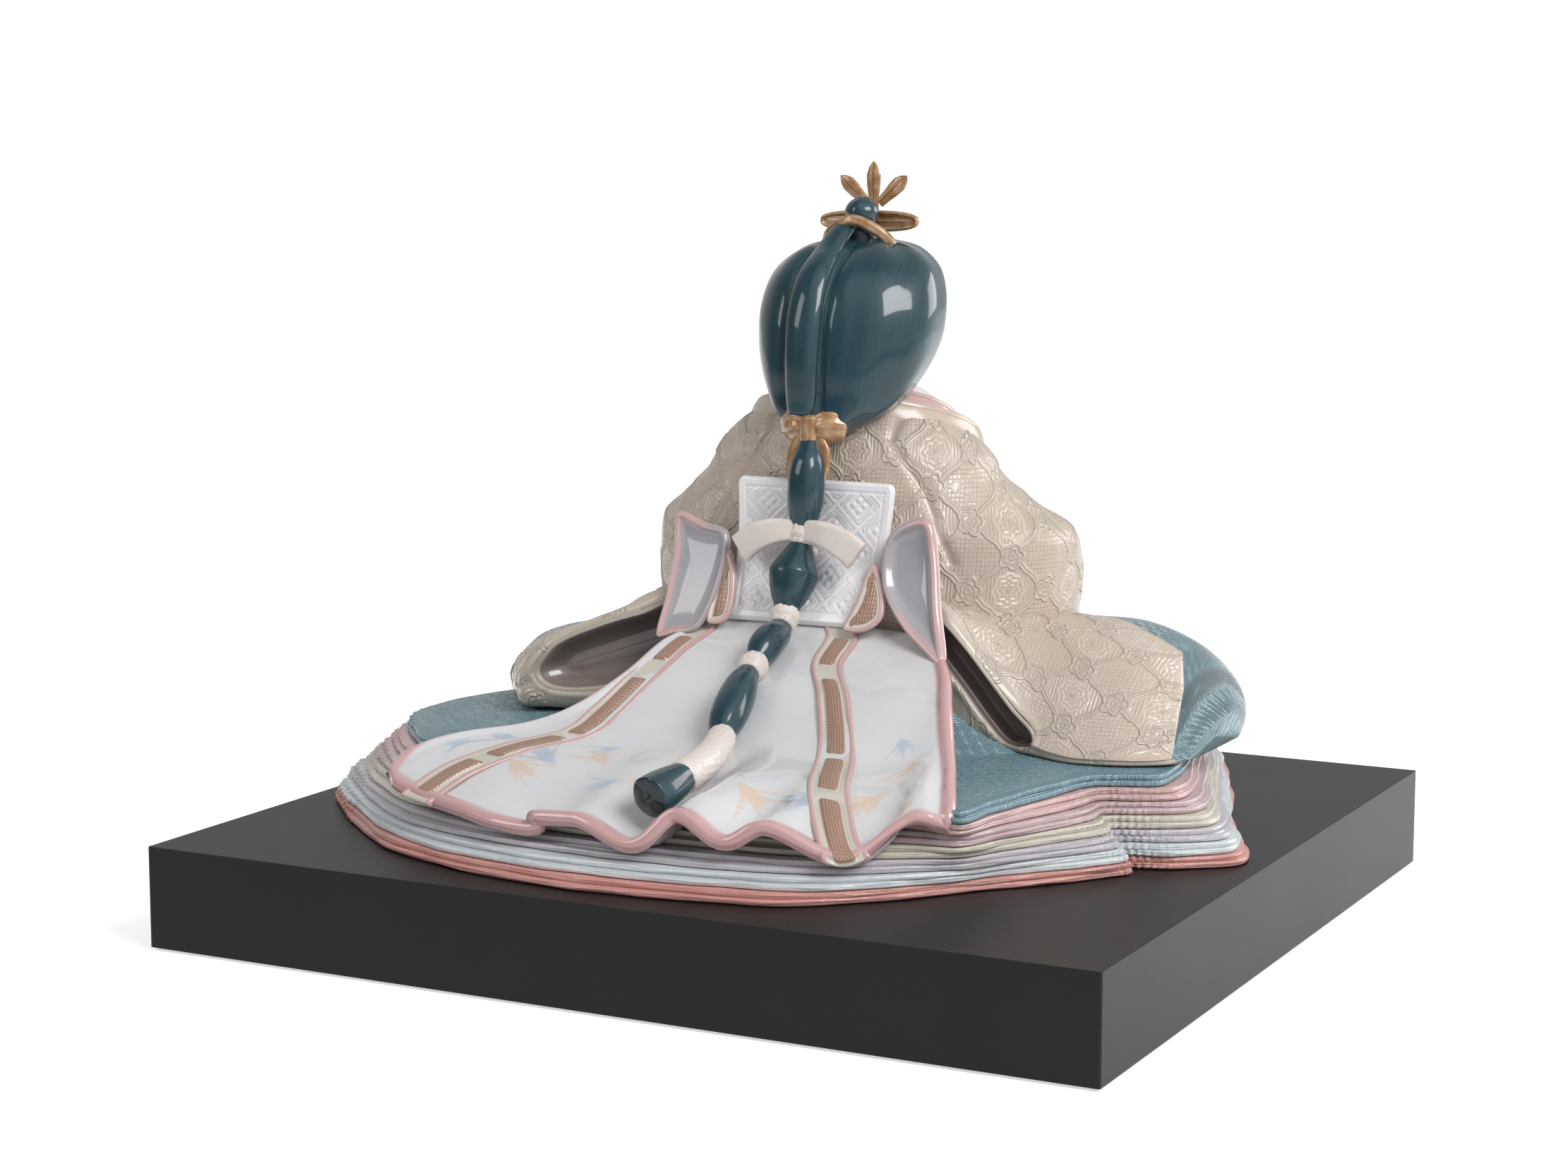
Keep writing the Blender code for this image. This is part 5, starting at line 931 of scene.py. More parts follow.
def over_robe():
    """The blue robe: folded edge, border and mound in scroll relief, with the hollow under the mound left open."""
    plan = outline(1.0, 24)
    edge, heights = beads(plan, inset(plan, 0.0012), ROBE_FOOT, 14.0, 7)
    unit_plan = bearings(plan, MOUND_HALF_WIDTH, MOUND_HALF_DEPTH, MOUND_CENTRE_Y)

    def section(width_share, back_share, front_share, height):
        depth_share = np.where(unit_plan[:, 1] > 0, back_share, -front_share)
        shape = unit_plan * np.column_stack([np.full(len(unit_plan), width_share), depth_share])
        return level(shape + (0.0, MOUND_CENTRE_Y), height)

    controls = [level(inset(plan, 0.0040), ROBE_FLOOR)]
    inner = [level(well_beside(plan), ROBE_FOOT), level(well_beside(plan), ROBE_FLOOR - ROBE_WALL / 2)]
    for rise_share, width_share, back_share, front_share in MOUND_SECTION_SHARES:
        height = ROBE_FLOOR + rise_share * MOUND_RISE
        controls.append(section(width_share, back_share, front_share, height))
        if rise_share > MOUND_SECTION_SHARES[0][0]:
            shape = section(width_share, back_share, front_share, height - ROBE_WALL)
            inner.append(level(inset(shape[:, :2], ROBE_WALL), height - ROBE_WALL))
    border = at_rows(np.array(controls[:2]), np.linspace(0, 1, 46)[:-1])
    mound = spline(np.array(controls[1:]), 11)
    top = np.concatenate([border, mound])
    across, along = top[..., 0] / MM, top[..., 1] / MM
    pattern = scrollwork(across, along)
    fade = smooth(1.0, 5.0, downwards(top)) * (1 - smooth(0.030, 0.040, top[..., 2] - ROBE_FLOOR))
    top = raised(top, pattern * fade * ROBE_RELIEF)
    grid = np.concatenate([np.array(edge), top, np.array(inner[::-1])])
    relief = np.concatenate([np.array(heights), 0.35 + 0.65 * pattern * fade, np.full((len(inner), len(plan)), 0.5)])
    marks = {"relief": relief}
    for name, value, pad in (("across", across, grid[..., 0] / MM), ("along", along, grid[..., 1] / MM)):
        marks[name] = np.concatenate([pad[: len(edge)], value, pad[len(edge) + len(top) :]])
    piece("over_robe", "glazed", BLUE, ring_part(grid, belt=True, marks=marks))


# Jacket and sleeves

SEAM = ((0.0262, 0.1870), (0.0420, 0.1660), (0.0560, 0.1400))  # x and height on the doll's right, mirrored on its left


def jacket():
    """Back, shoulders and upper arms in brocade relief, with the inner wall of the casting."""
    rows = spline(np.array(JACKET_SECTION_SHARES), 14)
    outer = []
    for height_share, width_share, back_share, front_share, lean_share in rows:
        back = JACKET_CENTRE_Y + back_share * JACKET_HALF_DEPTH
        front = JACKET_CENTRE_Y + front_share * JACKET_HALF_DEPTH
        height = JACKET_FOOT + height_share * JACKET_HEIGHT
        ring = oval(width_share * JACKET_HALF_WIDTH, back, front, height, 2160)
        outer.append(even_ring(ring)[::4] + (lean_share * JACKET_HALF_WIDTH, 0.0, 0.0))
    outer = np.array(outer)
    u = around(outer)
    v = outer[..., 2] / MM
    height, hatch, check, medal = brocade(u, v)
    x = np.abs(outer[..., 0])
    seam_x = np.interp(outer[..., 2], *np.array(SEAM[::-1]).T[::-1])
    seam = np.abs(x - seam_x) / MM + 30 * (1 - smooth(-0.3, 0.3, (outer[..., 1] - JACKET_CENTRE_Y) / JACKET_HALF_DEPTH))
    seam = seam + 30 * smooth(0.0, 0.004, SEAM[-1][1] - outer[..., 2])
    plain = smooth(0.8, 2.6, seam) * (1 - smooth(JACKET_TOP - 0.014, JACKET_TOP - 0.006, outer[..., 2]))
    valley = np.exp(-((seam / 2.0) ** 2)) * 0.0009 - np.exp(-(((seam - 4.5) / 2.2) ** 2)) * 0.0002
    grid = raised(outer, height * plain * JACKET_RELIEF - valley)
    marks = {"relief": 0.35 + 0.65 * height * plain, "hatch": hatch * plain, "check": check * plain,
             "medal": medal * plain, "across": u, "along": v}
    inner = np.array([level(inset(ring[:, :2], JACKET_WALL), ring[0, 2] - JACKET_WALL) for ring in outer[::14][::-1]])
    inner[-1, :, 2] = outer[0, 0, 2]
    grid = np.concatenate([grid, inner])
    inside = np.zeros(inner.shape[:2])
    marks = {name: np.concatenate([value, inside + 0.5 * (name == "relief")]) for name, value in marks.items()}
    piece("jacket", "brocade", BEIGE, ring_part(grid, belt=True, marks=marks))


def sleeve_rings(stations, reach, side, steps, fine=24):
    """Sections of a sleeve lying on the robe, from the body outwards, each a closed curve through nine places."""
    table = spline(stations, steps)
    rings = []
    for x_share, near, near_top, lift, crest, crest_top, far, far_top in table:
        run = near - far
        section = spline((
            (near - 0.06 * run, lift * 0.5), (near, lift + (near_top - lift) * 0.45), (near - 0.02 * run, near_top),
            ((near + crest) / 2, near_top + 0.70 * (crest_top - near_top)), (crest, crest_top),
            ((crest + far) / 2, far_top + 0.72 * (crest_top - far_top)), (far, far_top * 0.6),
            (far + 0.08 * run, 0.0), ((near + far) / 2, 0.0),
        ), fine, closed=True)
        y = SLEEVE_CENTRE_Y + section[:, 0] * SLEEVE_HALF_DEPTH
        z = ROBE_FLOOR + SEAT_GAP + np.maximum(section[:, 1], 0.0) * SLEEVE_RISE
        rings.append(np.column_stack([np.full(len(y), side * x_share * reach), y, z]))
    return np.array(rings)


def read_ring(rings, rows, columns):
    """The sleeve read at fractional rows and, for each row, its own fractional columns round the ring."""
    picked = at_rows(rings, rows)
    count = picked.shape[1]
    low = np.floor(columns).astype(int)
    share = (columns - low)[..., None]
    row = np.arange(len(picked))[:, None]
    return picked[row, low % count] * (1 - share) + picked[row, (low + 1) % count] * share


def sleeve(word, side, stations, reach, mouth_shares, medial):
    """Brocade sleeve over the robe's blue one: both read the same rings, parted along the split line."""
    rings = sleeve_rings(stations, reach, side, 16)
    count = rings.shape[1]
    far_foot = count * 7 // 9
    x = np.abs(rings[:, 0, 0])
    split = np.array(SLEEVE_SPLIT_SHARES) * (SLEEVE_REACH, SLEEVE_HALF_DEPTH) + (0.0, SLEEVE_CENTRE_Y)
    split_y = np.interp(x, split[:, 0], split[:, 1])
    if word == "right":
        split_y = split_y - 0.020 * smooth(0.122, 0.166, x)
    edge = []
    for ring, limit in zip(rings, split_y):
        y = ring[count // 9 : far_foot, 1]
        past = np.nonzero(y < limit)[0]
        place = past[0] if len(past) else len(y) - 1
        if 0 < place < len(y):
            place = place - (limit - y[place]) / max(y[place - 1] - y[place], 1e-9)
        edge.append(count // 9 + max(place, 0.0))
    edge = np.array(edge)
    shown = edge > count // 9 + 0.5
    last = len(edge) - 1 if shown.all() else int(np.nonzero(~shown)[0][0])
    travel = np.abs(np.diff(edge[: last + 1])) * 0.9 + np.diff(x[: last + 1]) / MM
    run = np.concatenate([[0.0], travel.cumsum()])
    rows = np.interp(np.linspace(0, run[-1], int(run[-1] / 0.85)), run, np.arange(last + 1))
    edge_at = np.interp(rows, np.arange(len(edge)), edge)
    underside = -count / 9 * 0.9
    share = np.linspace(0, 1, 230)
    columns = underside + share * (edge_at[:, None] - underside)
    beige = read_ring(rings, rows, columns)
    outward = normals(beige, ring=False)
    if (outward[:, 115, 1] + outward[:, 160, 2]).sum() < 0:
        outward = -outward
    mouth = spline(np.array(mouth_shares) * (reach, SLEEVE_RISE) + (0.0, ROBE_FLOOR), 6, closed=True)
    facing_back = smooth(-0.1, 0.25, outward[..., 1])
    depth = polygon_depth(np.abs(beige[..., 0]), beige[..., 2], mouth) / MM
    depth = np.where(facing_back > 0, depth, -99.0)
    u = np.abs(beige[..., 0]) / MM
    v = sideways(beige)
    v = v - v[:, 90:91]
    pattern, hatch, check, medal = brocade(u, v)
    to_edge = sideways(beige[:, ::-1])[:, ::-1]
    plain = smooth(1.5, 4.0, to_edge) * smooth(1.5, 5.0, -depth) * smooth(2.0, 9.0, (beige[..., 2] - ROBE_FLOOR) / MM)
    lip = np.exp(-(((depth + 1.2) / 1.3) ** 2)) * 0.0005
    swell = pattern * plain * SLEEVE_RELIEF + lip + 0.0002
    shell = beige + outward * swell[..., None]
    shell[..., 1] -= smooth(0.0, 1.4, depth) * (MOUTH_DEPTH + 0.003)
    shell = behind_bow(shell, RIGHT_BOW_SHARES if word == "right" else LEFT_BOW_SHARES)
    roll = np.linspace(0, 1, 6)[1:]
    tuck = shell[:, -1:] - outward[:, -1:] * (roll[None, :, None] * 0.0022)
    tuck_in = np.concatenate([shell, tuck, shell[:, :1] + (0.0, 0.0, 0.002)], axis=1)
    zeros = np.zeros((len(rows), len(roll) + 1))
    marks = {
        "relief": 0.4 + 0.6 * pattern * plain, "hatch": hatch * plain, "check": check * plain, "across": u, "along": v,
        "lip": smooth(-4.5, -1.5, depth), "medal": medal * plain,
    }
    marks = {name: np.concatenate([value, zeros + 0.4 * (name == "relief")], axis=1) for name, value in marks.items()}
    piece("jacket_sleeve_" + word, "brocade", BEIGE, ring_part(tuck_in, marks=marks))

    every = np.linspace(0, len(rings) - 1, 230)
    edge_all = np.interp(every, np.arange(len(edge)), edge)
    open_share = smooth(last - 14.0, float(last), every) if last < len(edge) - 1 else np.zeros(len(every))
    start = np.maximum(edge_all - 7.0, 0.0) * (1 - open_share)
    stop = far_foot + (count - far_foot) * (0.45 + 0.55 * open_share) - 1.0
    columns = start[:, None] + np.linspace(0, 1, 250) * (stop - start)[:, None]
    blue = read_ring(rings, every, columns)
    outward = normals(blue, ring=False)
    if outward[:, 60:140, 2].sum() < 0:
        outward = -outward
    u, v = np.abs(blue[..., 0]) / MM, sideways(blue)
    plain = smooth(1.0, 6.0, (blue[..., 2] - ROBE_FLOOR) / MM)
    blue = blue - outward * 0.0004
    part = ring_part(blue, marks={"relief": 1.0, "bold": plain, "across": u, "along": v - v[:, 60:61]})
    piece("robe_sleeve_" + word, "glazed", BLUE, part)
    lining(word, side, rings, mouth, medial)


def behind_bow(grid, shares):
    """Points under a waist bow moved behind its back face."""
    plan = spline(np.array(shares) * (BOW_WIDTH, BOW_HEIGHT) + (0.0, TRAIN_TOP + PANEL_HEIGHT), 6, closed=True)
    under = smooth(-0.0030, 0.0, polygon_depth(grid[..., 0], grid[..., 2], plan))
    over = np.maximum(grid[..., 1] - panel_y(grid[..., 2]) - BOW_STAND + 0.0010, 0.0)
    return grid - (under * over)[..., None] * np.array([0.0, 1.0, 0.0])


def lining(word, side, rings, mouth, medial):
    """Mouth of the sleeve: the outline drawn in towards a line down its middle, sinking as a bowl with thin folds, with
    shade painted into the bowl.
    """
    outline_ring = spline(mouth, 4, closed=True)
    ends = np.array(medial)
    axis = ends[1] - ends[0]
    share = np.clip((outline_ring - ends[0]) @ axis / (axis @ axis), 0, 1)
    target = ends[0] + share[:, None] * axis
    upper = smooth(-0.5, 0.5, unit(outline_ring - target)[:, 1])
    near_y = rings[:, :, 1].max(axis=1)
    order = np.argsort(np.abs(rings[:, 0, 0]))
    folded, rim = (1.0, 0.03) if word == "right" else (0.0, 0.13)
    grid, deep, line, lip = [], [], [], []
    for s in np.linspace(0, 1, 72):
        plan = inset(outline_ring, -0.0010) if s == 0 else outline_ring + (target - outline_ring) * s * 0.999
        bowl = math.sin(math.pi / 2 * min(max(s - rim, 0.0) * 1.7, 1.0)) ** 0.75
        folds = folded * upper * sum(math.exp(-(((s - at) / 0.022) ** 2)) for at in (0.24, 0.36, 0.50))
        edge_line = folded * (1 - upper) * math.exp(-(((s - 0.17) / 0.02) ** 2))
        y = np.interp(plan[:, 0], np.abs(rings[order, 0, 0]), near_y[order]) - MOUTH_DEPTH * bowl - 0.0006
        grid.append(np.column_stack([side * plan[:, 0], y + 0.0007 * (folds + edge_line), plan[:, 1]]))
        # deep is painted shade: the bowl darkens inwards, most under the upper rim, less on the lower side
        bowl_shade = smooth(rim + 0.03, rim + 0.18, s) * (1 - 0.75 * smooth(0.45, 0.85, s) * (1 - 0.7 * folded))
        light = (0.15 + 0.45 * folded) * smooth(0.10, 0.5 - 0.1 * folded, s)
        deep.append(bowl_shade * upper + light * (1 - upper))
        line.append(np.clip(folds + edge_line, 0, 1))
        lip.append(np.full(len(plan), 1 - smooth(rim, rim + 0.07, s)))
    front = np.array(grid)
    if word == "right":
        front = behind_bow(front, RIGHT_BOW_SHARES)
    back = front[::-1] - (0.0, 0.0012, 0.0)
    grid = np.concatenate([front, back])
    marks = {name: np.array(rows + rows[::-1]) for name, rows in (("deep", deep), ("line", line), ("lip", lip))}
    piece("sleeve_lining_" + word, "folds", LINING, ring_part(grid, belt=True, marks=marks))


# Train, ribbons, panel and waist bows

def on_train(shares):
    """Places given in the train's own measures: across, along and up."""
    return np.asarray(shares) * (TRAIN_HALF_WIDTH, TRAIN_LENGTH, TRAIN_RISE) + (0.0, TRAIN_TOP_Y, TRAIN_FOOT)


TRAIN_FACING = (0.0, 0.5, 1.0)
RIM_BEAD = 3.0  # mm from the train's edge over which it rounds off
RIM_WIDTH = 6.2
HEM_FOLD_X = 0.038  # where the hem is turned back over itself


def train_surface(steps_down, steps_across):
    """Rows from the waist to the hem: a parabola through three places, with the hem's waves fading upwards."""
    hem = np.array(TRAIN_HEM_SHARES)
    across = (hem[:, 0] - hem[0, 0]) / (hem[-1, 0] - hem[0, 0])
    wave = hem[:, 2] - hem[:, 2].mean()
    rows = []
    for (right, middle, left), pleat in zip(np.array(TRAIN_ROW_SHARES), PLEAT_SHARES):
        u = across[:, None]
        row = right * (1 - u) * (1 - 2 * u) + middle * 4 * u * (1 - u) + left * u * (2 * u - 1)
        row[:, 2] += wave * pleat
        rows.append(row)
    down = spline(on_train(np.array(rows + [hem])), steps_down)
    return spline(down.transpose(1, 0, 2), steps_across).transpose(1, 0, 2)


def leaf_mark(u, v, cx, cy, turn, length, width):
    """Depth in mm inside a pointed leaf: width (1 - (along/length)^2) - |across|."""
    cosine, sine = math.cos(turn), math.sin(turn)
    along = (u - cx) * cosine + (v - cy) * sine
    across = (v - cy) * cosine - (u - cx) * sine
    return width * (1 - (along / length) ** 2) - np.abs(across)


BLUE_TUFTS = (  # places on the train in mm from its middle and from the waist, turn in degrees, and size
    (-66, 122, 15, 1.1), (-44, 104, 170, 1.0), (18, 122, 20, 1.0), (54, 116, -25, 1.2), (84, 104, 12, 1.1),
    (-12, 108, 160, 0.9), (-90, 100, 200, 0.9), (42, 92, 60, 0.8), (-58, 74, 130, 0.7), (98, 118, 40, 1.0),
)
PEACH_TUFTS = (
    (-80, 110, 60, 1.1), (-30, 118, 150, 1.1), (4, 114, 50, 1.0), (36, 108, -35, 1.1), (72, 122, 165, 1.1),
    (-52, 92, 75, 0.9), (94, 92, 70, 1.0), (-72, 88, 110, 0.8), (64, 84, 100, 0.8), (-98, 120, 80, 0.9),
)


def sprays(u, v, tufts, blades):
    """Brushed tufts: pointed blades fanned from one root, each bent to one side, and the wash beneath them."""
    found, wash = np.full(u.shape, -9.0), np.full(u.shape, -9.0)
    for number, (cx, cy, degrees, size) in enumerate(tufts):
        turn = math.radians(degrees)
        for blade in range(blades):
            fan = (blade - (blades - 1) / 2) * 0.12
            reach = (7.5 + 3.4 * math.sin(2.3 * blade + number)) * size
            lean = turn + fan
            bent = fan * 0.055 * ((u - cx) * math.cos(lean) + (v - cy) * math.sin(lean)) ** 2 / reach
            px, py = cx + math.cos(lean) * reach * 1.15, cy + math.sin(lean) * reach * 1.15
            blade_u, blade_v = u + bent * math.sin(lean) * 4, v - bent * math.cos(lean) * 4
            found = np.maximum(found, leaf_mark(blade_u, blade_v, px, py, lean, reach, 0.80 * size))
        px, py = cx + math.cos(turn) * 6.5 * size, cy + math.sin(turn) * 6.5 * size
        wash = np.maximum(wash, leaf_mark(u, v, px, py, turn, 9.0 * size, 3.4 * size))
    return found, wash


def graded(count, near_end=0.9, both=True):
    """Places from 0 to 1, closer together at one or both ends: t - k sin(2 pi t)/(2 pi), or (1-k)t + k sin(pi t/2)."""
    t = np.linspace(0, 1, count)
    if both:
        return t - near_end * np.sin(2 * math.pi * t) / (2 * math.pi)
    return (1 - near_end) * t + near_end * np.sin(math.pi * t / 2)


def train():
    """The white train: a thick sheet with a rolled rim, folds and brushed sprays."""
    surface = train_surface(24, 16)
    rows = graded(186, 0.84, both=False) * (len(surface) - 1)
    columns = graded(262, 0.82) * (surface.shape[1] - 1)
    middle = at_columns(at_rows(surface, rows), columns)
    run_across = sideways(middle)
    run_down = downwards(middle)
    to_side = np.minimum(run_across, run_across[:, -1:] - run_across)
    to_hem = run_down[-1:] - run_down
    to_rim = np.minimum(to_side, to_hem)
    past = smooth(RIM_BEAD, RIM_BEAD * 2.2, to_rim)
    round_edge = quarter_round(to_rim, RIM_BEAD)
    half = (round_edge * (1 - past) + TRAIN_THICKNESS / 2 / MM * past) * MM
    u = run_across - run_across[:, -1:] / 2
    folds = 0.0007 * np.sin(u / 8.0 + 0.6 * np.sin(run_down / 30)) * smooth(10, 60, run_down) * smooth(3, 12, to_rim)
    wave = middle[-1, :, 2] - resample(resample(middle[-1, :, 2], 5), middle.shape[1])
    folds = folds + 0.75 * wave * smooth(0, 16, to_hem) * np.exp(-((to_hem / 34) ** 2)) * smooth(3, 12, to_side)
    normal = normals(middle, ring=False, towards=TRAIN_FACING)
    corner = np.clip(1 - to_side / 9, 0, 1) * np.clip(1 - to_hem / 9, 0, 1)
    inwards = unit(np.gradient(middle, axis=1)) * np.sign(-u)[..., None]
    upwards = -unit(np.gradient(middle, axis=0))
    middle = middle + (inwards * 0.0030 + upwards * 0.0034) * corner[..., None]
    turned = u - np.interp(HEM_FOLD_X, middle[-1, :, 0], u[-1])
    pressed = np.exp(-((turned / 11) ** 2)) * np.exp(-((to_hem / 15) ** 2)) * MM
    sweep = np.sin(2 * math.pi * turned / 26) * pressed
    run = unit(np.gradient(middle, axis=1))
    middle = middle - (run * 6.2 + normal * 2.4) * sweep[..., None]
    middle = middle + (upwards * 3.0 + normal * 1.6) * pressed[..., None]
    middle = middle + normal * (folds - TRAIN_THICKNESS / 2)[..., None]
    inside = smooth(5, 9, to_rim)
    blue, blue_wash = sprays(u, run_down, BLUE_TUFTS, 8)
    peach, peach_wash = sprays(u, run_down, PEACH_TUFTS, 9)
    marks = {
        "blue_spray": blue * inside - 9 * (1 - inside), "peach_spray": peach * inside - 9 * (1 - inside),
        "blue_wash": blue_wash * inside, "peach_wash": peach_wash * inside,
        "rim": RIM_WIDTH - np.minimum(to_hem, to_side + 3.8 * (u > 0) * smooth(5, 30, to_hem)), "under": 0.0,
    }
    # the underside is painted darker away from the rim: painted shade
    below = dict.fromkeys(marks, -9.0) | {"rim": RIM_BEAD - to_rim, "under": smooth(1.0, 3.5, to_rim)}
    piece("train", "painted", WHITE, sheet_part(middle, half, TRAIN_FACING, marks, below))
    return surface


# What the glaze has against the solids, from the waist to the hem: the right foot's shift and both ribbons' widths
RIGHT_FOOT_SHIFT_SHARES = (0.0, 0.0, 0.0, 0.0, 0.0, 0.0, 0.004, 0.012, 0.020)
RIBBON_TRIM_SHARES = (1.05, 1.05, 1.0, 1.0, 0.95, 0.92, 0.90, 0.86, 0.80)


def ribbon(word, place_shares, surface, blocks):
    """A band that follows the train and turns over its hem: beaded edges, with corded inlays down the middle."""
    rows = len(surface)
    span = np.linalg.norm(surface[:, -1] - surface[:, 0], axis=1)
    foot = np.array(RIGHT_FOOT_SHIFT_SHARES) * (word == "right")
    centre = resample(spline(place_shares + foot, 12), rows)
    spread = np.array(RIBBON_SPREAD_SHARES) * RIBBON_TRIM_SHARES
    half = resample(spline(spread, 12), rows) * RIBBON_WIDTH / 2
    normal = normals(surface, ring=False, towards=TRAIN_FACING)
    length = np.linalg.norm(np.diff(surface, axis=1), axis=2).cumsum(axis=1)
    across = np.linspace(-1, 1, 41)
    strip, lifted = [], []
    for row in range(6, rows):
        share = np.concatenate([[0.0], length[row] / length[row, -1]])
        places = centre[row] + half[row] / span[row] * across
        strip.append([np.interp(places, share, surface[row, :, axis]) for axis in range(3)])
        lifted.append([np.interp(places, share, normal[row, :, axis]) for axis in range(3)])
    strip = np.array(strip).transpose(0, 2, 1)
    lifted = np.array(lifted).transpose(0, 2, 1)
    onward = unit(strip[-1] - strip[-3])
    for angle in np.linspace(0, math.pi / 2, 8)[1:]:
        turn = (onward * math.sin(angle) - lifted[-1] * (1 - math.cos(angle))) * 0.0024
        strip = np.concatenate([strip, (strip[rows - 7] + turn)[None]])
        lifted = np.concatenate([lifted, unit(lifted[rows - 7] * math.cos(angle) + onward * math.sin(angle))[None]])
    half = np.concatenate([half[6:], np.full(len(strip) - rows + 6, half[-1])]) / MM
    along = downwards(strip)[:, 20:21]
    edge_distance = half[:, None] * (1 - np.abs(across))
    bead_edge = ridge(edge_distance - 1.1, 1.1)
    inlay = np.full((len(strip), len(across)), -9.0)
    for start, stop in blocks:
        start, stop = start * along[-1, 0], stop * along[-1, 0]
        over = np.abs(along - (start + stop) / 2) - (stop - start) / 2 + 1.5
        out = np.abs(across[None] * half[:, None]) - half[:, None] * 0.46 + 1.5
        corner = np.hypot(np.maximum(over, 0), np.maximum(out, 0)) + np.minimum(np.maximum(over, out), 0)
        inlay = np.maximum(inlay, 1.5 - corner)
    body = np.where(edge_distance > 3.0, 1.0, ridge(edge_distance - 3.0, 3.0))
    pad = smooth(-0.5, 0.5, inlay) * 0.5 + np.sqrt(np.clip(inlay, 0, 2.6) / 2.6) * 0.75
    height = 0.55 * body + 0.75 * bead_edge + pad - 0.40 * np.exp(-((inlay + 0.5) / 0.6) ** 2)
    top = strip + lifted * (height * RIBBON_STAND * 0.62)[..., None]
    under = strip[:, ::-1][:, 1:-1:4] - lifted[:, ::-1][:, 1:-1:4] * 0.0008
    grid = np.concatenate([top, under], axis=1)
    low = np.full(under.shape[:2], -9.0)
    u = np.broadcast_to(across[None] * half[:, None], inlay.shape)
    marks = {
        "block": np.concatenate([inlay, low], axis=1), "across": np.concatenate([u, low * 0], axis=1),
        "along": np.concatenate([along + 0 * u, low * 0], axis=1),
        "edge": np.concatenate([2.0 - edge_distance, low], axis=1),
    }
    piece("ribbon_" + word, "corded", RIBBON, ring_part(grid, marks=marks))


def panel_y(height):
    """How far back the panel's outer face stands at a height: it sweeps out towards its foot."""
    down = (TRAIN_TOP + PANEL_HEIGHT - height) / PANEL_HEIGHT
    return PANEL_TOP_Y + PANEL_SWEEP * down * np.abs(down)


PANEL_CORNER = 0.0035
QUILT_PITCH = 20.0


def back_panel():
    """The stiff panel: rounded corners, a rolled border and nested lozenges with four squares in each."""
    rows, columns = graded(150, 0.8), graded(170, 0.8) * 2 - 1
    down, across = np.meshgrid(rows, columns, indexing="ij")
    z = TRAIN_TOP + PANEL_HEIGHT * (1 - down)
    half = PANEL_HALF_WIDTH - PANEL_TAPER * down
    from_top = down * PANEL_HEIGHT
    drawn_in = PANEL_CORNER - quarter_round(from_top, PANEL_CORNER)
    x = across * (half - drawn_in)
    middle = np.stack([x, panel_y(z) - PANEL_THICKNESS / 2, z], axis=-1)
    to_side = (half - drawn_in) * (1 - np.abs(across)) / MM
    to_rim = np.minimum(to_side, np.minimum(from_top, PANEL_HEIGHT - from_top) / MM)
    half_thick = PANEL_THICKNESS / 2 / MM
    round_edge = quarter_round(to_rim, half_thick)
    u, v = x / MM / QUILT_PITCH, z / MM * 1.05 / QUILT_PITCH
    a, b = u + v, u - v
    fa, fb = a - np.floor(a) - 0.5, b - np.floor(b) - 0.5
    square = np.maximum(np.abs(fa), np.abs(fb))
    lines = ridge(square - 0.47, 0.035) + ridge(square - 0.38, 0.03) + ridge(square - 0.30, 0.03)
    quarter = np.maximum(np.abs(np.abs(fa) - 0.11), np.abs(np.abs(fb) - 0.11))
    squares = 1 - smooth(0.055, 0.085, quarter)
    pattern = np.clip(lines + squares, 0, 1)
    plain = smooth(3.6, 5.2, to_rim)
    rolled = smooth(0.3, 1.2, to_rim) * (1 - smooth(3.0, 4.2, to_rim))
    thick = (round_edge + pattern * plain * 0.62 + rolled * 0.45) * MM
    marks = {"relief": 0.35 + 0.65 * np.maximum(pattern * plain, rolled)}
    piece("back_panel", "carved", PANEL, sheet_part(middle, thick, (0, 1, 0), marks))


def dish(node, word, glaze, shares, thickness, profile, marker, softness=0.012):
    """A dished plate: its outline drawn in by each step of a profile, at that depth, standing off the panel's sweep."""
    plan = even_ring(spline(np.array(shares) * (BOW_WIDTH, BOW_HEIGHT), 24, closed=True))
    reach = int(len(plan) * softness)
    plan = np.mean([np.roll(plan, shift, axis=0) for shift in range(-reach, reach + 1)], axis=0)
    middle = plan.mean(axis=0)
    grid, drawn = [], []
    for shrink, depth in spline(np.array(profile), 8):
        ring = inset(plan, min(shrink, 0.004))
        ring = ring + (middle - ring) * max((shrink - 0.004) / 0.010, 0.0)
        height = TRAIN_TOP + PANEL_HEIGHT + ring[:, 1]
        grid.append(np.column_stack([ring[:, 0], panel_y(height) + BOW_STAND + thickness + depth, height]))
        drawn.append(np.full(len(ring), shrink / MM))
    grid = np.array(grid)
    piece(node, word, glaze, ring_part(grid, marks=marker(grid, np.array(drawn))))


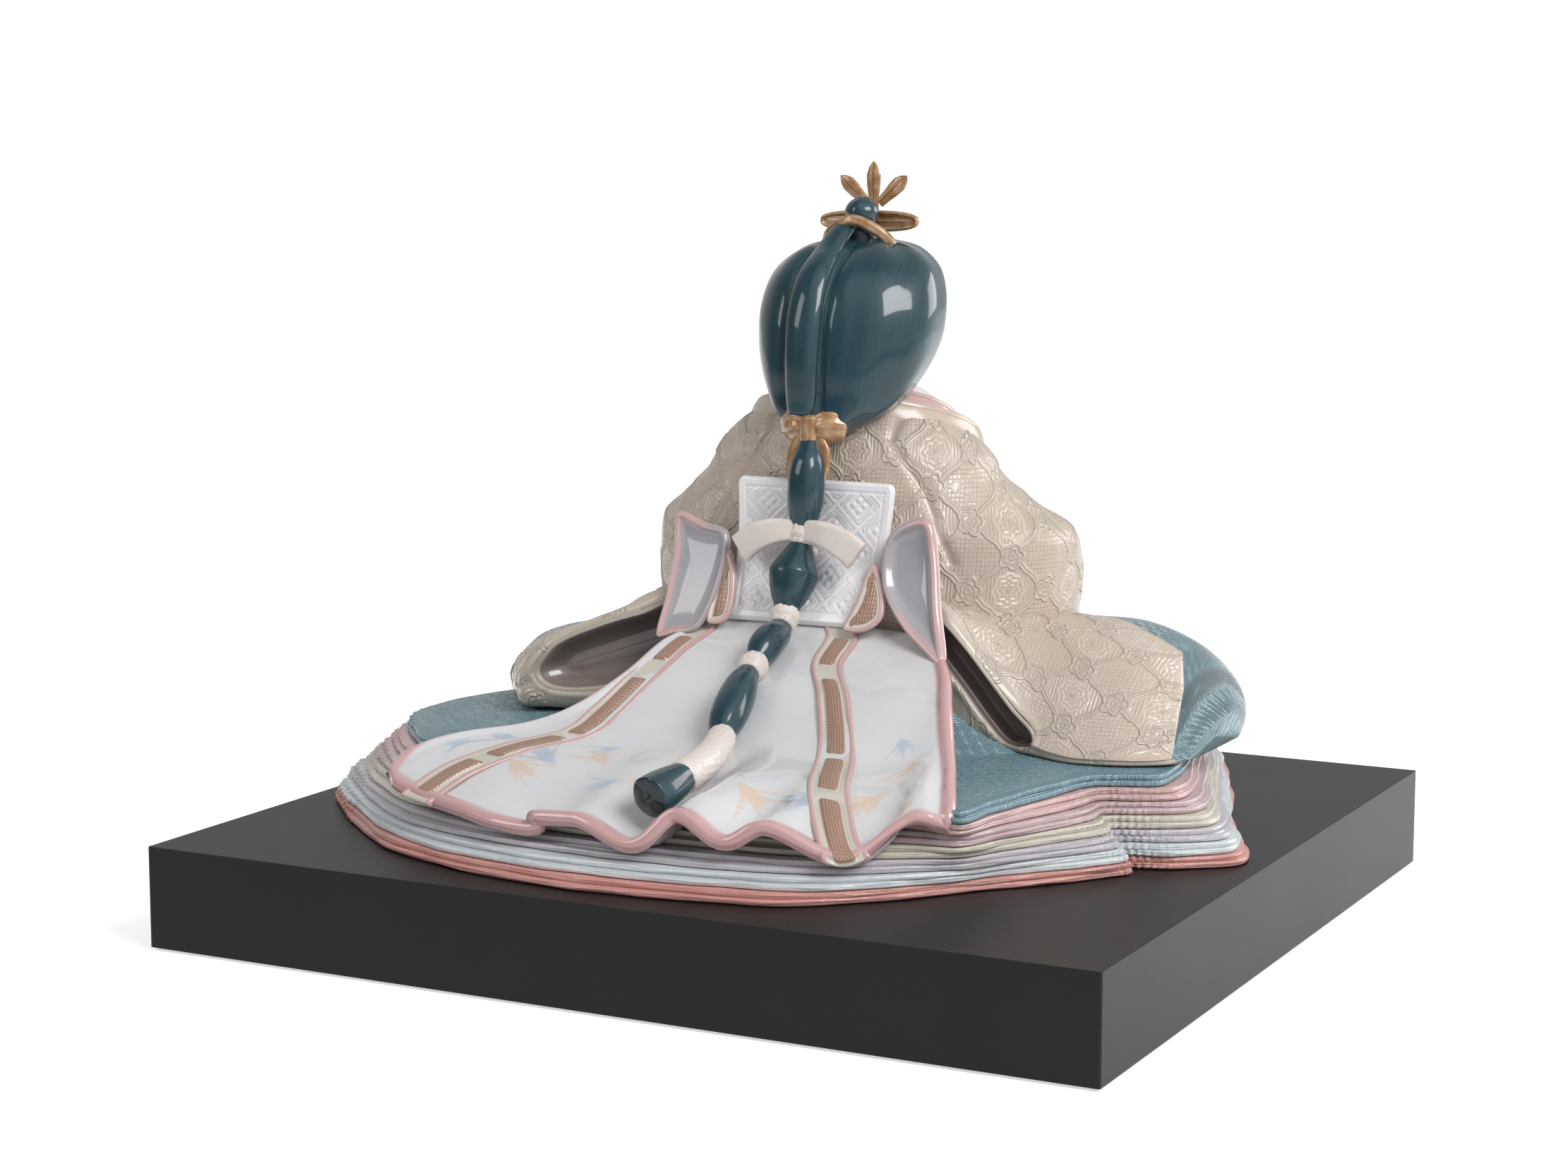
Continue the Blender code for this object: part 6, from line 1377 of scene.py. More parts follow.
def bows_and_tabs():
    """Two dished loops and two corded tabs, each from how far it is drawn in and how deep it is there."""
    ear = ((0.0140, -0.0034), (0.0060, -0.0034), (0.0014, -0.0034), (0.0000, -0.0018), (0.0008, 0.0002),
           (0.0022, 0.0008), (0.0036, -0.0002), (0.0052, -0.0016), (0.0090, -0.0024), (0.0139, -0.0026))
    fan = ((0.0140, -0.0034), (0.0060, -0.0034), (0.0012, -0.0034), (0.0000, -0.0018), (0.0008, 0.0000),
           (0.0018, 0.0003), (0.0032, -0.0004), (0.0060, -0.0010), (0.0100, -0.0012), (0.0139, -0.0012))

    def rimmed(grid, drawn):
        front = np.arange(len(grid))[:, None] > 20
        outer = smooth(0.040, 0.050, np.abs(grid[..., 0]))
        return {"rim": np.where(front, (1 - smooth(1.8, 4.8, drawn)) * (0.30 + 0.70 * outer), 0.3)}

    dish("waist_bow_right", "ear", BOW, RIGHT_BOW_SHARES, BOW_THICKNESS, ear, rimmed, 0.035)
    dish("waist_bow_left", "fan", BOW, LEFT_BOW_SHARES, BOW_THICKNESS, fan, rimmed)
    tab = ((0.0140, -0.0026), (0.0050, -0.0026), (0.0010, -0.0026), (0.0000, -0.0013), (0.0006, 0.0000),
           (0.0016, 0.0002), (0.0026, -0.0003), (0.0060, 0.0000), (0.0139, 0.0001))

    def corded(grid, drawn):
        front = np.arange(len(grid))[:, None] > 18
        return {"edge": np.where(front, 1.7 - drawn, -1.0), "block": np.where(front, drawn - 2.9, -9.0),
                "across": grid[..., 0] / MM, "along": grid[..., 2] / MM}

    dish("ribbon_tab_right", "corded", RIBBON, RIGHT_TAB_SHARES, TAB_THICKNESS, tab, corded)
    dish("ribbon_tab_left", "corded", RIBBON, LEFT_TAB_SHARES, TAB_THICKNESS, tab, corded)


# Bound hair

SIDE = (1.0, 0.0, 0.0)
BACK = (0.0, 1.0, 0.0)


def bound_hair():
    """Locks, rings and paper ties along one path, each a swelling tube with combed or crinkled relief."""
    steps = 10
    path = spline(on_train(TAIL_PATH_SHARES), steps)
    place = np.arange(len(path)) / steps
    for name, glaze, first, last, radius, swelling in TAIL_PIECES:
        start, end = np.interp((first, last), place, path_length(path))
        combed = glaze == "hair_glaze"
        count = 60 if combed else 44
        swelling = spline(swelling, 8)
        blunt = name in ("tail_tassel", "tail_end")
        middle = along_path(path, np.linspace(start, end, count))
        rings = rounded_tube(middle, radius * resample(swelling, count), 120, up=SIDE, nose=0.15 if blunt else 0.5)
        angle = turns(120)
        row = np.linspace(0, 1, len(rings))[:, None]
        if combed:
            comb = 0.5 + 0.5 * np.cos(5 * angle + 1.2 * row)
        else:
            crinkle = np.cos(40 * row * len(swelling) / 20 + 4 * angle)
            comb = 0.5 + 0.5 * np.sin(9 * angle + 3 * np.sin(14 * row)) * crinkle
        deep = 0.00020 if combed else 0.00030
        rings = raised(rings, (comb - 0.5) * deep * smooth(0.0, 0.12, np.minimum(row, 1 - row) + 0.03))
        marks = {"relief": 0.7 + 0.3 * comb if combed else 0.35 + 0.65 * comb, "across": angle * radius / MM,
                 "along": row * (end - start) / MM, "cut": (row > 0.93) * float(blunt), "fade": 0.0}
        part = ring_part(rings, marks=marks)
        if combed:
            piece(name, "combed", HAIR, part)
        else:
            piece(name, "folded", PAPER, part)


def paper_bow(path_shares):
    """Folded paper wings: flat bands, crisp along their fold, sloping down from the knot."""
    knot = on_train(path_shares[3]) * 0.5 + on_train(path_shares[4]) * 0.5
    for word, side in (("right", -1), ("left", 1)):
        start = knot + (side * WRAP_RADIUS * 0.3, WRAP_RADIUS * 0.35, PAPER_WING_RADIUS * 0.3)
        shares = np.array([(0.0, 0.0, 0.0), (0.45, 0.10, -0.04), (0.80, 0.10, -0.20), (1.05, 0.08, -0.38)])
        path = spline(start + shares * (side * PAPER_WING_LENGTH, PAPER_WING_LENGTH, PAPER_WING_LENGTH), 14)
        along = unit(np.gradient(path, axis=0))
        out = np.array(BACK)
        over = unit(np.cross(along, out) * side)
        half = PAPER_WING_RADIUS * resample((0.75, 1.0, 1.12, 1.18), len(path))
        angle = turns(72)[0]
        power = 2 / 4.5
        wide = np.sign(np.cos(angle)) * np.abs(np.cos(angle)) ** power
        deep = np.sign(np.sin(angle)) * np.abs(np.sin(angle)) ** power
        thick = PAPER_WING_RADIUS * 0.44 * (1 - 0.25 * wide)
        grid = path[:, None] + over[:, None] * (half[:, None] * wide)[..., None] + out * (thick * deep)[None, :, None]
        crease = 0.5 + 0.5 * np.cos(np.linspace(0, 9, len(path)))[:, None] * np.cos(3 * angle)[None]
        grid = raised(grid, crease * 0.00018)
        marks = {"relief": 0.6 + 0.4 * crease}
        piece("paper_wing_" + word, "folded", PAPER, ring_part(grid, marks=marks), sharp=50)


def nape_bow():
    """Gilt bow at the nape: a knot, two loops and two tails, each a grooved tube."""
    x, y, z = on_train(TAIL_PATH_SHARES[0]) + (0.0, NAPE_KNOT_RADIUS * 0.2, NAPE_KNOT_RADIUS)
    knot_path = spline([(x, y, z - NAPE_KNOT_RADIUS), (x, y, z), (x, y, z + NAPE_KNOT_RADIUS)], 8)
    parts = [grooved(rounded_tube(knot_path, NAPE_KNOT_RADIUS * 0.98, 48, up=BACK), 8)]
    for side in (-1, 1):
        shares = np.array([(0.0, 0.0, 0.0), (0.5, -0.08, 0.10), (1.0, -0.35, 0.02)])
        path = spline(np.array((x, y, z)) + shares * (side * NAPE_LOOP_LENGTH, NAPE_LOOP_LENGTH, NAPE_LOOP_LENGTH), 12)
        radii = NAPE_LOOP_RADIUS * resample(spline(np.array((0.55, 1.0, 1.2, 1.0)), 8), len(path))
        parts.append(pinched(rounded_tube(path, radii, 72, 0.6, up=BACK)))
        shares = np.array([(0.0, 0.0, 0.0), (0.24, 0.02, -0.35), (0.31, 0.08, -0.70), (0.27, 0.18, -1.0)])
        path = spline(np.array((x, y, z)) + shares * (side * NAPE_TAIL_LENGTH, NAPE_TAIL_LENGTH, NAPE_TAIL_LENGTH), 12)
        radii = NAPE_TAIL_RADIUS * resample(spline(np.array((0.7, 0.85, 0.8, 0.65)), 8), len(path))
        parts.append(grooved(rounded_tube(path, radii, 48, 0.45, up=BACK), 5))
    piece("nape_bow", "gilt", GOLD, *parts)


def pinched(rings):
    """A puffed loop: creases that fan out from the knot, deepest beside it, each point moved by deep (cos - 1)."""
    row = np.linspace(0, 1, len(rings))[:, None]
    wave = 0.5 + 0.5 * np.cos(7 * turns(rings.shape[1]) + 0.9 * np.sin(5 * row))
    moved = raised(rings, (wave - 1) * 0.0009 * (1 - 0.75 * row) * smooth(0.0, 0.15, 1 - row))
    return ring_part(moved, marks={"relief": 0.15 + 0.85 * np.maximum(wave, row)})


def grooved(rings, count, deep=0.00025):
    """A tube with lengthwise grooves: each point moved by deep (cos(n t) - 1)/2."""
    wave = 0.5 + 0.5 * np.cos(count * turns(rings.shape[1]))
    return ring_part(raised(rings, (wave - 1) * deep), marks={"relief": 0.25 + 0.75 * wave})


# Head, hair, crown

EYE_X = 9.3
EYE_Z, NOSE_Z, MOUTH_Z = (HEAD_HEIGHT * share / MM for share in (0.515, 0.405, 0.315))


def face_marks(x, z):
    """Painted brows, closed lids, lips and cheeks, as depths in mm, on plain doll proportions."""
    side = np.abs(x) - EYE_X
    lid = EYE_Z - 0.9 * (1 - (side / 4.6) ** 2)
    lash = np.where(np.abs(side) < 4.6, 0.34 * (1 - (side / 4.6) ** 4) + 0.12 - np.abs(z - lid), -9.0)
    arch = EYE_Z + 9.0 + 1.2 * (1 - (side / 5.2) ** 2)
    brow = np.where(np.abs(side) < 5.4, 0.75 * (1 - (side / 5.4) ** 2) - np.abs(z - arch), -9.0)
    upper = MOUTH_Z + 1.25 * (1 - (x / 4.2) ** 2) - 0.45 * np.exp(-((x / 1.0) ** 2))
    lower = MOUTH_Z - 1.45 * (1 - (x / 3.6) ** 2)
    lips = np.minimum(upper - z, z - lower)
    cheek = 6.5 - np.hypot((np.abs(x) - 13.5) * 0.9, z - (MOUTH_Z + 6.5))
    return lash, brow, np.where(np.abs(x) < 4.4, lips, -9.0), cheek


def head():
    """Neck and head: smoothed oval sections, with brow, nose, lips and chin raised from the front."""
    rows = spline(np.array(HEAD_SECTION_SHARES), 22)
    rings = []
    for height_share, width_share, back_share, front_share in rows:
        back = HEAD_CENTRE_Y + back_share * HEAD_HALF_DEPTH
        front = HEAD_CENTRE_Y + front_share * HEAD_HALF_DEPTH
        ring = oval(width_share * HEAD_HALF_WIDTH, back, front, HEAD_FOOT + height_share * HEAD_HEIGHT, 360, 2.1)
        rings.append(even_ring(ring))
    grid = np.array(rings)
    x, z = grid[..., 0] / MM, (grid[..., 2] - HEAD_FOOT) / MM
    front = smooth(0.15, 0.75, -(grid[..., 1] - HEAD_CENTRE_Y) / HEAD_HALF_DEPTH)

    def hill(cx, cz, wide, tall):
        return np.exp(-(((x - cx) / wide) ** 2) - ((z - cz) / tall) ** 2)

    bridge = np.exp(-((x / 2.0) ** 2)) * smooth(NOSE_Z - 1.0, NOSE_Z + 1.2, z)
    bridge = bridge * (1 - smooth(NOSE_Z + 1.0, EYE_Z + 6.0, z))
    nostrils = hill(-2.2, NOSE_Z, 1.1, 1.1) + hill(2.2, NOSE_Z, 1.1, 1.1)
    lift = 2.2 * bridge + 0.9 * hill(0, NOSE_Z + 0.8, 2.6, 1.8) + 0.5 * nostrils
    lift += 0.9 * hill(0, MOUTH_Z + 0.7, 3.4, 0.9) + 0.9 * hill(0, MOUTH_Z - 0.9, 2.6, 0.9)
    lift += 0.9 * hill(0, MOUTH_Z - 6.5, 5.0, 3.0) - 0.5 * hill(0, MOUTH_Z, 3.6, 0.4)
    for side in (-1, 1):
        lift += -0.9 * hill(side * 9.0, EYE_Z + 1.5, 5.5, 3.4) + 0.7 * hill(side * 9.3, EYE_Z + 0.4, 3.4, 1.9)
        lift += 0.4 * hill(side * 12.5, MOUTH_Z + 7.0, 5.5, 5.0)
    grid = raised(grid, lift * front * MM)
    facing = grid[..., 1] < HEAD_CENTRE_Y
    lash, brow, lips, cheek = (np.where(facing, mark, -9.0) for mark in face_marks(x, z))
    marks = {"lash": lash, "brow": brow, "lips": lips, "cheek": cheek}
    piece("head", "painted", SKIN, ring_part(grid, marks=marks))


def hair_sections(steps):
    """Height, half width, back and front of the hair."""
    table = spline(HAIR_SECTION_SHARES, steps)
    scale = (HAIR_HEIGHT, HAIR_HALF_WIDTH, HAIR_HALF_DEPTH, HAIR_HALF_DEPTH)
    return table * scale + (HAIR_FOOT, 0.0, HEAD_CENTRE_Y, HEAD_CENTRE_Y)


def hair():
    """The hair: smoothed oval sections with combed grooves, kept out of the face's oval, and two side locks."""
    sides = 620
    rings = [oval(half, back, front, height, sides, 2.1) for height, half, back, front in hair_sections(13)]
    grid = np.array(rings)
    angle = turns(sides)
    row = np.linspace(0, 1, len(rings))[:, None]
    x = (grid[..., 0] - STRAND_X) / MM
    back = smooth(0.1, 0.5, np.cos(angle))
    valley = np.exp(-(((np.abs(x) - 8.5) / 2.2) ** 2)) * 0.0014 - np.exp(-(((np.abs(x) - 15.0) / 5.0) ** 2)) * 0.0007
    swell = 0.00035 * np.cos(9 * angle + 0.7 * np.sin(3 * row)) * smooth(0.0, 0.1, 1.0 - row)
    grid = raised(grid, swell - valley * back)
    low = 1 - smooth(0.10, 0.30, row)
    fade = low * smooth(0.2, 0.8, np.abs(np.sin(angle))) * (np.cos(angle) > -0.9)
    marks = {"relief": 1.0 - 0.6 * np.exp(-(((np.abs(x) - 8.0) / 0.9) ** 2)) * back, "across": around(grid),
             "along": grid[..., 2] / MM, "fade": fade * 0.8, "cut": 0.0}
    parts = [ring_part(grid, marks=marks)]
    for side in (-1, 1):
        y, z = HEAD_CENTRE_Y - HEAD_HALF_DEPTH * 0.1, HEAD_FOOT + HEAD_HEIGHT * 0.74
        top = np.array([side * HEAD_HALF_WIDTH * 1.12, y, z])
        shares = np.array([(0.0, 0.0, 0.0), (0.05, -0.04, -0.35), (0.02, -0.03, -0.7), (-0.06, 0.02, -1.0)])
        path = spline(top + shares * (side * LOCK_LENGTH, LOCK_LENGTH, LOCK_LENGTH), 12)
        radii = LOCK_RADIUS * resample(spline(np.array((0.6, 1.0, 0.95, 0.7, 0.3)), 8), len(path))
        rings = rounded_tube(path, radii, 64, 0.6, up=SIDE)
        rings = raised(rings, (np.cos(3 * turns(64)) - 1) * 0.0001)
        marks = {"relief": 1.0, "across": turns(64) * 5, "along": rings[..., 2] / MM}
        parts.append(ring_part(rings, marks=marks))
    piece("hair", "combed", HAIR, *parts)


def hair_strand():
    """Raised strand from the topknot to the nape: a flat tube that lies on the hair."""
    table = hair_sections(8)[16:-6]
    bulge = 1 - (STRAND_X / table[:, 1]) ** 2
    y = table[:, 2] - (table[:, 2] - table[:, 3]) * 0.5 * (1 - np.sqrt(np.clip(bulge, 0, 1)))
    path = np.column_stack([np.full(len(y), STRAND_X), y, table[:, 0]])[::-1]
    crown = HAIR_FOOT + HAIR_HEIGHT
    top = np.array([(STRAND_X * 0.3, path[0, 1] - 0.0105, crown + 0.0050),
                    (STRAND_X * 0.7, path[0, 1] - 0.0050, crown + 0.0040)])
    path = spline(np.vstack([top, path[4::6], path[-1:]]), 8)
    radii = STRAND_WIDTH / 2 * 1.12 * resample(spline(np.array((0.55, 0.8, 1.0, 1.05, 1.0, 0.9, 0.6)), 8), len(path))
    rings = rounded_tube(path, radii, 96, 2.5 * STRAND_THICKNESS / STRAND_WIDTH, up=(0.0, 1.0, 0.4))
    wave = 0.5 + 0.5 * np.cos(3.0 * np.cos(turns(96)) + 0.8)
    rings = raised(rings, (wave - 1) * 0.00025)
    marks = {"relief": 0.55 + 0.45 * wave, "across": 8 * np.cos(turns(96)), "along": rings[..., 2] / MM}
    piece("hair_strand", "combed", HAIR, ring_part(rings, marks=marks))


def topknot_and_crown():
    sections = hair_sections(1)[-1]
    centre = np.array([0.0, sections[2] - HAIR_HALF_DEPTH * 0.22, HAIR_FOOT + HAIR_HEIGHT - KNOT_RISE * 0.02])
    rings = []
    for rise_share, radius_share in spline(np.array(KNOT_PROFILE_SHARES), 9):
        radius = radius_share * KNOT_RADIUS
        rings.append(oval(radius, radius, -radius, 0.0, 120, 2.0) + centre + (0.0, 0.0, rise_share * KNOT_RISE))
    rings = np.array(rings)
    rings = raised(rings, (np.cos(5 * turns(120)) - 1) * 0.0001)
    marks = {"relief": 1.0, "across": turns(120) * 6, "along": rings[..., 2] / MM}
    piece("topknot", "combed", HAIR, ring_part(rings, marks=marks))

    shares = ((1.0, 0.15, -0.30), (0.75, 0.45, 0.35), (0.0, 0.62, 0.95), (-0.75, 0.45, 0.40), (-1.1, 0.15, -0.35))
    path = spline(centre + np.array(shares) * (BAND_HALF_WIDTH, BAND_HALF_WIDTH, BAND_RISE), 20)
    piece("topknot_band", "gilt", GOLD, grooved(rounded_tube(path, BAND_RADIUS * 1.2, 40, up=BACK), 5))

    x, y, z = CROWN_X, CROWN_Y, HAIR_FOOT + HAIR_HEIGHT + CROWN_HEIGHT * 0.8
    plan = oval(1.0, 1.0, -1.0, 0.0, 240, squareness=2.8)[:, :2]
    profile = spline(np.array([
        (0.0200, 0.0006), (0.0040, 0.0006), (0.0018, 0.0004), (0.0008, 0.0000), (0.0000, 0.0007), (0.0000, 0.0021),
        (0.0008, 0.0028), (0.0016, 0.0022), (0.0022, 0.0015), (0.0040, 0.0017), (0.0200, 0.0019)]), 6)
    rings, relief = [], []
    for shrink, depth in profile:
        scale = np.array([PLATE_HALF_WIDTH - shrink, max(PLATE_HALF_HEIGHT - shrink, PLATE_HALF_HEIGHT * 0.02)])
        ring = plan * np.maximum(scale, 0.0002)
        rings.append(np.column_stack([x + ring[:, 0], np.full(len(ring), y + depth), z + ring[:, 1]]))
        relief.append(np.full(len(ring), 0.3 + 0.7 * smooth(0.0012, 0.0024, depth)))
    piece("crown_plate", "gilt", GOLD, ring_part(np.array(rings), marks={"relief": np.array(relief)}))
    foot_y = y - STEM_RADIUS - SEAT_GAP
    path = spline([(x, foot_y, z + rise) for rise in (-CROWN_HEIGHT * 1.7, 0.0, PLATE_HALF_HEIGHT * 1.6)], 12)
    piece("crown_stem", "gilt", GOLD, grooved(rounded_tube(path, STEM_RADIUS, 40, up=BACK), 8))
    root = np.array([x, foot_y, z + PLATE_HALF_HEIGHT * 1.1])
    for name, side in (("crown_leaf_right", -1), ("crown_leaf_centre", 0), ("crown_leaf_left", 1)):
        angle = math.radians(LEAF_SPREAD_DEG * side)
        lean = np.array([math.sin(angle), 0.0, math.cos(angle)])
        along = root + lean * STEM_RADIUS * abs(side) * 1.6
        reach = LEAF_LENGTH * (LEAF_SIDE_SHARE if side else 1.0)
        shares = np.linspace(0, 1, 50)
        path = along + lean * (reach * shares)[:, None]
        radii = LEAF_HALF_WIDTH * np.interp(shares, (0.0, 0.25, 0.50, 0.72, 0.88, 0.97, 1.0),
                                            (0.62, 0.74, 0.95, 1.0, 0.66, 0.26, 0.08))
        rings = tube(path, radii, 72, LEAF_THICKNESS / 2 / LEAF_HALF_WIDTH, up=BACK)
        vein = np.exp(-((np.cos(turns(72)) / 0.16) ** 2))
        piece(name, "gilt", GOLD, ring_part(raised(rings, vein * -0.0003), marks={"relief": 1 - vein}))


# Collars, cuffs, hands and fan

def on_jacket(height_share, turn_share, away):
    """A point on the jacket, at a turn from the back (0) over one side to the front (1), held away from it."""
    table = np.array(JACKET_SECTION_SHARES)
    width, back, front, lean = (np.interp(height_share, table[:, 0], table[:, column]) for column in (1, 2, 3, 4))
    angle = math.pi * abs(turn_share)
    sine, cosine = math.sin(angle), math.cos(angle)
    half_depth = (back - front) / 2 * JACKET_HALF_DEPTH
    x = math.copysign((width * JACKET_HALF_WIDTH + away) * abs(sine) ** (2 / 2.3), turn_share)
    y = (half_depth + away) * math.copysign(abs(cosine) ** (2 / 2.3), cosine)
    middle_y = JACKET_CENTRE_Y + (back + front) / 2 * JACKET_HALF_DEPTH
    return np.array([x + lean * JACKET_HALF_WIDTH, y + middle_y, JACKET_FOOT + height_share * JACKET_HEIGHT])


def collars():
    """Three nested bands round the neck, each a flat tube with a rolled edge, that cross over the chest."""
    bands = (("collar_inner_white", WHITE), ("collar_middle_rose", ROSE), ("collar_outer_beige", BEIGE))
    for number, (name, glaze) in enumerate(bands):
        both = [(height, -turn) for height, turn in COLLAR_PATH_SHARES[:0:-1]] + list(COLLAR_PATH_SHARES)
        path = []
        for height_share, turn_share in both:
            height_share -= COLLAR_DROP_SHARE * number * (1 + abs(turn_share))
            path.append(on_jacket(height_share, turn_share, COLLAR_WIDTH * COLLAR_FLATNESS_SHARE * 0.5))
        path = spline(np.array(path), 12)
        outward = path - (0.0, JACKET_CENTRE_Y, JACKET_TOP - JACKET_HALF_DEPTH)
        outward[:, 2] *= 0.5
        half_width = COLLAR_WIDTH / 2 * resample((0.45, 1.0, 1.0, 1.0, 1.0, 1.0, 1.0, 1.0, 0.45), len(path))
        rings = tube(path, half_width, 60, COLLAR_FLATNESS_SHARE, up=outward)
        fold = np.exp(-(((np.cos(turns(60)) - 0.55) / 0.09) ** 2))
        marks = {"relief": 1 - fold, "rim": -9.0, "blue_spray": -9.0, "peach_spray": -9.0}
        piece(name, "folded", glaze, ring_part(raised(rings, fold * -0.0004), marks=marks))


def cuffs_and_hands():
    """Nested sleeve ends as stepped tubes with a rolled lip, and hands with four finger grooves."""
    for word, side in (("right", -1), ("left", 1)):
        wrist = np.array([side * WRIST_X, WRIST_Y, ROBE_FLOOR + WRIST_HEIGHT])
        lean = unit(np.array([-side * 0.42, -0.80, -0.10]))
        path, radii, relief = [], [], []
        for step, (start, end) in enumerate(((-1.0, 0.30), (0.30, 0.48), (0.48, 0.66))):
            for share in np.linspace(start, end, 60 if step == 0 else 14):
                lip = smooth(end - 0.07, end, share)
                path.append(wrist + lean * CUFF_LENGTH * (share + 0.001 * step))
                radii.append((CUFF_RADIUS - CUFF_STEP * step) * (1 - 0.05 * lip**3))
                relief.append(1 - 0.8 * (1 - smooth(start, start + 0.05, share)) * (step > 0))
        rings = tube(path, np.array(radii), 120, 0.85)
        wave = np.sin(3 * turns(120) + np.linspace(0, 5, len(rings))[:, None])
        part = ring_part(raised(rings, wave * 0.0004), marks={"relief": np.array(relief)[:, None]})
        piece("cuff_" + word, "folded", ROSE, part)
        shares = np.linspace(0.50, 1.55, 60)
        hand_path = wrist + lean * (CUFF_LENGTH * 0.66 + HAND_LENGTH * (shares[:, None] - 0.5))
        palm_radii = HAND_RADIUS * np.interp(shares, (0.5, 0.75, 1.0, 1.3, 1.55), (0.85, 1.0, 1.1, 0.9, 0.45))
        rings = rounded_tube(hand_path, palm_radii, 120, 0.62, nose=0.8)
        share = np.interp(np.arange(len(rings)), (6, len(rings) - 7), (0.5, 1.55))[:, None]
        fingers = np.exp(-((np.sin(turns(120) * 2 + 0.6) / 0.20) ** 2)) * smooth(0.95, 1.15, share)
        marks = dict.fromkeys(("lash", "brow", "lips", "cheek"), -9.0)
        piece("hand_" + word, "modelled", SKIN, ring_part(raised(rings, fingers * -0.0007), marks=marks))


def folding_fan():
    """Open pleated fan: radius and angle on a leaning plane, zigzag pleats, gilt clouds and a bound edge."""
    pivot = np.array([0.0, FAN_Y, ROBE_FLOOR + FAN_PIVOT_HEIGHT])
    lean = math.radians(FAN_LEAN_DEG)
    rise = np.array([0.0, -math.sin(lean), math.cos(lean)])
    out = np.array([0.0, math.cos(lean), math.sin(lean)])
    spread = math.radians(FAN_HALF_ANGLE_DEG)
    folds = 24
    angle = np.linspace(spread, -spread, folds * 8 + 1)
    radius = FAN_HUB + (FAN_RADIUS - FAN_HUB) * graded(80, 0.85)
    r, t = np.meshgrid(radius, angle, indexing="ij")
    saw = np.abs(((np.arange(folds * 8 + 1) / 8.0) % 2) - 1) - 0.5
    fold = FAN_PLEAT * saw[None] * r / FAN_RADIUS
    side = np.array([1.0, 0.0, 0.0])
    grid = pivot + rise * (np.cos(t) * r)[..., None] + side * (np.sin(t) * r)[..., None] + out * fold[..., None]
    grid = grid - out * FAN_THICKNESS / 2
    to_rim = np.minimum((FAN_RADIUS - r) / MM, (spread - np.abs(t)) * r / MM)
    half = FAN_THICKNESS / 2 * np.sqrt(np.clip(1 - (1 - np.minimum(to_rim, 0.6) / 0.6) ** 2, 0, 1))
    arc, depth = t * FAN_RADIUS / MM, r / MM
    cloud = np.full(r.shape, -9.0)
    for cx, cy, size in ((-22, 34, 5.5), (-14, 31, 6.5), (-5, 35, 5.0), (12, 28, 6.0), (21, 31, 5.0), (30, 36, 6.0)):
        cloud = np.maximum(cloud, size - np.hypot(arc - cx, (depth - cy) * 1.8))
    marks = {
        "relief": 0.4 + 0.6 * np.abs(saw[None]) * 2 + 0 * r, "gilt": cloud, "rim": 1.6 - (FAN_RADIUS - r) / MM,
        "blue_spray": sprays(arc, depth, ((0, 30, 90, 0.7), (-30, 18, 60, 0.6), (24, 14, 120, 0.6)), 5)[0],
    }
    marks = {name: value[::-1] for name, value in marks.items()}
    piece("fan_leaf", "painted", FAN, sheet_part(grid[::-1], half[::-1], out, marks))


# Finishes of the carried-over solids

LACQUER = finish("lacquer_glaze", (0.0055, 0.0065, 0.0068), (0.0070, 0.0080, 0.0082), roughness=0.40, coat=0.0,
                 specular=0.30, sheen_bump=0.03, mottle=25.0)
FELT = finish("felt_glaze", (0.030, 0.030, 0.030), (0.045, 0.045, 0.045), roughness=0.95, coat=0.0, sheen_bump=0.6,
              mottle=900.0)


def carried_over():
    for name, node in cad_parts.items():
        if name == "plinth":
            glaze = LACQUER
        elif name.startswith("felt_pad"):
            glaze = FELT
        elif name == "fan_pin":
            glaze = GOLD
        else:
            continue
        node.data.materials.clear()
        node.data.materials.append(glaze)


# Stage

WINDOWS = (  # what the glazes mirror: direction, the cosines where it begins and is full, and its level
    ((0.30, -0.95, 0.0), -0.1, 0.8, 0.50),
    ((-0.85, 0.30, 0.42), 0.2, 0.9, 0.75),
    ((-0.22, 0.38, 0.90), 0.86, 0.96, 0.45),
)


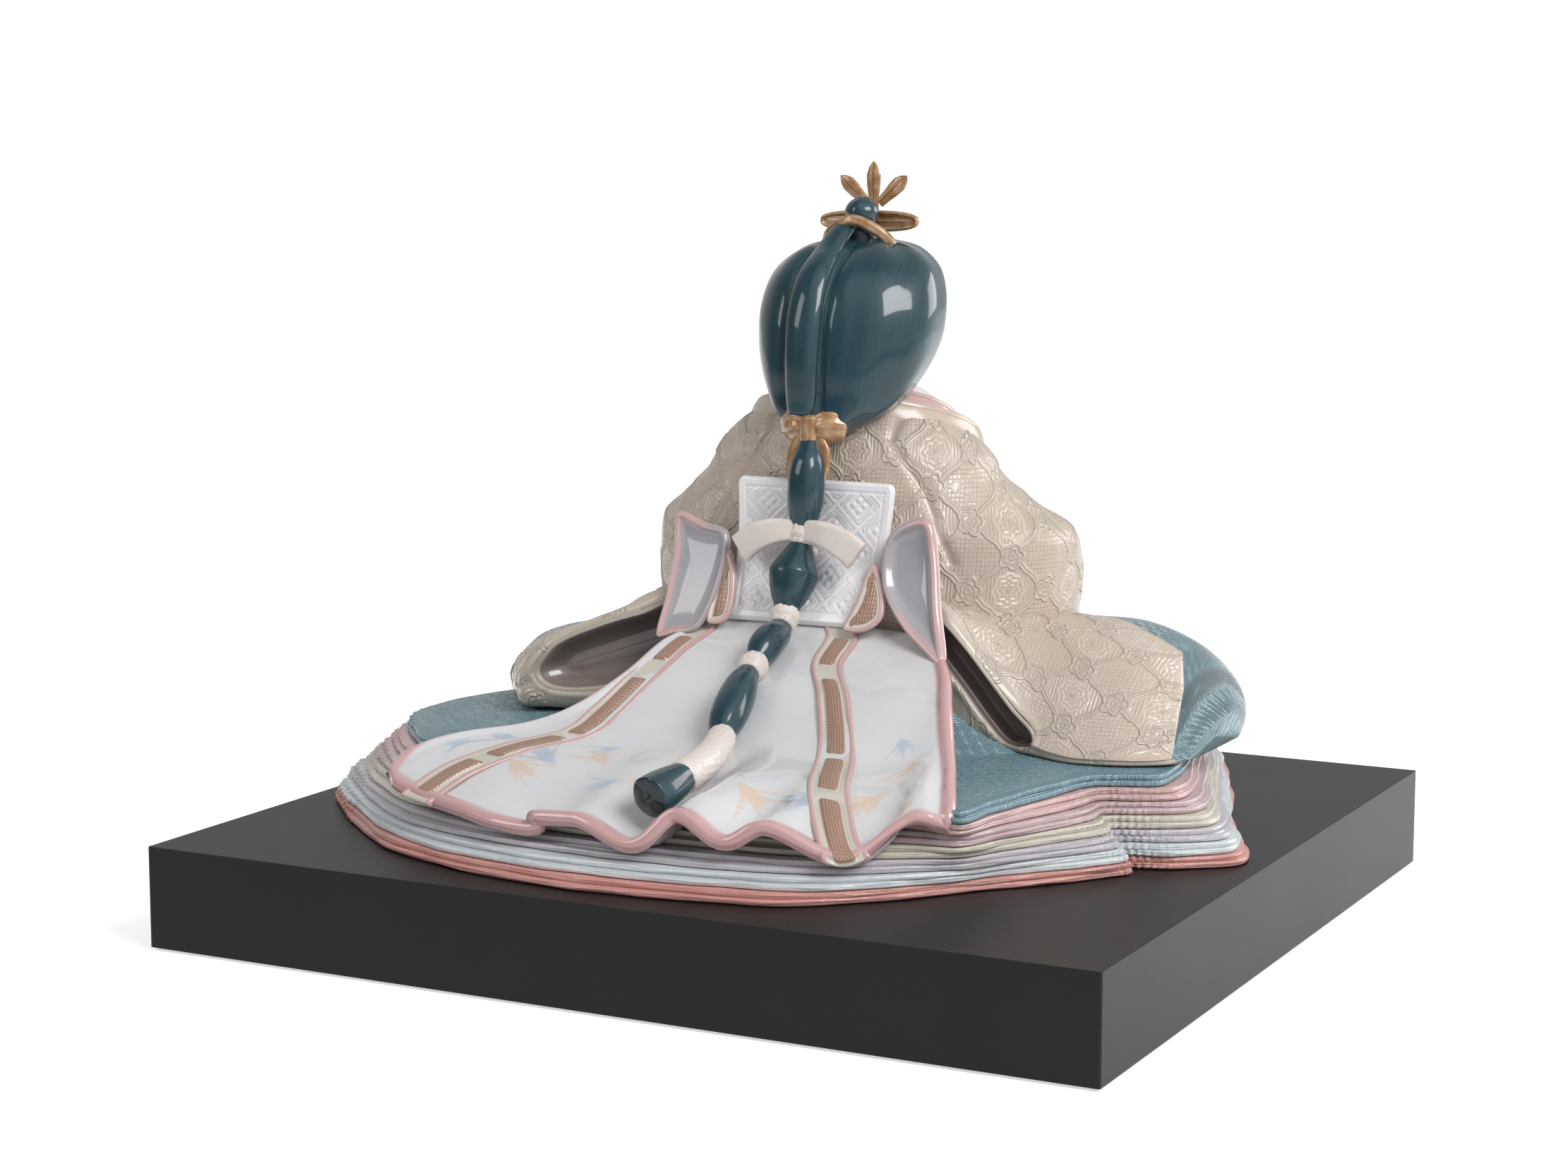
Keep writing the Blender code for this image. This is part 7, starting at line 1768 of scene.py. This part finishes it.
def stage():
    """Pale floor, white to the camera, that keeps its shadow, and a white world with a plain level of light."""
    mesh = bpy.data.meshes.new("studio_floor")
    reach = 6.0
    corners = [(x * reach, y * reach, 0) for x, y in ((-1, -1), (1, -1), (1, 1), (-1, 1))]
    mesh.from_pydata(corners, [], [(0, 1, 2, 3)])
    floor = placed("studio_floor", mesh)
    made = bpy.data.materials.new("studio_floor")
    made.use_nodes = True
    tree = made.node_tree
    shader = tree.nodes["Principled BSDF"]
    start = Value(tree)
    seen = start.node("ShaderNodeLightPath")
    grain = start.noise(3.0).mix((0.80, 0.80, 0.80, 1), (0.82, 0.82, 0.82, 1))
    tree.links.new(grain.socket, shader.inputs["Base Color"])
    shader.inputs["Roughness"].default_value = 0.9
    shader.inputs["Specular IOR Level"].default_value = 0.0
    away = start.node("ShaderNodeSeparateXYZ", None, {0: start.place()}, output=1).between(0.5, -0.3)
    mirrored = Value(tree, seen.socket.node.outputs["Is Glossy Ray"]) * (away * 0.62 + 0.16)
    far = start.node("ShaderNodeVectorMath", {"operation": "LENGTH"}, {0: start.place()}, output=1).between(0.30, 1.30)
    shown = seen * (far * 0.40 + 0.60) + mirrored
    white = shown.mix((0, 0, 0, 1), (1, 1, 1, 1))
    tree.links.new(white.socket, shader.inputs["Emission Color"])
    shader.inputs["Emission Strength"].default_value = 1.0
    mesh.materials.append(made)

    world = bpy.data.worlds.new("studio")
    bpy.context.scene.world = world
    world.use_nodes = True
    tree = world.node_tree
    back = tree.nodes["Background"]
    rays = tree.nodes.new("ShaderNodeLightPath").outputs
    start = Value(tree)
    heading = start.node("ShaderNodeTexCoord")
    mirrored = 0.07
    for direction, low, high, bright in WINDOWS:
        towards = start.node("ShaderNodeVectorMath", {"operation": "DOT_PRODUCT"}, {0: heading, 1: direction}, output=1)
        mirrored = towards.between(low, high) * bright + mirrored
    direct = Value(tree, rays["Is Camera Ray"]).math("MAXIMUM", Value(tree, rays["Is Transmission Ray"]))
    glossy = Value(tree, rays["Is Glossy Ray"])
    shown = direct.math("MAXIMUM", glossy * mirrored).math("MAXIMUM", (1 - glossy) * 0.30)
    tree.links.new(shown.socket, back.inputs["Strength"])
    back.inputs["Color"].default_value = (1, 1, 1, 1)


def lamp(name, place, aim, size, watts):
    light = bpy.data.lights.new(name, "AREA")
    light.shape = "RECTANGLE"
    light.size, light.size_y = size
    light.energy = watts
    made = placed(name, light)
    made.location = place
    made.rotation_euler = (Vector(aim) - Vector(place)).to_track_quat("-Z", "Y").to_euler()


CAMERA_PLACE = (-0.54796, 1.08693, 0.30787)
CAMERA_TURN = (0.477851, 0.145275)  # yaw and pitch in radians
CAMERA_LENS = 71.70


def camera():
    """The photograph's viewpoint, fitted to the plinth's corners."""
    yaw, pitch = CAMERA_TURN
    data = bpy.data.cameras.new("photo_camera")
    data.sensor_width, data.lens = 36.0, CAMERA_LENS
    made = placed("photo_camera", data)
    made.location = CAMERA_PLACE
    look = Vector((math.sin(yaw) * math.cos(pitch), -math.cos(yaw) * math.cos(pitch), -math.sin(pitch)))
    made.rotation_euler = look.to_track_quat("-Z", "Y").to_euler()
    bpy.context.scene.camera = made


hem_layers()
over_robe()
jacket()
sleeve("right", -1, RIGHT_SLEEVE_SHARES, SLEEVE_REACH, RIGHT_MOUTH_SHARES,
       ((0.066, ROBE_FLOOR + 0.042), (0.094, ROBE_FLOOR + 0.0095)))
sleeve("left", 1, LEFT_SLEEVE_SHARES, LEFT_SLEEVE_REACH, LEFT_MOUTH_SHARES,
       ((0.064, ROBE_FLOOR + 0.034), (0.098, ROBE_FLOOR + 0.022)))
cloth = train()
ribbon("right", RIGHT_RIBBON_SHARES, cloth, ((0.07, 0.19), (0.26, 0.56), (0.585, 0.745), (0.79, 0.985)))
ribbon("left", LEFT_RIBBON_SHARES, cloth, ((0.11, 0.23), (0.31, 0.55), (0.585, 0.76), (0.80, 0.97)))
back_panel()
bows_and_tabs()
bound_hair()
paper_bow(TAIL_PATH_SHARES)
nape_bow()
head()
hair()
hair_strand()
topknot_and_crown()
collars()
cuffs_and_hands()
folding_fan()
carried_over()
stage()
lamp("key", (-1.25, 0.50, 1.25), (0.0, 0.0, 0.12), (0.8, 0.8), 21.0)
lamp("fill", (1.00, 1.15, 1.00), (0.0, 0.0, 0.10), (0.6, 0.9), 6.5)
lamp("rim", (-0.95, -1.10, 0.60), (0.0, 0.0, 0.10), (0.9, 0.7), 9.0)
camera()
bpy.context.scene.view_settings.view_transform = "Standard"
